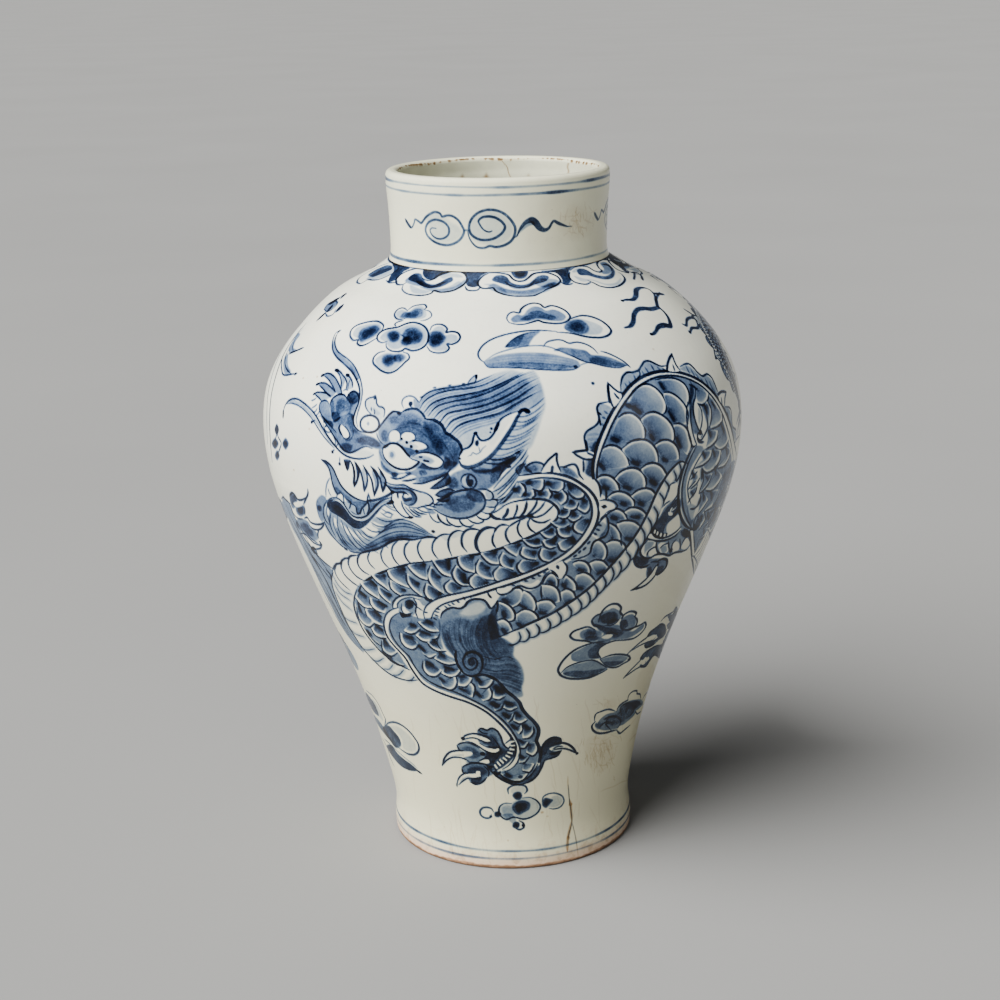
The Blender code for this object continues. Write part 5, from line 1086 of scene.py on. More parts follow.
F("478,620 488,614 496,618 498,632 506,641 508,652 500,658 490,656 484,648 478,640 476,630", 0.20, 5)
# a soft-edged pale patch cleared at the top of the tuft, with a thin wash over it: a painted highlight
C("470,604 480,602 486,607 480,614 468,616 460,614 464,608", 5)
F("468,603 478,601 485,604 488,610 478,616 462,616 452,613 460,609", 0.14, 4)
for t, w in (("440.6,618 442,613.4 446.4,609.8 452,607.8 460,608.6 464.4,606.4 467.4,602.4 471.6,599.8 478,599.2 484,600.4 487.4,604 491,608.6 495.4,604.4 497.6,600.6", 2.8), ("497.4,600.6 497.6,607 496.4,613.4", 2.4), ("488.6,594.6 491.4,598.2", 2.2)):
    L(t, w, 1.0)
hair2 = np.random.default_rng(77)
sheaf = [P(t) for t in ("441,620 442.6,633 447.6,646 454,657 461,668 470,675", "450,620 450,634 454,646 460,655 462,664 468,672", "461,617 458.6,632 461,644 466,652 465,660 467,667", "474,617 468,630 468.6,642 473,651 480,657 481,666 475,673",
                       "486,614 479,624 476,636 478,646 484,653 486,664 480,674", "492,614 486,625 484,637 487,648 492,655 500,660 510,662", "497,621 493,632 492,643 496,651 503,656 513,657")]
sheaf = [smooth(np.array([(x, y, 1.0) for x, y in g]), 8, False) for g in sheaf]
cut = min(len(g) for g in sheaf)
sheaf = [g[np.linspace(0, len(g) - 1, cut).astype(int)] for g in sheaf]
for k in range(20):
    f = min(k / 20 + 0.02 * hair2.normal(), 0.999) * (len(sheaf) - 1)
    f = max(f, 0)
    i = min(int(f), len(sheaf) - 2)
    g = sheaf[i] * (1 - f + i) + sheaf[i + 1] * (f - i)
    a, b = int(cut * hair2.uniform(0, 0.25)), int(cut * hair2.uniform(0.6, 1.0))
    B.line([tuple(q) for q in g[a:b:4]], hair2.uniform(1.1, 1.9), hair2.uniform(0.35, 0.65), (0.3, 0.3), soft=1.4)
sheaf = [P(t) for t in ("482,655 494,658.4 506,655.6 515,659", "482,661 496,664.4 509,662.6 520,666.6", "480,667 495,671 510,670 523,674.6", "478,673 491,675.4 507,677 523.4,682", "497,679.6 506,681.6 514,684.6 522.4,688.6", "501,684.6 509,689 516,691.6 522,694.6")]
for k in range(15):
    f = min(k / 15 + 0.03 * hair2.normal(), 0.999)
    f = max(f, 0) * (len(sheaf) - 1)
    i = min(int(f), len(sheaf) - 2)
    g = np.array(sheaf[i]) * (1 - f + i) + np.array(sheaf[i + 1]) * (f - i)
    g[:, 1] += hair2.normal() * 0.3
    B.line([tuple(q) for q in g], hair2.uniform(1.2, 1.9), hair2.uniform(0.30, 0.6), (0.3, 0.2), soft=1.4)
L("455.4,652 455.6,660 459,668 465,674 472,676.6 479,673.4 482.6,666 481,658 475,653 467.6,653.6 463.2,659 464.4,666 469.6,670 475.6,667.8 477.2,661.8 473.4,658 469.4,659.8 469.8,664.4 473,664.6", 2.2, 0.95)
F("468,659.6 473,659 475.4,663 472,666.4 468.6,664.6", 0.5, 1.6)
L("464,657 467,652.8 474,651.6 480,654.8 483.6,660.6", 2.4, 0.9)
L("474,676 482,674.8 490,676.8 497,681", 4.0, 0.95)

# ---- the foot: five toes round a pad
start = len(B.log)
F("478,730 482,728 487,729.6 491.4,728 496.4,730 500.4,736 503.4,744.6 507,749 511,751 508,760 500,765 492,768 486,765.4 483,760 486,756 484,750 501,749.6 494,747.4 486,746 480,743 477.4,739", 0.74, 1.8)
F("457,746 460,743.4 466,742.6 472,744 478,748 484,752 487,757 482,761 475,762.6 467,761.4 463,758 472,755.6 472,752.4 463,751 458,750", 0.62, 1.8)
F("462,767 468,764 476,763 486,764.6 491,768 495,771.6 492,775 487,777 482,782 476,784 470,781.4 468,778 474,778.4 480,776.4 479.4,772.4 472,773 465,773.4 462,770", 0.78, 1.8)
F("471,779 477,777.6 482,778 479,783 473,783.4", 0.4, 1.5)
F("486,748 500,751 507,750 511,744 515,746 513,753 508,760 500,765 492,769 486,765 483,760 486,755", 0.35, 2)
C("463,739.6 468,736.6 474,735.4 481,736.6 487,738.8 490.4,741.4 484.6,742 478,740.2 470,739 464.6,740", 0.7)
C("466,741.4 472,741 479,744 485,747.6 491,748.4 497,748 500,750 497,752.6 491.4,752.6 485.4,750.4 478.6,746.4 472,742.8", 0.7)
C("446,760 450.4,754.6 457,752.8 463,752.6 468,752 472.6,753.6 470,755.8 462,757 454,757.2 448.6,759.6", 0.7)
C("478,762 484,759.4 489,760 489.4,763 483,763.8", 0.7)
C("458.4,784 461,778 466,775 473.4,774.4 479,773.8 480.6,776.6 475,777.6 468.4,777.6 463,780.6", 0.7)
F("449,757 456,754.6 464,754.8 460,756.6 452,757", 0.14, 1.5)
F("460,781 464,777.6 470,776 466,778.6 462,781", 0.25, 1.5)
for t, w in (("461.6,738.8 466,735.4 473,733.8 480,734.6 486.4,737 491,740.6", 2.4), ("462,740.6 468,738.4 475,738.4 481.4,740.8 487,742.6 490.6,742", 1.8), ("465,741 472,742.8 478.6,746.6 485.4,751 492,753.4 498,752.8 500.8,749.6 498,747.4 491,747.6 485,746.4 479.6,743.4", 2.2),
             ("442,765.6 444.4,758.4 449,752.8 456,750.8 463,751", 2.4), ("442,766 446.6,760.4 452.4,757.6 460,757.8 465,759.4 469,761.4", 2.0), ("457,784.6 458.4,779 462,774.8 467.4,773.2 474,773 480,772.6", 1.8), ("458.6,785 463,781 468.4,778.2 474.4,778.6 480,777", 1.8),
             ("477.6,731 481,728.4 487,730.4 491.4,728.4 496.4,730.4 500.4,736 503.6,744.6 508,748.4 511.6,745.6", 2.4), ("478.6,730 483,733.4 488,733.6", 1.6), ("456.6,745.6 460.6,743.4 466.6,742.8 473,744.6 479,748.4", 2.0), ("457,746 460,750.4 464,751", 1.8),
             ("461.8,767.4 468,764.2 476,763 486,764.6 491,768.4", 2.2), ("462,768.6 463,772.4 466,773.4", 2.2), ("489,746.6 494,748.4 498,747.6", 2.0), ("492,737 497,743 500,750 497,758 490,764", 1.6), ("466,762 475,763 484,764", 2.0),
             ("478,762 484,759 489.6,759.8 490,763.6", 1.8), ("457,787 456.8,783", 1.6), ("470,782 476,784.4 482,782.4 487,777.4", 2.4), ("484,766 489,772 488,777", 1.8)):
    L(t, w, 0.95)
dot(463, 738.6, 4.4, 1.1)
dot(482.6, 754, 5.6, 1.1)
dot(493, 761.6, 3.6, 0.9)
C("476,771.6 480,771.6 480,774 476.6,774.6", 0.8)
# the pad, dark with a row of pale bars
L("511.6,739 514.2,746.6 512.6,753.6 507.8,760 501.4,765.2 496,769.4", 6.4, 0.85, (0.6, 0.6))
for x0, y0, x1, y1 in ((509.6, 742.4, 514.6, 741.4), (510.2, 745.8, 515.2, 745.6), (509.6, 749.4, 514.6, 749.8), (507.6, 752.4, 512.6, 753.8), (505.6, 755.4, 510.2, 757.6), (502.8, 757.6, 507, 760.8), (499.6, 759.4, 503.6, 763.4), (497, 761.8, 500.6, 766), (494.4, 764.6, 497.4, 768.6), (491.8, 767.8, 494.6, 771)):
    n = math.hypot(x1 - x0, y1 - y0)
    ux, uy = -(y1 - y0) / n * 0.85, (x1 - x0) / n * 0.85
    B.clear([(x0 + ux, y0 + uy), (x1 + ux, y1 + uy), (x1 - ux, y1 - uy), (x0 - ux, y0 - uy)], 0.8, raw=True)
C("491,769.4 496,771.4 500,772 497,774 492.6,771.6", 0.7)
for t, w in (("505,744 510,740 512,738.6", 1.6), ("494,771.6 498,774 500.6,771.4", 3.0)):
    L(t, w, 0.95)
# the limb wraps round the bottom and ends in a claw at the right
F("541,763 541,753 542.4,745.6 547,740.4 554,737.2 561,739.6 561.6,744 554,746.6 549.6,749 554,751.4 561.4,750.8 558,756 551,758.8 545,760 541.6,769 536.4,777 530,782 522,784.8 514,784.6 506,782 498,777.6 491,772 487,767 492,766 499,772.6 507,778.6 516,781.4 524,780.6 530.4,775.6 536,768", 0.74, 1.8)
F("541.6,755 543,747 548,741 556,738.4 561,741 556,744.6 549,747.6 546,754", 0.30, 1.6)
C("549.6,749.2 553.6,746.8 561,746 567,746.6 572,749.4 575.4,752.4 570,750.2 563,748.6 556.4,749.2 551.4,750.4", 0.7)
for t, w in (("540.4,768 541,757 542.4,747 547,740.6 554,737.4 560.6,739.2 561.4,743", 2.6), ("556,743.6 562,743 568,744.4 573,748 577,753.6", 2.8), ("577,753.8 571.4,750.8 565,748.8 558,749 552.4,750.4", 2.2), ("553,748.8 558,746.6 563,746.4", 1.6),
             ("561.4,750.4 558,755.6 551,758.6 545,760.6 541.4,768.6 536,777 529.4,782 521,784.8", 2.2), ("521,784.8 513,784.4 505,781.4 497,776.6 491,771", 2.8), ("538,764 533.4,772 527,778.4 518.6,781.6 510,780.4 502.6,776.4", 2.2), ("550,754 556,753.6 561.4,751", 3.6)):
    L(t, w, 1.0)
dot(577.2, 753.6, 3.2, 1.1)
whole_leg = B.log[leg_from:]

# ---- clouds round the dragon: each is an outline, a pale edge and a wash that pools in the middle
start = len(B.log)
for t, d in (("396,313 402,309.6 408,312 414,307.6 421,306 425,309 426,316 420,319 412,318.6 404,318 398,317.4", 0.36), ("380,338 384,332.6 391,329.6 399,328.6 406,325.6 413,324.4 420,326 425.4,330 426.4,337 424,344 418,348 411,348.6 404,346.6 397,349 390,348 386,343 383,340.6", 0.40),
             ("353,335 356,328 363,325.4 371,323.6 379,323.6 381.6,328 379,333 374,337.4 367,341.4 360,343.4 358.6,339", 0.36), ("431,333 436,327 442,326.6 445.4,330.4 444,335 451,334 457,336 457,341 450,343 446,345 447.6,349 440,351 432,349 428.4,343", 0.38),
             ("386,353 380,355.6 375,360.4 378,366 384,370 391,371.4 397,367.4 402,362.4 407,358 405,354.4 397,353.6", 0.36)):
    F(t, min(d * 0.6, 0.34), 2.0)
for t, d in (("400,317.4 404,312 410,311.4 416,308.4 422,309 422.6,315 416,318.4 408,318.6", 0.63), ("358,338.6 360,330.4 368,326.4 377,325.4 380,329 375,335 367,339.4 361,341.6", 0.68), ("387,334 393,330.6 399,332.4 400,338 396,342 390,341.4", 0.68),
             ("405,330 412,327 419,329 423,335 420,342 412,344.6 405,342.4 402,336", 0.68), ("401,340 409,336 412,341 407,346 401,344", 0.68), ("428,334 436,330.6 443,333.4 446,338 442,344 434,347.6 428,343.6", 0.75), ("432,336 440,335 443,340 437,344.6 431,342", 0.30),
             ("383,356 391,354 396,357.6 394,364 387,367 382,362.6", 0.68), ("394,355 401,353.6 405,357 401,362 395,361.6", 0.63)):
    F(t, d, 2.6)
for t, w in (("405,318.6 399,319.4 395.6,317.6 394.4,314.4 396.4,310.6 400,308.2 404,308 407.4,310.6", 2.0), ("407.6,310.2 413,306.2 420,304.6 425,304.6 426.4,307.2 424,309.4", 2.0), ("424,309.4 430,311.6 431.6,315.6 427,319.4 420.4,320.8", 1.2),
             ("386,343 386.4,347 390.4,350.4 396.4,351.6 402,350.6 405,348.6 412,350.6 420,349 426,344.4 428.4,338 428,332 425,327 419.4,323.6 412,322.4 405,324 398,327 392,328 385.4,329.4 379.4,333 377,337.4 378.4,341 383,342.6 387.4,341", 2.4),
             ("396,326.4 394.8,324 398,321.8 403.4,320.4", 1.6), ("378,334 382,330 383.4,325.4 378.4,321.4 370.6,321.4 363,323 356,325.6 351.2,330 350,335.6 353,340 358,340 357,343 360.4,345.6 366.4,344 373,340.2 377.6,337.6", 2.2),
             ("430,330.4 432,326.2 438,324 444,325.4 447.2,329 446,332.2 452,331.4 458,333 460.2,337 458,341.4 452,344.2 447,344 449.2,348 446,351.6 438,353 430.4,351 427,346.4", 2.2),
             ("385,351 378,353 373.4,358 373.2,363 377,367.2 382,371 388.4,373 395,371 401,366.2 405,362.2 409.2,358 408,354 403,352", 2.2)):
    L(t, w, 0.92)
L("400,334 404,337 403,341.6", 1.6, 0.7)
dot(406.4, 338.6, 5.0, 0.6)
cloud_five = B.log[start:]

start = len(B.log)
for t, d in (("511,319 517,314.4 523,315 528,309.4 534,306.4 541,307.4 546,310.4 553,309.4 561,312 566,316.6 563,320.4 555,321 545,320 538,319 530,321 520,322 513,322", 0.50), ("520,320 526,315 532,311 540,310.6 548,314 556,316.4 554,319.6 544,318.4 536,317.6 528,320", 0.30),
             ("566,323 572,319 580,318.4 588,320.6 597,323.6 603,328.4 600,333.4 590,334.6 580,334.4 570,332 564,327.6", 0.20), ("566,323.4 572,320 580,319.4 586,322.6 589.4,327.6 587.4,332.4 579,334 570,332 564.4,328", 0.66),
             ("505,347 510,341.4 517,336.4 527,332.8 540,331.2 534,337 530.4,342 528.4,346 518,346.6", 0.55), ("505.6,346.8 510,341.6 517,337 524,334.4 521,341 518,346.4", 0.26),
             ("484,362.4 495,356.4 510,353.4 530,352.2 550,353.6 565,356.8 578,361 580,365 575,368 560,369.4 540,368.4 520,367 500,366.6 488,366.6", 0.42), ("486,364.6 500,362.4 520,361.6 545,362.6 566,364.4 576,366.6 560,369 530,368 500,366.6 488,366.4", 0.22),
             ("554,350.4 560,347.4 568,347.6 578,349 586,350.4 591.4,354.4 600,355.2 610,357.2 620,361.2 627,365 620,367 608,366.2 595,363.2 582,360.2 572,355.4 562,351.4", 0.58), ("590,358.4 602,358 616,361.6 625,365.4 612,366 600,363.8 590,361.6", 0.22)):
    F(t, d, 2.0)
for y in (355.6, 358.4, 361, 363.6):
    L("494,%g 512,%g 534,%g 556,%g 574,%g" % (y + 2.4, y, y - 0.6, y + 1, y + 3.6), 1.2, 0.30, (0.2, 0.2))
for t, w, d in (("509,322.4 506.8,318.4 508.4,314.2 513,311.8 519.4,312.6 521,309 526,305 533,303 540,304 544.4,307.2 551,305.4 560,307.6 567.2,312 570.2,317 567,321 560,323.2 550,323 543,322 538.4,320.4 532,322 524,324 515,324 509,322.4", 2.4, 0.92),
                ("568,320 574,317.2 583,315.4 593,317 602,321 609.2,327 611.4,331 608.4,335 601,337.2 590,337 582,335.6 570,333 557,332", 2.6, 0.9), ("557,331.4 545,330.4 530,330.4 515,332.4 500,336 488.4,341 481.4,347 478,354 480,359 484.4,362.4", 2.0, 0.88),
                ("484,361.4 495,354.2 510,349.2 525,346.2 540,345.4 550,347 558,350 567,354 575,357.2 582,360.2 590,363.2", 1.5, 0.6), ("505,347.4 510,341.6 517,336.6 527,333 540,331.4", 1.6, 0.7),
                ("484,362.6 488,366.8 500,367.2 520,367.8 540,369.2 560,370 575,368.8 580.6,365.4", 2.0, 0.75), ("543,346.4 547,342 554,340 562,340 569,343 577,342 586,344 593,348 598,353.2", 1.8, 0.85),
                ("601,351 608,353 617,357.2 624,361.4 628.4,365.2 630.6,367.2", 1.8, 0.9), ("562,351 572,355.6 582,360.4 595,363.6 608,366.6 620,367.4 627,365.2", 1.6, 0.8), ("580,365 585,363.2 592,362.2", 1.2, 0.6)):
    L(t, w, d)
dot(575.6, 366.6, 4.0, 0.8)
cloud_long = B.log[start:]

start = len(B.log)
F("324,309 328,303 334,300.6 337,302.4 333,307.6 327,311", 0.55, 1.6)
for t, w in (("323.6,309 328.6,303 335,300.6 337.4,302.6 333.4,308 327,311.4 323.6,309", 2.0), ("335,301 340,297 344,294.2 346.6,294", 2.0), ("324,313 320,317.2 316,321.2", 2.0), ("325,313 327.4,316 333,314 335.4,309.4", 1.8)):
    L(t, w, 0.9)
for t, w in (("345.4,293.4 341,298", 5.0), ("338,298.6 329.6,303.4", 9.0), ("342,305.4 336.6,311", 8.0), ("331.6,305.6 327.6,311", 7.0), ("325,313 317.4,319.6", 6.0)):
    L(t, w, 1.0, (0.6, 0.5))
for x, y, w, h, d in ((276.6, 429.6, 2.2, 5.6, 1.0), (275.0, 443.6, 3.4, 5.4, 1.0), (285.4, 443.8, 3.2, 5.8, 1.0), (277.0, 455.4, 2.4, 5.0, 1.0)):
    F("%g,%g %g,%g %g,%g %g,%g" % (x - w, y, x, y - h, x + w, y, x, y + h), d, 1.6)
L("277,431 278,437 281,443 279.6,449 277,455", 2.0, 0.9)
L("277,434 275,440 276,447", 1.8, 0.8)
for edge, w, d in (("306,323 298,332.5 288,346 281,360 275,378 271,396 269.4,418 270.4,444 272,462", 3.0, 1.15), ("303,322 295,331 285,345 277.6,359 271.4,377 267.6,396 266.6,418 267.4,444", 2.6, 1.15)):
    L(edge, w, d, (0.4, 0.4))
cloud_small = B.log[start:]

# ---- a flaming wheel at the right shoulder
start = len(B.log)
L("622,300.4 627.4,299.6 633.4,299.2 636,295.6,1.2 636.4,290,1.2 639.4,287.8,0.9 645.4,287.8,0.6 651,290.6,0.55 655,295.4,0.7 656.4,301,1.0 657.6,306,1.1", 5.0, 0.85, (0.35, 0.9))
L("624.6,327.6 630.4,326 633.4,321.6,1.1 634.2,314.6,1.1 637.4,309.6,1.1 643,308.2,1.2 651,308.8,1.2 658.4,307.2,1.1", 5.0, 0.88, (0.3, 0.9))
L("657.6,305.6 661.4,309,0.8 666,313.6,0.9 669.6,320,1.1 670.4,325.6,1.4 664.6,325,1.6 658.4,327,1.2 656.2,331,0.9 653,334 650.6,334.2,0.8", 4.4, 0.9, (0.9, 0.4))
L("654.4,293.4 658.4,293.6 664,294", 4.2, 0.85, (0.8, 0.5))
L("660,292 656.6,298 656,303", 3.0, 0.8)
dot(622.4, 300.6, 3.4, 1.1)
dot(651.6, 334, 3.6, 1.1)
L("631,272.4 636.4,272.4 640.4,274.6 643.4,279.8", 3.0, 0.9)
L("634.4,272.6 634.6,276 634,279.4", 2.6, 1.0, (0.8, 0.9))
L("641.4,277 643,280.4", 2.6, 1.0)
L("684.4,309 690,312.6 694,315.6 696.4,320.4 698.4,327.4 692,328 690.4,332.4", 3.8, 0.88, (0.5, 0.8))
L("682.4,323.8 686.4,325.2 687.2,319.4 691,317.4 696.4,319.4", 3.6, 0.9, (0.4, 0.9))
dot(690, 332, 4.4, 0.9)
wheel = B.log[start:]
dot(593, 383.2, 3.4, 0.75)

# ---- clouds low on the wall
start = len(B.log)
F("593,620 598,615 604,611.6 611,608 619,609 621.4,616 617,622.4 609,625 601,626.6 595,625.6", 0.56, 1.8)
F("600,617 608,612.6 616,612.6 618,618 611,622.6 603,623", 0.35, 2.2)
C("604.6,609.6 610,605.8 617,606.2 619.4,610.6 613.4,608 607.4,610.4", 0.8)
F("608,621.4 614,618.6 618,619.6 612,624 607,624.6", 0.6, 1.6)
F("621,620.6 627,615.4 633,614.6 636,619.4 634.6,626 627,630.4 620.4,629", 0.45, 1.8)
F("620,622 626,620 628,626 622,629", 0.5, 2.4)
F("580,633 587,629 596,630 602,634 598,639.6 588,640.4 581,638", 0.62, 1.8)
F("588,629 596,630.4 594,635 588,634", 0.3, 2)
F("585,638 594,636 600,638 594,642 587,642", 0.35, 2)
F("594,624 606,626 618,625 624,629 632,631.6 638,628 644,624 643.6,627.6 638,633 628,638.4 616,640 606,641 596,643.6 600,638 604,633 598,629", 0.48, 2)
F("598,627 612,628 624,632 616,638 606,634 600,632", 0.4, 3)
C("601.6,637.6 607,634.6 613,634.8 611,637.6 605,639", 0.9)
F("572,660 571.6,654.6 579,650 588,645.4 600,641.6 611,640.6 603.6,645 599,649 598,653.6 601,658 590,659 578,661.6", 0.46, 1.6)
F("588,652 594,646 602,642.4 606,643 600,647.4 597.4,652.4 600,657.4 590,658.4", 0.38, 2)
F("563,672.4 572,666 584,662.6 594,661 602,664 608,668 600,672.4 590,677 576,677.4 564,675", 0.38, 1.6)
F("563,674 572,671 584,671 596,669.6 606,668.6 600,672.6 590,677 576,677.6", 0.42, 2)
F("601,660 610,657 620,655.8 628,657.6 624,662 615,666 607,665.4", 0.42, 1.6)
F("604,662.6 614,661.4 624,661.4 616,666 608,666", 0.38, 1.6)
for t, w in (("598.6,622 601,613.6 606,607.4 612,604.2 618,604.4 621.2,608 620.4,612.6 623,616 621.6,620", 2.6), ("603,612.8 595.6,616.2 592,621 594,625.4 599,627.4", 2.6), ("621,618.6 626,613.4 632,611.4 636.2,613 635,617", 2.6), ("634.4,616 637.2,620 636.4,625 631.4,629.4 624,631.4", 2.2),
             ("595,629.6 588,627 580,629 573,632 570.2,636 573.4,639.4 580,640.6 586.4,641.2 594,643.4", 2.6), ("620,630.4 630,629 640,625.2 645.2,622.6 646,626 641.4,633 634.2,638.2 626,640 615,640.8", 2.4), ("619.6,618 616.4,622.6 611,625.4 605,625.4", 1.6),
             ("600,641.4 592,643.2 583,646.2 574.4,650.4 567.4,656 561.4,663 558.2,670 560.4,675 566.4,678 576,679 588,678 596,675.2 604,671.4 607.4,669.4", 2.8), ("561,673.2 566,668.2 574,664.2 584,661.2 592,660.2 597,661.6 602,664.6 607,668", 1.8),
             ("600,659.4 606,665.6 610,667.4 617,667.2 624,663.4 630.4,659.4 629,656.2 625,655 617,654.4 608,656 600,659.4", 2.2), ("620,640.2 611,642 604,645.2 599.4,649 598,653.4 601,658.2", 2.2), ("606,634.6 612,632.6 618,634.4", 1.6), ("628,659.6 630.6,659.4", 3.4)):
    L(t, w, 0.95)
cloud_low = B.log[start:]

start = len(B.log)
F("595,726 600,718.6 607,714 614,712.4 618,710 620,706 626,702.6 634,700 641,699.6 643.4,703 638,710 633.6,716 627,722 618.6,728 610,730 602,730", 0.46, 1.8)
F("606,720 612,716 618,713 624,706 632,703 638,704 634,711 628,718 620,723 612,726", 0.24, 3)
F("624,704 632,700.6 640,702 638,707 630,709", 0.35, 2.5)
C("596.6,720 600,714.6 607,711.6 613,711.6 606,714.6 600,719.6 597,724", 0.8)
C("629.6,699 631,695 634.4,693 637,694.6 634,697.6", 0.8)
C("618.6,727.6 624,724.6 627.6,725 622,730.4 619.6,731", 0.8)
C("635.6,711 640.4,709.4 640,712.6 637,713.6", 0.7)
F("595,724 600,722 601,728 597,729.6", 0.2, 2)
for t, w in (("594.4,721 595.8,714.4 602,711.2 609,709.4 615.4,711.2", 2.0), ("595.4,721.6 592,726 593,730 598,733.2 604.4,733.2 612,731.2 617.4,730", 2.6), ("617,730.6 620,733.4 624.2,730.4 630.4,725", 2.2), ("616.6,711.6 619,706.2 624,702.2 628.4,700", 2.2),
             ("627.6,700.6 629,695.2 633,691.4 637,691 637.2,693.6 640,694.2 641,698.4", 1.8), ("642,700.4 645,695.2 648,692 647.2,698 643,705.4", 1.6), ("641,711.6 637.4,714 635.6,711.4", 1.6), ("604,719.4 610,716.8 616,717", 2.6), ("606,724 613,722", 1.8)):
    L(t, w, 0.92)
for t, w in (("611,730 606,724 609,717.4 616,716.4 621,721 618,728", 2.2), ("622,716 620.6,708.6 626,703.4 632.6,705 634,711 629,717", 2.2), ("600,727 605,722.6 610,722", 2.0), ("633,704 638,702 641,705", 2.0)):
    L(t, w, 0.88)
dot(613.6, 722.6, 6.0, 0.7)
dot(627, 710, 6.0, 0.7)
dot(602, 724.6, 4.0, 0.6)
cloud_low2 = B.log[start:]

start = len(B.log)
F("499,811 500,806 504,803.6 511,803 515,801 521,798.6 529,798.2 536,801.4 539.6,806.4 537.4,811.6 530,816.6 522,818.4 514,817.4 506,818.6 501,815", 0.16, 2)
F("502,808 510,806 514,812 510,816.6 504,815", 0.16, 3)
F("512,806 517,801.6 524,800.4 530,803.4 529.4,809 524,812.6 518.4,815 514,812", 0.85, 1.8)
F("515,806 520,803.6 522,809 518,813", 0.4, 2)
F("511,790 516,786.6 524,787.4 526,790.4 523,793.4 516,794 511.6,793", 0.12, 2)
F("512.4,795.6 515,792.4 520,792 522.4,795.6 520,799.6 515.6,799.6", 0.95, 1.4)
F("552,797 559,796 562.6,800 560,805 554,807.4 548,806 552,801.6", 0.16, 2)
F("542.4,801 545,798 550,798.6 553,800 550,804 546,808 542.6,806", 0.92, 1.4)
F("494.4,812.6 498,811.4 501.4,814 499,817.4 495,816.6", 0.9, 1.3)
F("512.6,824 516,821.6 519.4,823 519,827.4 515.4,828.6 512.6,827", 0.95, 1.3)
F("502,815 512,814 516,820 514,824 508,820", 0.3, 2)
for t, w, d in (("508.4,794 508,789 512.6,785.8 519,785 525.6,786.6 527.2,790.6 524.4,794", 2.4, 0.75), ("511.4,803.4 504,803.6 499.6,807 499,812 502,817.4 507,819.6 512,817.6 516.4,817.6 523,819.2 531,817.2 538,812.2 540.4,806.4 537,801 530,797.6 522.4,798", 2.2, 0.85),
                ("542,802 543.4,797 549,793.8 556,793.4 562.4,796.4 564,801 561,806.4 554.6,809 549,808.4", 2.0, 0.72), ("493.6,812 491.4,808.8 487,807.4 482.4,808.2 480,811.6 481.4,815.8 486,818.2 490.4,817.4 491.4,814.6", 2.6, 0.72), ("519,820.6 523.6,823.6 523.8,827.4 520,829.6 516,829", 2.2, 0.85)):
    L(t, w, d)
dot(523.2, 825.4, 3.4, 1.0)
dot(490.8, 816.6, 3.2, 0.8)
cloud_dots = B.log[start:]

# ---- claws of the hind foot at the right, seen from the side
start = len(B.log)
F("648,637 650,632.6 656,628 661,624.4 664.4,625.4 666.4,632 664,636.6 658,640.6 652,645.4 646,647.4 644.6,644.6 652,641 658,637.4 655,634.6", 0.72, 1.4)
F("640,659 643,654.6 648,650.6 655,647 661,645 665,640 668.6,638 667,650 662,658.4 658.6,656.4 655,654.6 650.4,660 646,666 641,667.6 640,665 645,663.4 648.6,659 646,657 643,660", 0.66, 1.4)
F("667,619 669,615.4 673,614 674,611 677,607 678,610 675,620 673,629 669,629.4 667,625.6 670,621.6", 0.66, 1.3)
C("655,642.6 661,640 664,640.4 661,644.6 656,645.4", 0.8)
C("662,620.4 667,616.6 669,619.4 667,623.6 665,627.4 663.4,624.4", 0.7)
for t, w in (("626,655.6 633,649 640,642.8 646.4,638 650,634.4", 2.4), ("632.6,650.4 640,645.6 646.4,642.8 652.4,640.4 656,637", 2.0), ("647,637 650,632.4 656,627.8 661,624.2 664.4,625.4 666.4,631", 2.2), ("644.6,645 646.4,647.4 652,645.6 658,641", 2.4), ("623.4,678.4 630,671 636,665 640.4,660.4 642.4,657", 2.2),
             ("623.4,678.4 631,672.6 638,668 643,665.4 646,661.4", 1.9), ("640,660 643,654.6 648.4,650.4 655,646.6 661,645", 2.2), ("641,667.4 646,666.4 650.6,660 655,655 658.4,656.4 662,658.6 665,653.4", 2.2), ("661,621.6 665,617 670,614 673,612 675,608.6 677.4,606.8", 2.4), ("673,613.4 676,612 676,619 673.4,628", 2.6),
             ("666.4,630 670,626 672.6,628.6", 2.0), ("668,633 670.6,629.6 672,633", 1.6), ("665,640 667.6,633", 2.0)):
    L(t, w, 0.95)
C("650,639.4 654,636 657,634.6 656,637 652.4,640", 0.7)
C("641.6,664.4 644,661 645.4,662.6 643.4,665", 0.7)
C("646.6,659.4 648.6,656.6 649.4,658.4 647.6,660.6", 0.7)
F("657,573 659,574 658,576", 0.2, 1)
side_claws = B.log[start:]

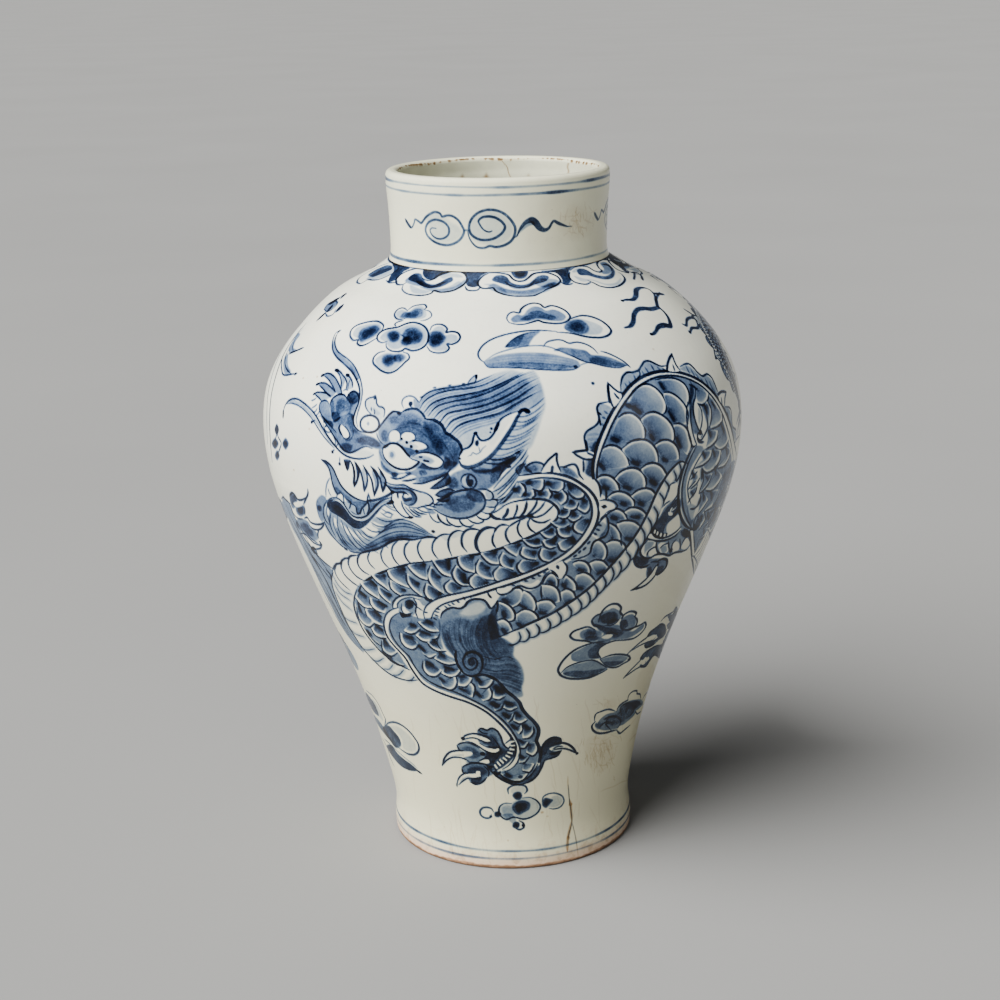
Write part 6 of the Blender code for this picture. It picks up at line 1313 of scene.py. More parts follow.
# ---- leaf-shaped clouds low at the left
start = len(B.log)
F("383,727 388,725.6 394,731.6 399.6,739 400.6,746 396,748 389.6,740.4 384,733", 0.78, 2.0)
F("390,727 396,726 404,731 411,738 415.6,745 415,751 409,751.6 403,748 402,740 396,732", 0.10, 3)
F("386.6,745.6 391,745 397,753 404,759.4 411,764.4 417,770.4 408,769.4 400,765.4 393.6,758.4 388.6,751", 0.82, 1.6)
F("365.4,692.4 370,697.4 375.4,706 378.6,716 374.4,713 369.4,704", 0.72, 1.6)
F("372,699 377,705 381,714 383,721 378,715", 0.12, 1.6)
F("372,714 376,717.4 382,725 388,735 393,743 386,736 379,727", 0.6, 1.6)
for t, w, d in (("385,726 388.4,723 394.4,722.4 401.4,725.2 408.4,730.8 414.4,738 418.4,745 418.4,751 415,754.4 409,754.4 403,751.2 397.6,747", 2.8, 0.85), ("391,745 397.6,751.6 404.4,757.6 412,763.6 417,768.4", 1.4, 0.5), ("366,690.4 372,695.4 378.2,704 382.4,713 385.4,720 384.4,725.6", 1.8, 0.85),
                ("365,692.4 369.6,704 374.6,716 380.6,727 388,737.4 396,746.6", 2.2, 0.9), ("382,738 387,748 390.4,758.4 394,766.4", 2.2, 0.9), ("384,739 390,744.4 395.6,751.4", 1.6, 0.7), ("400,765.6 408,769.6 416,771", 1.8, 0.8)):
    L(t, w, d)
L("415.6,769.6 421.8,774", 3.2, 1.1, (0.8, 0.3))
leaves = B.log[start:]

# ---- age: one brown crack up from the foot, crazing, rust on the foot
for t, w, d in (("568,776 568,784 568.8,792 569.4,800", 1.8, 0.55), ("569.4,799 570.6,805 571.2,813 572,822", 3.4, 0.85), ("571.6,821 570,829 568.2,837 567.6,845 567.4,852", 3.6, 0.85), ("572,821 574,830 576,839 577.2,847 578.4,856", 1.6, 0.5)):
    L(t, w, d, (0.3, 0.3), kind="stain", soft=1.4)
for t, w, d in (("568.4,785 568.8,792 569.4,800 571,811 572,822 569,834 567.6,844", 0.9, 0.55), ("572,822 575,834 577,846", 0.8, 0.3)):
    L(t, w, d, (0.3, 0.3))
for x, y, w, d in ((570.6, 804.4, 4.6, 0.8), (568.4, 838, 4.2, 0.7), (542.2, 812.4, 3.2, 0.7), (547.4, 816.4, 2.4, 0.4), (303, 378, 2.0, 0.7), (317, 376.6, 2.0, 0.7), (293.6, 470, 2.2, 0.7), (309, 429, 2.0, 0.6), (653.6, 349, 2.6, 0.4), (508, 840.6, 2.0, 0.5)):
    B.dab(x, y, w, d, kind="stain")
crack = np.random.default_rng(12)
for t in ("600,792 606,789 614,786.4 622,782 630,780", "629,742 634,736 640,730", "628,729 633,722 638,716"):
    L(t, 1.2, 0.26 + 0.14 * crack.random(), (0.3, 0.3), kind="stain", soft=1.6)
crackle(B, lambda p: p, 600, 751, 22, 26, 90, 0.34, 0.85)
crackle(B, lambda p: p, 611, 730, 16, 12, 26, 0.22, 0.6)
crackle(B, lambda p: p, 604, 704, 14, 6, 16, 0.24, 0.3)
for _ in range(84):
    x, y = crack.uniform(404, 600), crack.uniform(700, 858)
    long, tilt = crack.uniform(7, 22), crack.normal() * 0.18 + 0.16
    t = np.linspace(-1, 1, 7)
    B.line(np.stack([x + tilt * long * t + crack.normal(size=7) * 0.4, y + long * t], axis=1), 1.0, crack.uniform(0.12, 0.30), kind="stain", soft=1.2)
for t, d in (("627,745 633,731 639,718 645,706 648,712 642,728 636,742 630,752", 0.08), ("604,706 609,699.6 616,700 616,706 609,709", 0.14), ("586,740 600,736 612,742 612,762 600,772 588,764", 0.12), ("546,380 566,374 580,378 570,388 552,390", 0.03),
             ("655,560 680,570 690,590 680,600 660,585", 0.05), ("640,672 652,664 656,672 648,690 641,700 636,690", 0.10)):
    F(t, d, 6, kind="stain")

# ================================================================ round the back
def A(text):
    """Places on the side of the jar: degrees round it and millimetres down from the neck."""
    return np.array([(math.radians(float(a)), float(b) / 1000) for a, b in (q.split(",") for q in text.split())])


def stroke(p, w, d=0.95, thin=(0.5, 0.5), soft=1.0, kind="cobalt"):
    """A brush line through places on the wall; thin is how much of its width it starts and ends with."""
    p = np.array(p, float)
    t = np.linspace(0, 1, len(p))
    env = np.minimum(1, thin[0] + (1 - thin[0]) * t / 0.15) * np.minimum(1, thin[1] + (1 - thin[1]) * (1 - t) / 0.25)
    B.put(("line", p, 0.5 * w * PX * env, np.full(len(p), float(d)), False, kind, soft * 0.00055))


def wash(p, d, soft=2.0, grad=None):
    B.put(("fill", np.array(p, float), d, soft * PX, grad, "cobalt", "wash"))


def bare_again(p, soft=0.8):
    B.put(("fill", np.array(p, float), 1.0, soft * PX, None, "cobalt", "clear"))


class Strip:
    """A strip laid along a path on the wall: u runs along it and v across it, in metres."""

    def __init__(self, places, widths):
        q = smooth(np.hstack([places * [0.17, 1.0], np.array(widths, float)[:, None] * 0.001]), 24)
        self.theta, self.s, self.half = q[:, 0] / 0.17, q[:, 1], q[:, 2]
        dx, dy = np.gradient(self.theta) * np.interp(self.s, body.s, body.r), np.gradient(self.s)
        n = np.hypot(dx, dy)
        self.u = np.concatenate([[0], np.cumsum((n[1:] + n[:-1]) / 2)])
        self.tx, self.ty, self.end = dx / n, dy / n, float(self.u[-1] + n[-1] / 2)

    def wide(self, u):
        return np.interp(u, self.u, self.half)

    def at(self, u, v):
        th, s, tx, ty = (np.interp(u, self.u, k) for k in (self.theta, self.s, self.tx, self.ty))
        n = np.hypot(tx, ty)
        s2 = np.clip(s - v * tx / n, 0, body.s[-1])
        return np.stack([th + v * ty / n / np.interp(s2, body.s, body.r), s2], axis=-1)

    def side(self, k, u0=0.0, u1=None, extra=0.0):
        u = np.linspace(u0, self.end if u1 is None else u1, max(8, int(((self.end if u1 is None else u1) - u0) / 0.003)))
        return self.at(u, k * self.wide(u) + extra)


touch = np.random.default_rng(505)


def one_scale(strip, u, v, long, wide):
    a = np.radians(np.linspace(-108, 108, 13))
    w1, w2 = long * touch.uniform(0.93, 1.07), wide * touch.uniform(0.94, 1.06)
    rim = strip.at(u + w1 * np.cos(a), v + w2 * np.sin(a))
    inner = strip.at(u + 0.78 * w1 * np.cos(a), v + 0.76 * w2 * np.sin(a))
    root = strip.at(np.array([u - 0.30 * w1, u - 0.02 * w1]), np.array([v, v]))
    bare_again(rim)
    d = touch.uniform(0.30, 0.42)
    wash(inner, d, 3.0, (np.stack([rim[6], root[0]]), d * 0.5, d * 1.9))
    B.put(("line", root, np.full(2, 0.30 * w2), np.full(2, touch.uniform(0.6, 0.9)), False, "cobalt", 0.35 * w2))
    stroke(rim, 2.3, 0.95)


def fin(strip, u0, u1, lobe, tall, gap=0.0026, way=1.0):
    """A scalloped membrane with a thorn at every third lobe."""
    u, k = u0, 0
    while u < u1:
        h = float(strip.wide(u))
        f = (max(h, 0.003) / 0.034) ** 0.55
        step, high = f * lobe * touch.uniform(0.8, 1.2), f * tall * touch.uniform(0.8, 1.15)
        if k % 3 == 2:
            p = strip.at(u + step * np.array([0.0, 0.14, 0.34, 0.60, 0.52, 0.62, 0.80]), way * (h + gap + high * np.array([0.0, 0.55, 1.0, 1.65, 1.0, 0.45, 0.0])))
            bare_again(p, 0.8)
            wash(p, 0.08, 1.5)
            stroke(p, 2.4, 0.98, (0.8, 0.8))
            stroke(p[[0, 2]] * 0.5 + p[[6, 4]] * 0.5, 2.0, 0.6)
            u += step * 0.8
        else:
            t = np.linspace(0, 1, 11)
            top = strip.at(u + step * t, way * (h + gap + high * (0.12 + 0.88 * np.sin(math.pi * np.clip(t * 1.12, 0, 1)) ** 0.6)))
            low = strip.at(u + step * t[::-1], way * (h + gap + 0.0 * t))
            wash(np.vstack([top, low]), 0.48, 1.8)
            stroke(top, 2.2, 0.95)
            for f in (0.25, 0.5, 0.72):
                stroke(strip.at(u + step * (f + np.array([0.0, 0.05, 0.10])), way * (h + gap + high * np.array([0.1, 0.4, 0.7]))), 1.8, 0.8, (1, 0.3))
            u += step
        k += 1


def middle(ops):
    p = np.vstack([o[1] for o in ops])
    return tuple((p.min(0) + p.max(0)) / 2)


def again(ops, place, size=1.0, turn=0.0, mirror=False, strength=1.0):
    B.stamp(ops, middle(ops), tuple(A(place)[0]), size, turn, mirror, strength)


# ---- the collar goes on all the way round
step = math.radians(40.0)
for k, ops in ((3, collar[0]), (4, collar[1]), (5, collar[2]), (6, collar[0]), (7, collar[1])):
    src = middle(ops)
    B.stamp(ops, src, (middle(collar[0])[0] + k * step, src[1]), 0.96 + 0.02 * touch.normal(), 0.02 * touch.normal())

# ---- the body passes on round the right side, dips, turns over at the back and comes forward again as a tail
near = body.at([(694.5, 306), (706, 331), (715, 349.5), (723, 365.6), (729.6, 378), (735, 391), (739, 404)])
half = np.array([11.5, 11.5, 11.0, 10.0, 8.0, 5.5, 2.5])
near[:, 0] += 0.94 * half * 0.001 / np.interp(near[:, 1], body.s, body.r)
trunk = Strip(np.vstack([A("-28,229 -8,268 18,312 48,334 78,326 104,298 121,260 127,220 120,182 103,150 82,126 60,106 40,90 24,78 12,76"), near]),
              [42, 38, 36, 34, 32, 29.5, 27, 24.5, 22, 20, 18, 16, 14.5, 13.5, 12.5] + list(half))
front_end = 0.022
for a in np.arange(front_end, trunk.end, 0.024):
    b = min(a + 0.027, trunk.end)
    bare_again(np.vstack([trunk.side(1.07, a, b), trunk.side(-1.05, a, b)[::-1]]), 1.2)
u = np.linspace(front_end, trunk.end, 200)
h = trunk.wide(u)
B.put(("line", trunk.at(u, h * 0.29), h * 0.71, np.full(200, 0.46), False, "cobalt", 0.0012))
fin(trunk, front_end + 0.006, trunk.end * 0.86, 0.0215, 0.0092)
places, u, row = [], front_end + 0.004, 0
while u < trunk.end - 0.004:
    h = float(trunk.wide(u))
    pitch = 1.42 * h / 3
    for k in range(4):
        v = -0.42 * h + pitch * (k + (0.0 if row % 2 else 0.5))
        if v < h * 0.97:
            places.append((u, v, pitch * 0.86, pitch * 0.56))
    u += max(pitch * 0.74, 0.0022)
    row += 1
for u, v, long, wide in places[::-1]:
    one_scale(trunk, u + touch.normal() * 0.0004, v, long, wide)
# the belly is pale under its plates
for a in np.arange(front_end, trunk.end, 0.024):
    b = min(a + 0.027, trunk.end)
    bare_again(np.vstack([trunk.side(-0.43, a, b), trunk.side(-1.0, a, b)[::-1]]), 0.8)
u = front_end + 0.002
while u < trunk.end - 0.004:
    h = float(trunk.wide(u))
    k = np.linspace(0, 1, 7)
    stroke(trunk.at(u + 0.16 * h * np.sin(math.pi * k) + 0.05 * h * k, -h * (0.43 + 0.55 * k)), 1.8, 0.82, (0.8, 0.4))
    u += max(0.2 * h, 0.0026) * touch.uniform(0.9, 1.12)
stroke(trunk.side(-0.43, front_end), 2.2, 0.95)
stroke(trunk.side(-1.0, front_end), 2.8, 0.98)
for a in np.arange(front_end, trunk.end, 0.03):
    b = min(a + 0.033, trunk.end)
    bare_again(np.vstack([trunk.side(1.0, a, b), trunk.side(1.0, a, b, 0.0024)[::-1]]), 0.8)
stroke(trunk.side(1.0, front_end), 2.4, 1.0)
stroke(trunk.side(1.0, front_end, None, 0.0024), 3.0, 1.0)
# flames at the end of the tail and along its last bend
fin(trunk, trunk.end * 0.86, trunk.end * 0.98, 0.0215, 0.0092)
fin(trunk, trunk.end * 0.80, trunk.end * 0.98, 0.0215, 0.0085, 0.0, -1.0)
for k, (turn, long) in enumerate(((-0.9, 0.020), (-0.5, 0.028), (-0.1, 0.034), (0.3, 0.030), (0.7, 0.022))):
    t = np.linspace(0, 1, 9)
    x, y = long * t * math.sin(turn) + 0.004 * np.sin(5 * t + k), long * t * math.cos(turn)
    p0 = trunk.at(trunk.end, 0.0)
    p = np.stack([p0[0] + (x - 0.002 * turn) / 0.19, p0[1] + y], axis=1)
    B.put(("line", p, 0.0022 * (1 - t) ** 0.7 + 0.0003, np.full(9, 0.55), False, "cobalt", 0.0006))
    stroke(p, 1.8, 0.95, (1, 0.2))

# ---- a hind leg hangs from the dip, and another reaches forward to the claws at the right
B.stamp(whole_leg, middle(whole_leg), tuple(A("50,414")[0]), 0.92, 0.1, True)


def limb(places, widths):
    arm = Strip(A(places), widths)
    for a in np.arange(0, arm.end, 0.024):
        b = min(a + 0.027, arm.end)
        bare_again(np.vstack([arm.side(1.05, a, b), arm.side(-1.05, a, b)[::-1]]), 1.2)
    q = np.linspace(0, arm.end, 60)
    B.put(("line", arm.at(q, 0 * q), arm.wide(q), np.full(60, 0.44), False, "cobalt", 0.0010))
    marks, q, row = [], 0.003, 0
    while q < arm.end - 0.006:
        w = float(arm.wide(q))
        for k in range(3):
            v = -w + w * 2 / 3 * (k + (0.25 if row % 2 else 0.75))
            if abs(v) < w * 0.9:
                marks.append((q, v, w * 0.52, w * 0.36))
        q += w * 0.46
        row += 1
    for q, v, long, wide in marks[::-1]:
        one_scale(arm, q, v, long, wide)
    stroke(arm.side(1.0), 2.6, 1.0)
    stroke(arm.side(-1.0), 3.2, 1.0)
    fin(arm, arm.end * 0.1, arm.end * 0.8, 0.022, 0.008, 0.0006)
    return arm


limb("27,352 14,378 2,385 -9,374 -17,360", (14, 13, 12, 12.5, 14))
limb("200,372 186,352 175,314 176,274 186,248 197,237", (13, 13, 12, 11, 9, 7))

# ---- clouds among the coils
again(cloud_five, "84,220", 1.05, 0.15, True)
again(cloud_long, "34,206", 0.85, 0.1, True)
again(cloud_long, "160,90", 1.0, -0.05)
again(cloud_five, "153,178", 0.95, -0.3)
again(cloud_low, "103,396", 1.05, 0.0, True)
again(cloud_low, "22,452", 0.8, 0.1, True)
again(cloud_dots, "88,478", 0.95, 0.1, True)
again(cloud_low, "148,330", 1.0, 0.1)
again(cloud_five, "158,428", 0.7, 0.5)
again(cloud_dots, "126,478", 0.85, 0.5)
again(cloud_five, "66,58", 0.6, 0.4, True)
again(cloud_dots, "114,66", 0.8, -0.2)
again(cloud_dots, "154,250", 0.8, 0.2)

# ---- the round pearl whose flames come over the shoulder at the right
pearl = B.wall.at([(676, 283)])[0]
pearl_r = float(np.interp(pearl[1], body.s, body.r))


def round_pearl(a, rad):
    return np.stack([pearl[0] + rad * np.cos(a) / pearl_r, pearl[1] + rad * np.sin(a)], axis=1)


turn_round = np.linspace(0, 2 * math.pi, 49)
bare_again(round_pearl(turn_round, 0.0178))
wash(round_pearl(turn_round[:-1], 0.0148), 0.60, 3.0)
bare_again(round_pearl(turn_round[:-1], 0.0046), 2.0)
stroke(round_pearl(turn_round, 0.0175), 2.4, 0.95, (1, 1))
swirl = np.linspace(0.6, 4.4 * math.pi, 80)
stroke(round_pearl(swirl, 0.0030 + 0.0108 * (swirl / swirl[-1])), 2.2, 0.9)
for a0 in (2.3, 3.0, 3.7, 4.5, 5.4, 0.2, 1.1):
    t = np.linspace(0, 1, 8)
    stroke(round_pearl(a0 + 0.25 * np.sin(4 * t), 0.0195 + 0.012 * t), 3.0, 0.9, (1, 0.2))

# ---- fine rusty crazing low on the wall at the sides and the back
for _ in range(170):
    a, down, long = math.radians(touch.uniform(-26, 206)), touch.uniform(0.30, 0.515), touch.uniform(0.004, 0.013)
    t = np.linspace(-1, 1, 7)
    stroke(np.stack([a + (0.2 * long * t + touch.normal(size=7) * 0.0003) / 0.11, down + long * t], axis=1), 1.0, touch.uniform(0.06, 0.16), soft=1.2, kind="stain")
# END PAINT

# ================================================================ solid pieces
def waves(theta, s, seed, terms, low, high, around):
    """A smooth unevenness: a sum of slow waves, the same each time."""
    g = np.random.default_rng(seed)
    out = np.zeros((len(s), len(theta)), np.float32)
    for _ in range(terms):
        m = g.integers(0, around + 1)
        k = g.uniform(low, high)
        out += (np.cos(m * theta + g.uniform(0, 6.28))[None] * np.cos(2 * math.pi * k * s + g.uniform(0, 6.28))[:, None]).astype(np.float32)
    return out / math.sqrt(terms)


LAYERS = ("cobalt", "stain", "bare", "inside")


class Turned:
    """A closed piece from blocks of rows, each row a turn round the axis. The solid lies to the right of the way
    the rows go: outwards on top of a floor, up an inner wall, down an outer wall, inwards underneath."""

    def __init__(self, name, theta):
        self.name, self.theta, self.blocks = name, theta, []

    def block(self, curve, push=0.0, fine=False, share=0.3, shift=None, **layers):
        """curve: (radius, height) rows. push: how far each point is moved off the section, outwards.
        shift: (radius, height) changes for each point."""
        self.blocks.append(dict(curve=np.array(curve, float), push=push, fine=fine, share=1.0 if fine else share,
                                shift=shift, layers=layers))

    def build(self, axis_ends=False):
        th, n = self.theta, len(self.theta)
        cos, sin = np.cos(th)[None], np.sin(th)[None]
        rows, layers = [], {k: [] for k in LAYERS}
        of_block, run = [], []
        for number, b in enumerate(self.blocks):
            c = b["curve"]
            t = np.gradient(c, axis=0)
            t /= np.maximum(np.linalg.norm(t, axis=1, keepdims=True), 1e-12)
            r = np.broadcast_to(c[:, :1] - t[:, 1:] * b["push"], (len(c), n))
            z = np.broadcast_to(c[:, 1:] + t[:, :1] * b["push"], (len(c), n))
            if b["shift"] is not None:
                r, z = r + b["shift"][0], z + b["shift"][1]
            rows.append(np.stack([r * cos + lean(z), r * sin, z], axis=-1))
            for k in LAYERS:
                v = np.asarray(b["layers"].get(k, 0.0), np.float32)
                layers[k].append(np.broadcast_to(v[:, None] if v.ndim == 1 else v, (len(c), n)))
            of_block += [number] * len(c)
            along = arc(c)
            run += list(along / max(along[-1], 1e-9) * 0.985)
        co = np.concatenate(rows).reshape(-1, 3)
        m = len(co) // n
        of_block, run = np.array(of_block), np.array(run)
        ii, j = np.meshgrid(np.arange(m - 1 if axis_ends else m), np.arange(n), indexing="ij")
        i2, j2 = (ii + 1) % m, (j + 1) % n
        loops = np.stack([ii * n + j, i2 * n + j, i2 * n + j2, ii * n + j2], axis=-1).ravel()
        starts = np.arange(ii.size) * 4
        uv = self.layout(of_block, run, ii.ravel(), j.ravel(), m)
        if axis_ends:
            co = np.vstack([co, [[float(lean(co[0, 2])), 0, co[0, 2]], [float(lean(co[-1, 2])), 0, co[-1, 2]]]])
            j = np.arange(n)
            jn = (j + 1) % n
            fans = np.concatenate([np.stack([np.full(n, m * n), j, jn], axis=1),
                                   np.stack([np.full(n, m * n + 1), (m - 1) * n + jn, (m - 1) * n + j], axis=1)])
            starts = np.concatenate([starts, len(loops) + np.arange(2 * n) * 3])
            loops = np.concatenate([loops, fans.ravel()])
            rad = np.where(fans < m * n, 0.018, 0.0)
            ang = th[fans % n]
            middle = np.where(np.arange(2 * n) < n, 0.03, 0.08)[:, None]
            uv = np.vstack([uv, np.stack([middle + rad * np.cos(ang), 0.975 + rad * np.sin(ang)], axis=-1).reshape(-1, 2)])
        me = bpy.data.meshes.new(self.name)
        me.vertices.add(len(co))
        me.vertices.foreach_set("co", co.astype(np.float32).ravel())
        me.loops.add(len(loops))
        me.loops.foreach_set("vertex_index", loops.astype(np.int32))
        me.polygons.add(len(starts))
        me.polygons.foreach_set("loop_start", starts.astype(np.int32))
        me.update(calc_edges=True)
        for k, got in layers.items():
            v = np.concatenate([p.ravel() for p in got])
            if axis_ends:
                v = np.concatenate([v, [v[0], v[-1]]])
            me.attributes.new(k, "FLOAT", "POINT").data.foreach_set("value", v.astype(np.float32))
        me.uv_layers.new(name="OFBake").uv.foreach_set("vector", uv.astype(np.float32).ravel())
        me.shade_smooth()
        me.set_sharp_from_angle(angle=math.radians(40))
        ob = bpy.data.objects.new(self.name, me)
        bpy.context.scene.collection.objects.link(ob)
        return ob

    def layout(self, of_block, run, fi, fj, m):
        """A flat layout: the painted outside as a front and a back strip, the rest as narrower ones."""
        pad, y = 0.004, 0.004
        size = [(arc(b["curve"])[-1] + 0.0005) * b["share"] for b in self.blocks]
        strips = [2 if b["fine"] else 1 for b in self.blocks]
        room = 0.945 - pad * (1 + sum(strips))
        whole = sum(v * k for v, k in zip(size, strips))
        tall, lows = [], []
        for v, k in zip(size, strips):
            tall.append(v / whole * room)
            lows.append((y, y + tall[-1] + pad))
            y += (tall[-1] + pad) * k
        th = np.append(self.theta, self.theta[0] + 2 * math.pi)
        split = int(np.searchsorted(self.theta, th[0] + math.pi))
        fine = np.array([b["fine"] for b in self.blocks])[of_block[fi]]
        back = fine & (fj >= split)
        lo = np.where(back, th[split], th[0])
        hi = np.where(fine & ~back, th[split], th[-1])
        v0 = np.array(lows)[of_block[fi], back.astype(int)]
        h = np.array(tall)[of_block[fi]]
        after = (fi + 1) % m
        f1 = np.where((of_block[after] == of_block[fi]) & (after > fi), run[after], 1.0)
        out = np.zeros((len(fi), 4, 2))
        for c, (di, dj) in enumerate(((0, 0), (1, 0), (1, 1), (0, 1))):
            out[:, c, 0] = 0.004 + 0.992 * (th[fj + dj] - lo) / (hi - lo)
            out[:, c, 1] = v0 + h * (f1 if di else run[fi])
        return out.reshape(-1, 2)


BODY_WALL = np.interp(BODY_FINE[:, 1], [0.0, 0.030, 0.100, 0.200], [WALL_LOW, WALL_LOW, 0.0118, WALL_BODY])
along = np.gradient(BODY_FINE, axis=0)
along /= np.linalg.norm(along, axis=1, keepdims=True)
BODY_IN = BODY_FINE + np.stack([-along[:, 1], along[:, 0]], axis=1) * BODY_WALL[:, None]
MOUTH_R = NECK_SEAT[0] - WALL_NECK - 0.0012
INNER_STEP = 0.0022


def inner_rows(low, high, spacing):
    return evenly(BODY_IN[(BODY_IN[:, 1] >= low) & (BODY_IN[:, 1] <= high)], spacing)


def grooves(curve, pitch, deep, seed):
    """Shallow finger grooves left by throwing, which climb a little as they go round."""
    s = arc(np.array(curve, float))
    g = np.sin(2 * math.pi * s[:, None] / pitch + THETA[None]) * (0.7 + 0.3 * waves(THETA, s, seed, 6, 2, 9, 3))
    return deep * (g + 0.7 * waves(THETA, s, seed + 1, 8, 3, 20, 5))


def skin(s, seed, deep=0.00012):
    """The slight unevenness of a glazed outside, never standing out past the section."""
    u = waves(THETA, s, seed, 14, 2, 12, 4) + 0.06 * np.sin(2 * math.pi * s[:, None] / 0.0095 + THETA[None])
    return -deep * (1.2 + np.clip(u, -2.2, 1.2)) * np.clip((s - s[0]) / 0.012, 0, 1)[:, None] * np.clip((s[-1] - s) / 0.006, 0, 1)[:, None]


joint = int(np.argmin(np.abs(body.z - BELLY_JOINT_Z)))
joint_z, joint_r = float(body.z[joint]), float(body.r[joint])
joint_in = float(np.interp(joint_z, BODY_IN[:, 1], BODY_IN[:, 0]))

# ---- lower bowl: floor, inner wall, joint face, painted outside, foot ring, recess
low = Turned("lower_bowl_glazed", THETA)
floor_rows = evenly(spline([(0.0020, FLOOR_TOP), (0.0300, FLOOR_TOP), (0.0500, FLOOR_TOP), (0.0660, FLOOR_TOP + 0.0001),
                            (0.0745, FLOOR_TOP + 0.0016), (0.0800, FLOOR_TOP + 0.0052), (0.0838, 0.0385)], 400), INNER_STEP)
low.block(floor_rows, push=grooves(floor_rows, 0.011, 0.00025, 21) - 0.0003, inside=1.0)
rows_in = inner_rows(0.0400, joint_z - 0.0006, INNER_STEP)
low.block(rows_in, push=(grooves(rows_in, 0.012, 0.0003, 23) - 0.0003) * np.clip((joint_z - rows_in[:, 1]) / 0.01, 0, 1)[:, None], inside=1.0)
face = np.linspace(joint_in + 0.0004, joint_r - 0.0008, 9)
low.block(np.stack([face, np.full(9, joint_z - 0.00018)], axis=1), bare=1.0)
outer = np.stack([body.r[joint:], body.z[joint:]], axis=1)
g = np.random.default_rng(40)
ragged = sum(g.uniform(0.3, 1) * np.sin(k * THETA + g.uniform(0, 6.28)) for k in (5, 9, 14, 23, 37, 58, 91)) / 4
bare_line = 0.0040 + 0.0012 * ragged
bare = np.clip((bare_line[None] - outer[:, 1:]) / 0.0007, 0, 1)
low.block(outer, push=skin(body.s[joint:], 11), fine=True, cobalt=body.maps["cobalt"][joint:] * (1 - bare),
          stain=body.maps["stain"][joint:], bare=bare)
under = evenly(np.array([(0.0966, 0.00004), (0.0858, 0.00004)]), 0.0009)
low.block(under, shift=(0.0, np.abs(waves(THETA, under[:, 0], 13, 24, 60, 400, 90)) * 0.00010), bare=1.0)
wall_in = evenly(spline([(0.0848, 0.0004), (0.0830, 0.0022), (0.0806, 0.0082), (0.0785, 0.0105), (0.0755, 0.01095)], 200), 0.0008)
low.block(wall_in, bare=0.95)
low.block(evenly(np.array([(0.0745, 0.0110), (0.0020, 0.0110)]), 0.0025), bare=0.3, inside=0.6)
lower_ob = low.build(axis_ends=True)

# ---- upper bowl: painted outside, joint face, inner wall, mouth, seat
up = Turned("upper_bowl_glazed", THETA)
outer = np.stack([body.r[:joint + 1], body.z[:joint + 1]], axis=1)
fade = skin(body.s[:joint + 1], 12)
up.block(outer, push=fade, fine=True, cobalt=body.maps["cobalt"][:joint + 1], stain=body.maps["stain"][:joint + 1])
up.block(np.stack([face[::-1], np.full(9, joint_z + 0.00018)], axis=1), bare=1.0)
top_in = BODY_IN[(BODY_IN[:, 1] > joint_z + 0.0008) & (BODY_IN[:, 0] > MOUTH_R + 0.0042) & (BODY_IN[:, 1] > 0.30)]
rows_in = evenly(top_in, INNER_STEP)
up.block(rows_in, push=(grooves(rows_in, 0.012, 0.0003, 25) - 0.0003) * np.clip((rows_in[:, 1] - joint_z) / 0.01, 0, 1)[:, None], inside=1.0)
end = rows_in[-1]
up.block(evenly(spline([(end[0] - 0.0010, end[1] + 0.0005), (MOUTH_R + 0.0012, end[1] + 0.0021), (MOUTH_R + 0.0002, end[1] + 0.0046),
                        (MOUTH_R, NECK_SEAT[1] - 0.0006)], 200), 0.0011), inside=1.0)
up.block(np.stack([np.linspace(MOUTH_R + 0.0005, NECK_SEAT[0] - 0.0007, 8), np.full(8, NECK_SEAT[1] - 0.0001)], axis=1), bare=1.0)
upper_ob = up.build()

# ---- neck: lip and painted outside, seat, inner wall, inner half of the lip
nk = Turned("neck_glazed", THETA)
outer = np.stack([neck.r, neck.z], axis=1)
lip_in = LIP_RADIUS - WALL_NECK
nk.block(outer, push=skin(neck.s, 31, 0.00008), fine=True, cobalt=neck.maps["cobalt"], stain=neck.maps["stain"])
nk.block(np.stack([np.linspace(NECK_SEAT[0] - 0.0007, MOUTH_R + 0.0005, 8), np.full(8, NECK_SEAT[1] + 0.0001)], axis=1), bare=1.0)
inner_neck = evenly(spline([(MOUTH_R, 0.4814), (MOUTH_R - 0.0004, 0.4960), (MOUTH_R + 0.0006, 0.5200), (lip_in - 0.0001, 0.5380),
                            (lip_in, HEIGHT - LIP_ROUND)], 300), INNER_STEP * 0.6)


def apart(a):
    """How far each column stands from a place round the axis, in metres along the inside of the neck."""
    return 0.0772 * ((THETA - math.radians(a) + math.pi) % (2 * math.pi) - math.pi)


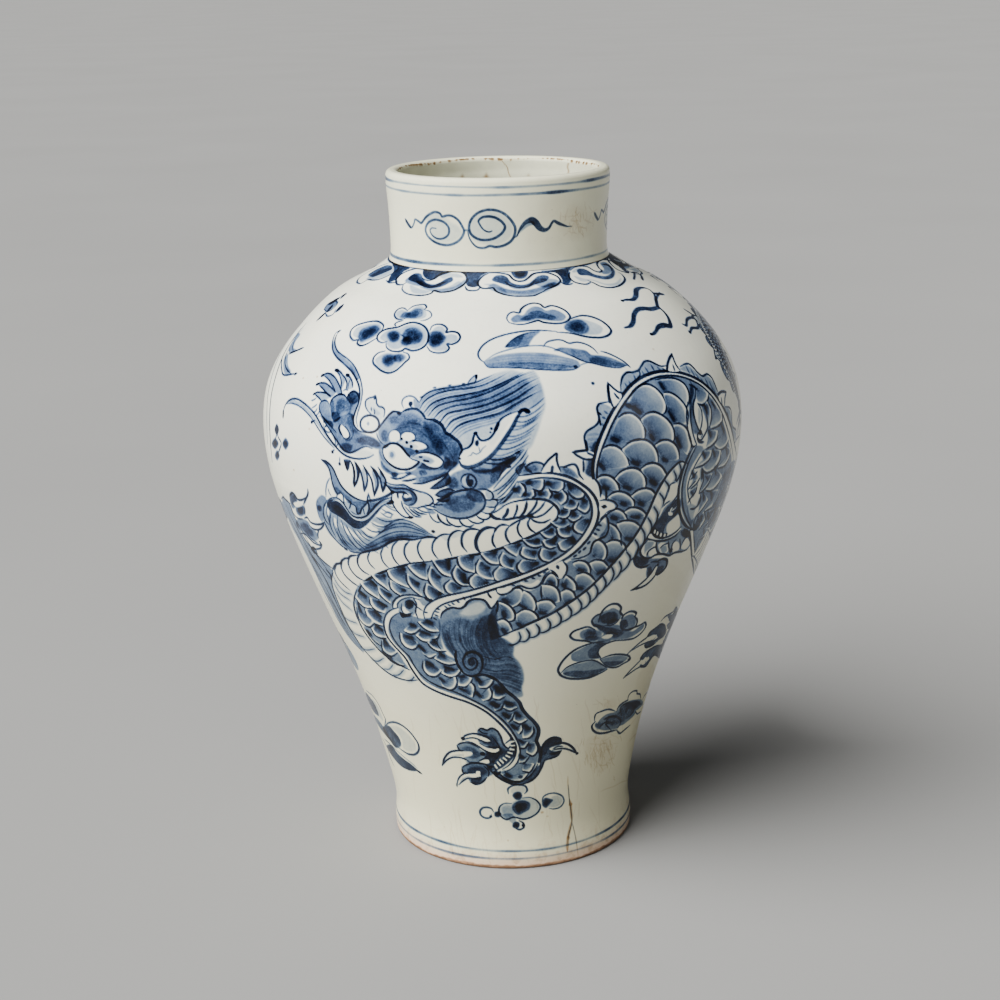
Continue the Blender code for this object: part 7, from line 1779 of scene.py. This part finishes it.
def blots(z):
    """Iron spots in the glaze inside the neck, a fine crack and a rusty run down from the lip."""
    g = np.random.default_rng(66)
    out = np.zeros((len(z), len(THETA)), np.float32)
    spots = [(112, 0.5340, 0.0026, 0.85), (97, 0.5335, 0.0030, 0.9), (104, 0.5270, 0.0018, 0.5), (71, 0.5345, 0.0018, 0.5), (60, 0.5290, 0.0024, 0.6), (130, 0.5325, 0.0021, 0.5)]
    spots += [(g.uniform(0, 360), g.uniform(0.485, 0.536), g.uniform(0.0009, 0.0024), g.uniform(0.3, 0.8)) for _ in range(34)]
    for a, h, w, d in spots:
        x, y = apart(a)[None], z[:, None] - h
        far = np.hypot(x * (1 + 0.3 * np.sin(900 * y)), y * (1 + 0.25 * np.sin(1100 * x + h * 999)))
        out = np.maximum(out, d * np.clip(1.3 - far / w, 0, 1) ** 1.3)
    a = np.interp(z, [0.522, 0.531, 0.537, 0.541, 0.546], [82, 81.5, 83.5, 84.0, 87])
    crack = np.abs(0.0772 * ((THETA[None] - np.radians(a)[:, None] + math.pi) % (2 * math.pi) - math.pi))
    out = np.maximum(out, np.clip(1.6 - crack / 0.00035, 0, 1) * np.clip((z - 0.523) / 0.004, 0, 1)[:, None])
    run = np.abs(apart(43)[None] + 0.0006 * np.sin(z * 900)[:, None])
    return np.maximum(out, 0.75 * np.clip(1.4 - run / 0.0011, 0, 1) * np.clip((z - 0.531) / 0.005, 0, 1)[:, None])


chip = np.random.default_rng(67)
chips = sum(chip.uniform(0.4, 1) * np.sin(k * THETA + chip.uniform(0, 6.28)) for k in (3, 7, 12, 19, 31, 46, 67, 95, 140)) / 3
chips = np.clip(chips * 1.5 + np.where(np.abs((THETA + math.pi / 2 + math.pi) % (2 * math.pi) - math.pi) < 0.9, -0.55, 0.35), 0, 1)
nk.block(inner_neck, push=(grooves(inner_neck, 0.009, 0.00018, 27) - 0.00018) * np.clip((HEIGHT - LIP_ROUND - inner_neck[:, 1]) / 0.008, 0, 1)[:, None],
         inside=1.0, share=1.0, stain=blots(inner_neck[:, 1]))
a = np.radians(np.linspace(4, 88, 26))
lip_rows = np.stack([lip_in + LIP_ROUND * (1 - np.cos(a)), HEIGHT - LIP_ROUND + LIP_ROUND * np.sin(a)], axis=1)
lip_rows = np.vstack([lip_rows, np.stack([np.linspace(lip_in + LIP_ROUND + 0.0003, LIP_RADIUS - LIP_ROUND - 0.0003, 4), np.full(4, HEIGHT)], axis=1)])
across_lip = lip_rows[:, 0] - lip_in
fret = sum(chip.uniform(0.4, 1) * np.sin(k * THETA + chip.uniform(0, 6.28)) for k in (23, 41, 59, 88, 117, 171, 233)) / 3
line_at = 0.00065 + 0.00035 * np.sin(7 * THETA + 1.0)[None] + 0.00016 * fret[None]
strong = np.clip(0.55 * chips + 0.55 + 0.65 * fret, 0, 1)[None] * np.clip(0.35 + chips, 0, 1)[None]
worn = 1.8 * strong * np.exp(-((across_lip[:, None] - line_at) / (0.00016 + 0.00030 * chips[None] * strong)) ** 2)
nk.block(lip_rows, inside=np.clip((HEIGHT - 0.001 - lip_rows[:, 1]) / 0.003, 0, 1), share=1.0, stain=worn)
neck_ob = nk.build()

# ---- bands of soft clay smeared over the joints, inside
COARSE = THETA[::3]


def smeared(name, skin_side, thick, seed, share=1.0):
    """A band pressed on a wall with the fingers: a wavy edge and finger marks all along."""
    piece = Turned(name, COARSE)
    s = arc(skin_side)
    marks = waves(COARSE, s, seed, 10, 4, 60, 40) * 0.16 + 0.30 * np.abs(np.sin(9 * COARSE + 2 * np.sin(3 * COARSE)))[None] ** 3
    u = s / s[-1]
    swell = thick * np.clip(1 - (2 * u - 1) ** 2, 0, 1) ** 0.55
    t = np.gradient(skin_side, axis=0)
    t /= np.linalg.norm(t, axis=1, keepdims=True)
    face_in = skin_side + np.stack([-t[:, 1], t[:, 0]], axis=1) * 0.00030
    piece.block(face_in, push=swell[:, None] * np.clip(0.80 - marks * 0.6, 0.2, 1.0), inside=0.8, bare=0.35)
    piece.block(skin_side[::-1], push=0.0, inside=0.8, bare=0.6)
    return piece.build()


j0, j1 = joint_z - 0.0130, joint_z + 0.0130
wall_line = BODY_IN[(BODY_IN[:, 1] > j0) & (BODY_IN[:, 1] < j1)]
d = np.gradient(wall_line, axis=0)
d /= np.linalg.norm(d, axis=1, keepdims=True)
belly_band = smeared("belly_band_clay", evenly(wall_line + np.stack([-d[:, 1], d[:, 0]], axis=1) * 0.0007, 0.0007), 0.0026, 51)
low_z, high_z = NECK_SEAT[1] - 0.0064, NECK_SEAT[1] + 0.0085
line = np.stack([np.full(30, MOUTH_R - 0.00045) - np.clip((np.linspace(low_z, high_z, 30) - NECK_SEAT[1]) / 0.0085, 0, 1) * 0.0003, np.linspace(low_z, high_z, 30)], axis=1)
neck_band = smeared("neck_band_clay", line, 0.0026, 53)

# ================================================================ materials
class Nodes:
    """Short ways of writing a node tree."""

    def __init__(self, name):
        self.mat = bpy.data.materials.new(name)
        self.mat.use_nodes = True
        self.tree = self.mat.node_tree
        self.tree.nodes.clear()
        self.coord = self.new("ShaderNodeTexCoord").outputs["Object"]

    def new(self, kind, **sockets):
        n = self.tree.nodes.new(kind)
        for k, v in sockets.items():
            self.put(n.inputs[k.replace("_", " ")], v)
        return n

    def put(self, socket, v):
        if isinstance(v, bpy.types.NodeSocket):
            self.tree.links.new(v, socket)
        else:
            socket.default_value = v

    def math(self, op, a, b=0.0, c=0.0, clamp=False):
        n = self.tree.nodes.new("ShaderNodeMath")
        n.operation, n.use_clamp = op, clamp
        for s, v in zip(n.inputs, (a, b, c)):
            self.put(s, v)
        return n.outputs[0]

    def add(self, a, b): return self.math("ADD", a, b)

    def mul(self, a, b): return self.math("MULTIPLY", a, b)

    def span(self, v, a, b, c=0.0, d=1.0):
        n = self.new("ShaderNodeMapRange", Value=v, From_Min=a, From_Max=b, To_Min=c, To_Max=d)
        n.clamp = True
        return n.outputs[0]

    def noise(self, scale, detail=3.0, rough=0.55, stretch=None, distort=0.0):
        n = self.new("ShaderNodeTexNoise", Vector=self.scaled(stretch), Scale=scale, Detail=detail, Roughness=rough, Distortion=distort)
        return n.outputs["Fac"]

    def scaled(self, stretch):
        if stretch is None:
            return self.coord
        m = self.new("ShaderNodeMapping", Vector=self.coord)
        m.inputs["Scale"].default_value = stretch
        return m.outputs[0]

    def mix(self, f, a, b, how="MIX"):
        n = self.tree.nodes.new("ShaderNodeMix")
        n.data_type, n.blend_type = "RGBA", how
        self.put(n.inputs[0], f)
        self.put(n.inputs[6], a)
        self.put(n.inputs[7], b)
        return n.outputs[2]

    def layer(self, name):
        n = self.tree.nodes.new("ShaderNodeAttribute")
        n.attribute_name = name
        return n.outputs["Fac"]

    def rgb(self, r, g, b): return (r, g, b, 1.0)


def glazed(name, glaze, low_warmth_and_shade=0.0):
    """Porcelain under a satin glaze, with the painting under it, rust stains, a bare foot and a thin glaze inside."""
    t = Nodes(name)
    cobalt, stain, bare, inside = (t.layer(k) for k in LAYERS)
    # the brushed pigment is never even: it pools, and it heaps up into near-black specks
    cloudy = t.noise(95.0, 4.0, 0.6)
    grain = t.noise(620.0, 3.0, 0.65)
    specks = t.span(t.noise(1150.0, 2.0, 0.6), 0.60, 0.74)
    uneven = t.add(t.span(cloudy, 0.30, 0.70, 0.80, 1.20), t.span(grain, 0.3, 0.7, -0.14, 0.14))
    d = t.mul(cobalt, uneven)
    heaped = t.mul(t.mul(specks, t.span(cobalt, 0.45, 0.95)), 0.55)
    d = t.add(d, heaped)
    thick = t.math("MAXIMUM", t.add(d, -0.55), 0.0)
    bands = [t.math("EXPONENT", t.add(t.mul(d, -k), t.mul(thick, -q))) for k, q in ((4.30, 3.6), (3.45, 3.2), (2.10, 3.0))]
    through = t.tree.nodes.new("ShaderNodeCombineColor")
    for s, v in zip(through.inputs, bands):
        t.put(s, v)
    # glaze: cool white, a little cloudy, warmer where it lies thin
    mottle = t.noise(11.0, 4.0, 0.6)
    fine = t.noise(60.0, 4.0, 0.6)
    base = t.mix(t.span(mottle, 0.32, 0.68), t.rgb(*[v * f for v, f in zip(glaze, (1.035, 1.03, 1.0))]),
                 t.rgb(*[v * f for v, f in zip(glaze, (0.930, 0.935, 0.930))]))
    base = t.mix(t.mul(t.span(fine, 0.55, 0.75), 0.22), base, t.rgb(*[v * f for v, f in zip(glaze, (0.90, 0.915, 0.90))]))
    # fine speckle and broad warm clouds in the glaze
    base = t.mix(t.mul(t.span(t.noise(7.0, 5.0, 0.62), 0.52, 0.72), 0.18), base, t.rgb(0.700, 0.610, 0.440))
    base = t.mix(t.mul(t.span(t.noise(210.0, 3.0, 0.7), 0.54, 0.72), 0.24), base, t.rgb(*[v * f for v, f in zip(glaze, (0.78, 0.78, 0.75))]))
    if low_warmth_and_shade:
        z = t.new("ShaderNodeSeparateXYZ", Vector=t.coord).outputs[2]
        # the glaze turns darker and warmer towards the bottom of the body: partly its own warm tint, partly painted
        # shade on the lower belly
        lower_tint_and_shade = t.span(t.add(z, t.mul(t.add(mottle, -0.5), 0.12)), 0.42, 0.10)
        base = t.mix(t.mul(lower_tint_and_shade, low_warmth_and_shade), base, t.rgb(0.585, 0.553, 0.362))
        # the glaze lies thin and pinkish just over the foot
        thin = t.span(t.add(z, t.mul(t.add(fine, -0.5), 0.010)), 0.0150, 0.0040)
        base = t.mix(t.mul(thin, 0.75), base, t.rgb(0.70, 0.46, 0.32))
        # brown specks and blushes where the glaze runs out
        blush = t.mul(t.span(t.noise(120.0, 5.0, 0.70), 0.49, 0.63), t.span(z, 0.030, 0.007))
        base = t.mix(t.mul(blush, 0.55), base, t.rgb(0.38, 0.23, 0.13))
    pits = t.new("ShaderNodeTexVoronoi", Vector=t.coord, Scale=150.0)
    spot = t.span(pits.outputs["Distance"], 0.085, 0.035)
    rare = t.span(t.new("ShaderNodeSeparateColor", Color=pits.outputs["Color"]).outputs[0], 0.93, 0.94)
    iron = t.mul(t.mul(spot, rare), t.math("SUBTRACT", 1.0, t.span(cobalt, 0.2, 0.5)))
    base = t.mix(t.mul(iron, 0.55), base, t.rgb(0.23, 0.16, 0.10))
    inner = t.mix(t.span(t.noise(24.0, 5.0, 0.65), 0.3, 0.7), t.rgb(0.47, 0.475, 0.36), t.rgb(0.60, 0.60, 0.46))
    base = t.mix(t.mul(inside, 0.85), base, inner)
    colour = t.mix(1.0, base, through.outputs[0], "MULTIPLY")
    rust = t.mix(t.span(t.noise(300.0, 3.0, 0.6), 0.3, 0.7), t.rgb(0.34, 0.19, 0.10), t.rgb(0.52, 0.33, 0.18))
    colour = t.mix(t.math("MINIMUM", stain, 1.0), colour, t.mix(1.0, colour, rust, "MULTIPLY"))
    colour = t.mix(t.span(stain, 1.0, 2.0), colour, t.rgb(0.055, 0.030, 0.018))
    clay = t.mix(t.span(t.noise(70.0, 5.0, 0.65), 0.30, 0.70), t.rgb(0.30, 0.15, 0.075), t.rgb(0.52, 0.32, 0.19))
    clay = t.mix(t.mul(t.span(t.noise(900.0, 2.0, 0.6), 0.58, 0.70), 0.5), clay, t.rgb(0.24, 0.16, 0.11))
    if low_warmth_and_shade:
        burnt = t.span(t.add(z, t.mul(t.add(t.noise(95.0, 4.0, 0.7), -0.5), 0.008)), 0.0044, 0.0014)
        clay = t.mix(t.mul(burnt, 0.92), clay, t.rgb(0.13, 0.070, 0.038))
    colour = t.mix(bare, colour, clay)
    rough = t.add(t.span(t.noise(38.0, 4.0, 0.6), 0.3, 0.7, 0.17, 0.27), t.mul(inside, 0.14))
    rough = t.math("MULTIPLY_ADD", t.math("SUBTRACT", 0.82, rough), bare, rough)
    peel = t.noise(260.0, 2.0, 0.5)
    height = t.add(t.mul(peel, 0.30), t.mul(t.noise(55.0, 2.0, 0.5), 1.0))
    height = t.add(height, t.mul(t.mul(bare, t.noise(1500.0, 3.0, 0.6)), 0.9))
    bump = t.new("ShaderNodeBump", Strength=0.16, Distance=0.0011, Height=height)
    s = t.new("ShaderNodeBsdfPrincipled", Base_Color=colour, Roughness=rough, Normal=bump.outputs[0])
    s.inputs["IOR"].default_value = 1.5
    s.inputs["Specular IOR Level"].default_value = 0.32
    out = t.new("ShaderNodeOutputMaterial", Surface=s.outputs[0])
    return t.mat


def band_clay(name):
    """Soft clay smeared by hand and thinly glazed over."""
    t = Nodes(name)
    swept = t.noise(60.0, 5.0, 0.6, stretch=(1.0, 1.0, 7.0))
    colour = t.mix(t.span(swept, 0.3, 0.7), t.rgb(0.44, 0.43, 0.37), t.rgb(0.61, 0.59, 0.51))
    colour = t.mix(t.mul(t.span(t.noise(750.0, 2.0, 0.6), 0.62, 0.72), 0.6), colour, t.rgb(0.26, 0.20, 0.15))
    rough = t.span(t.noise(80.0, 4.0, 0.6), 0.3, 0.7, 0.36, 0.56)
    bump = t.new("ShaderNodeBump", Strength=0.5, Distance=0.0006, Height=t.add(swept, t.mul(t.noise(900.0, 3.0, 0.6), 0.4)))
    s = t.new("ShaderNodeBsdfPrincipled", Base_Color=colour, Roughness=rough, Normal=bump.outputs[0])
    t.new("ShaderNodeOutputMaterial", Surface=s.outputs[0])
    return t.mat


for ob, mat, node, its_slot in (
        (lower_ob, glazed("lower_glaze", (0.840, 0.842, 0.735), 0.90), "lower_bowl", "glazed_lower_bowl"),
        (upper_ob, glazed("upper_glaze", (0.840, 0.842, 0.735), 0.90), "upper_bowl", "glazed_upper_bowl"),
        (neck_ob, glazed("neck_glaze", (0.775, 0.765, 0.575)), "neck", "glazed_neck"),
        (belly_band, band_clay("belly_band_look"), "belly_luting_band", "luting_clay"),
        (neck_band, band_clay("neck_band_look"), "neck_luting_band", "luting_clay")):
    ob.data.materials.append(mat)
    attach(ob, "root")
    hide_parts(node)

# ================================================================ floor, light, camera
t = Nodes("floor_paper")
tone = t.mix(t.span(t.noise(1.3, 3.0, 0.5), 0.3, 0.7), t.rgb(0.242, 0.241, 0.237), t.rgb(0.255, 0.254, 0.249))
s = t.new("ShaderNodeBsdfPrincipled", Base_Color=tone, Roughness=0.9)
s.inputs["Specular IOR Level"].default_value = 0.1
t.new("ShaderNodeOutputMaterial", Surface=s.outputs[0])
me = bpy.data.meshes.new("studio_floor")
turns = 96
ring_r = [0.0, 0.6, 2.0, 6.0, 15.0, 40.0, 120.0, 400.0]
verts = [(0.0, 0.0, 0.0)] + [(r * math.cos(2 * math.pi * k / turns), r * math.sin(2 * math.pi * k / turns), 0.0) for r in ring_r[1:] for k in range(turns)]
faces = [(0, 1 + k, 1 + (k + 1) % turns) for k in range(turns)]
for i in range(len(ring_r) - 2):
    p, q = 1 + i * turns, 1 + (i + 1) * turns
    faces += [(p + k, q + k, q + (k + 1) % turns, p + (k + 1) % turns) for k in range(turns)]
me.from_pydata(verts, [], faces)
floor = bpy.data.objects.new("studio_floor", me)
me.materials.append(t.mat)
bpy.context.scene.collection.objects.link(floor)


def lamp(name, kind, place, aim=0.0):
    """A studio light at a place, turned to the jar's axis at height aim."""
    ob = bpy.data.objects.new(name, bpy.data.lights.new(name, kind))
    bpy.context.scene.collection.objects.link(ob)
    z = np.array(place, float) - [0.0, 0.0, aim]
    z /= np.linalg.norm(z)
    x = np.cross([0.0, 0.0, 1.0], z)
    x /= np.linalg.norm(x)
    y = np.cross(z, x)
    ob.matrix_world = Matrix(((x[0], y[0], z[0], place[0]), (x[1], y[1], z[1], place[1]), (x[2], y[2], z[2], place[2]), (0, 0, 0, 1)))
    return ob


# one wide, soft light from the upper left, and two tall softboxes whose reflections are the narrow highlights
key = lamp("key", "SUN", (-1.8, -1.16, 1.86))
key.data.energy, key.data.angle, key.data.color = 10.7, math.radians(60.0), (1.0, 0.995, 0.975)
key.visible_glossy = False
for name, place, wide, watts in (("left_softbox", (-2.30, -1.25, 0.95), 0.55, 12.0), ("right_softbox", (2.20, -1.05, 0.95), 0.45, 5.0)):
    box = lamp(name, "AREA", place, 0.30).data
    box.shape, box.size, box.size_y, box.energy, box.color = "RECTANGLE", wide, 1.5, watts, (1.0, 0.99, 0.97)
world = bpy.data.worlds.new("studio")
bpy.context.scene.world = world
world.use_nodes = True
bg = world.node_tree.nodes["Background"]
bg.inputs["Color"].default_value = (0.86, 0.88, 0.90, 1.0)
bg.inputs["Strength"].default_value = 0.12

cam_data = bpy.data.cameras.new("photo_camera")
cam_data.sensor_fit, cam_data.sensor_width = "HORIZONTAL", 36.0
cam_data.lens = CAM_F / 1000.0 * 36.0
cam_data.clip_start, cam_data.clip_end = 0.05, 1000.0
cam = bpy.data.objects.new("photo_camera", cam_data)
bpy.context.scene.collection.objects.link(cam)
c, fw, rt, upw = camera_axes()
cam.matrix_world = Matrix(((rt[0], upw[0], -fw[0], c[0]), (rt[1], upw[1], -fw[1], c[1]), (rt[2], upw[2], -fw[2], c[2]), (0, 0, 0, 1)))
bpy.context.scene.camera = cam
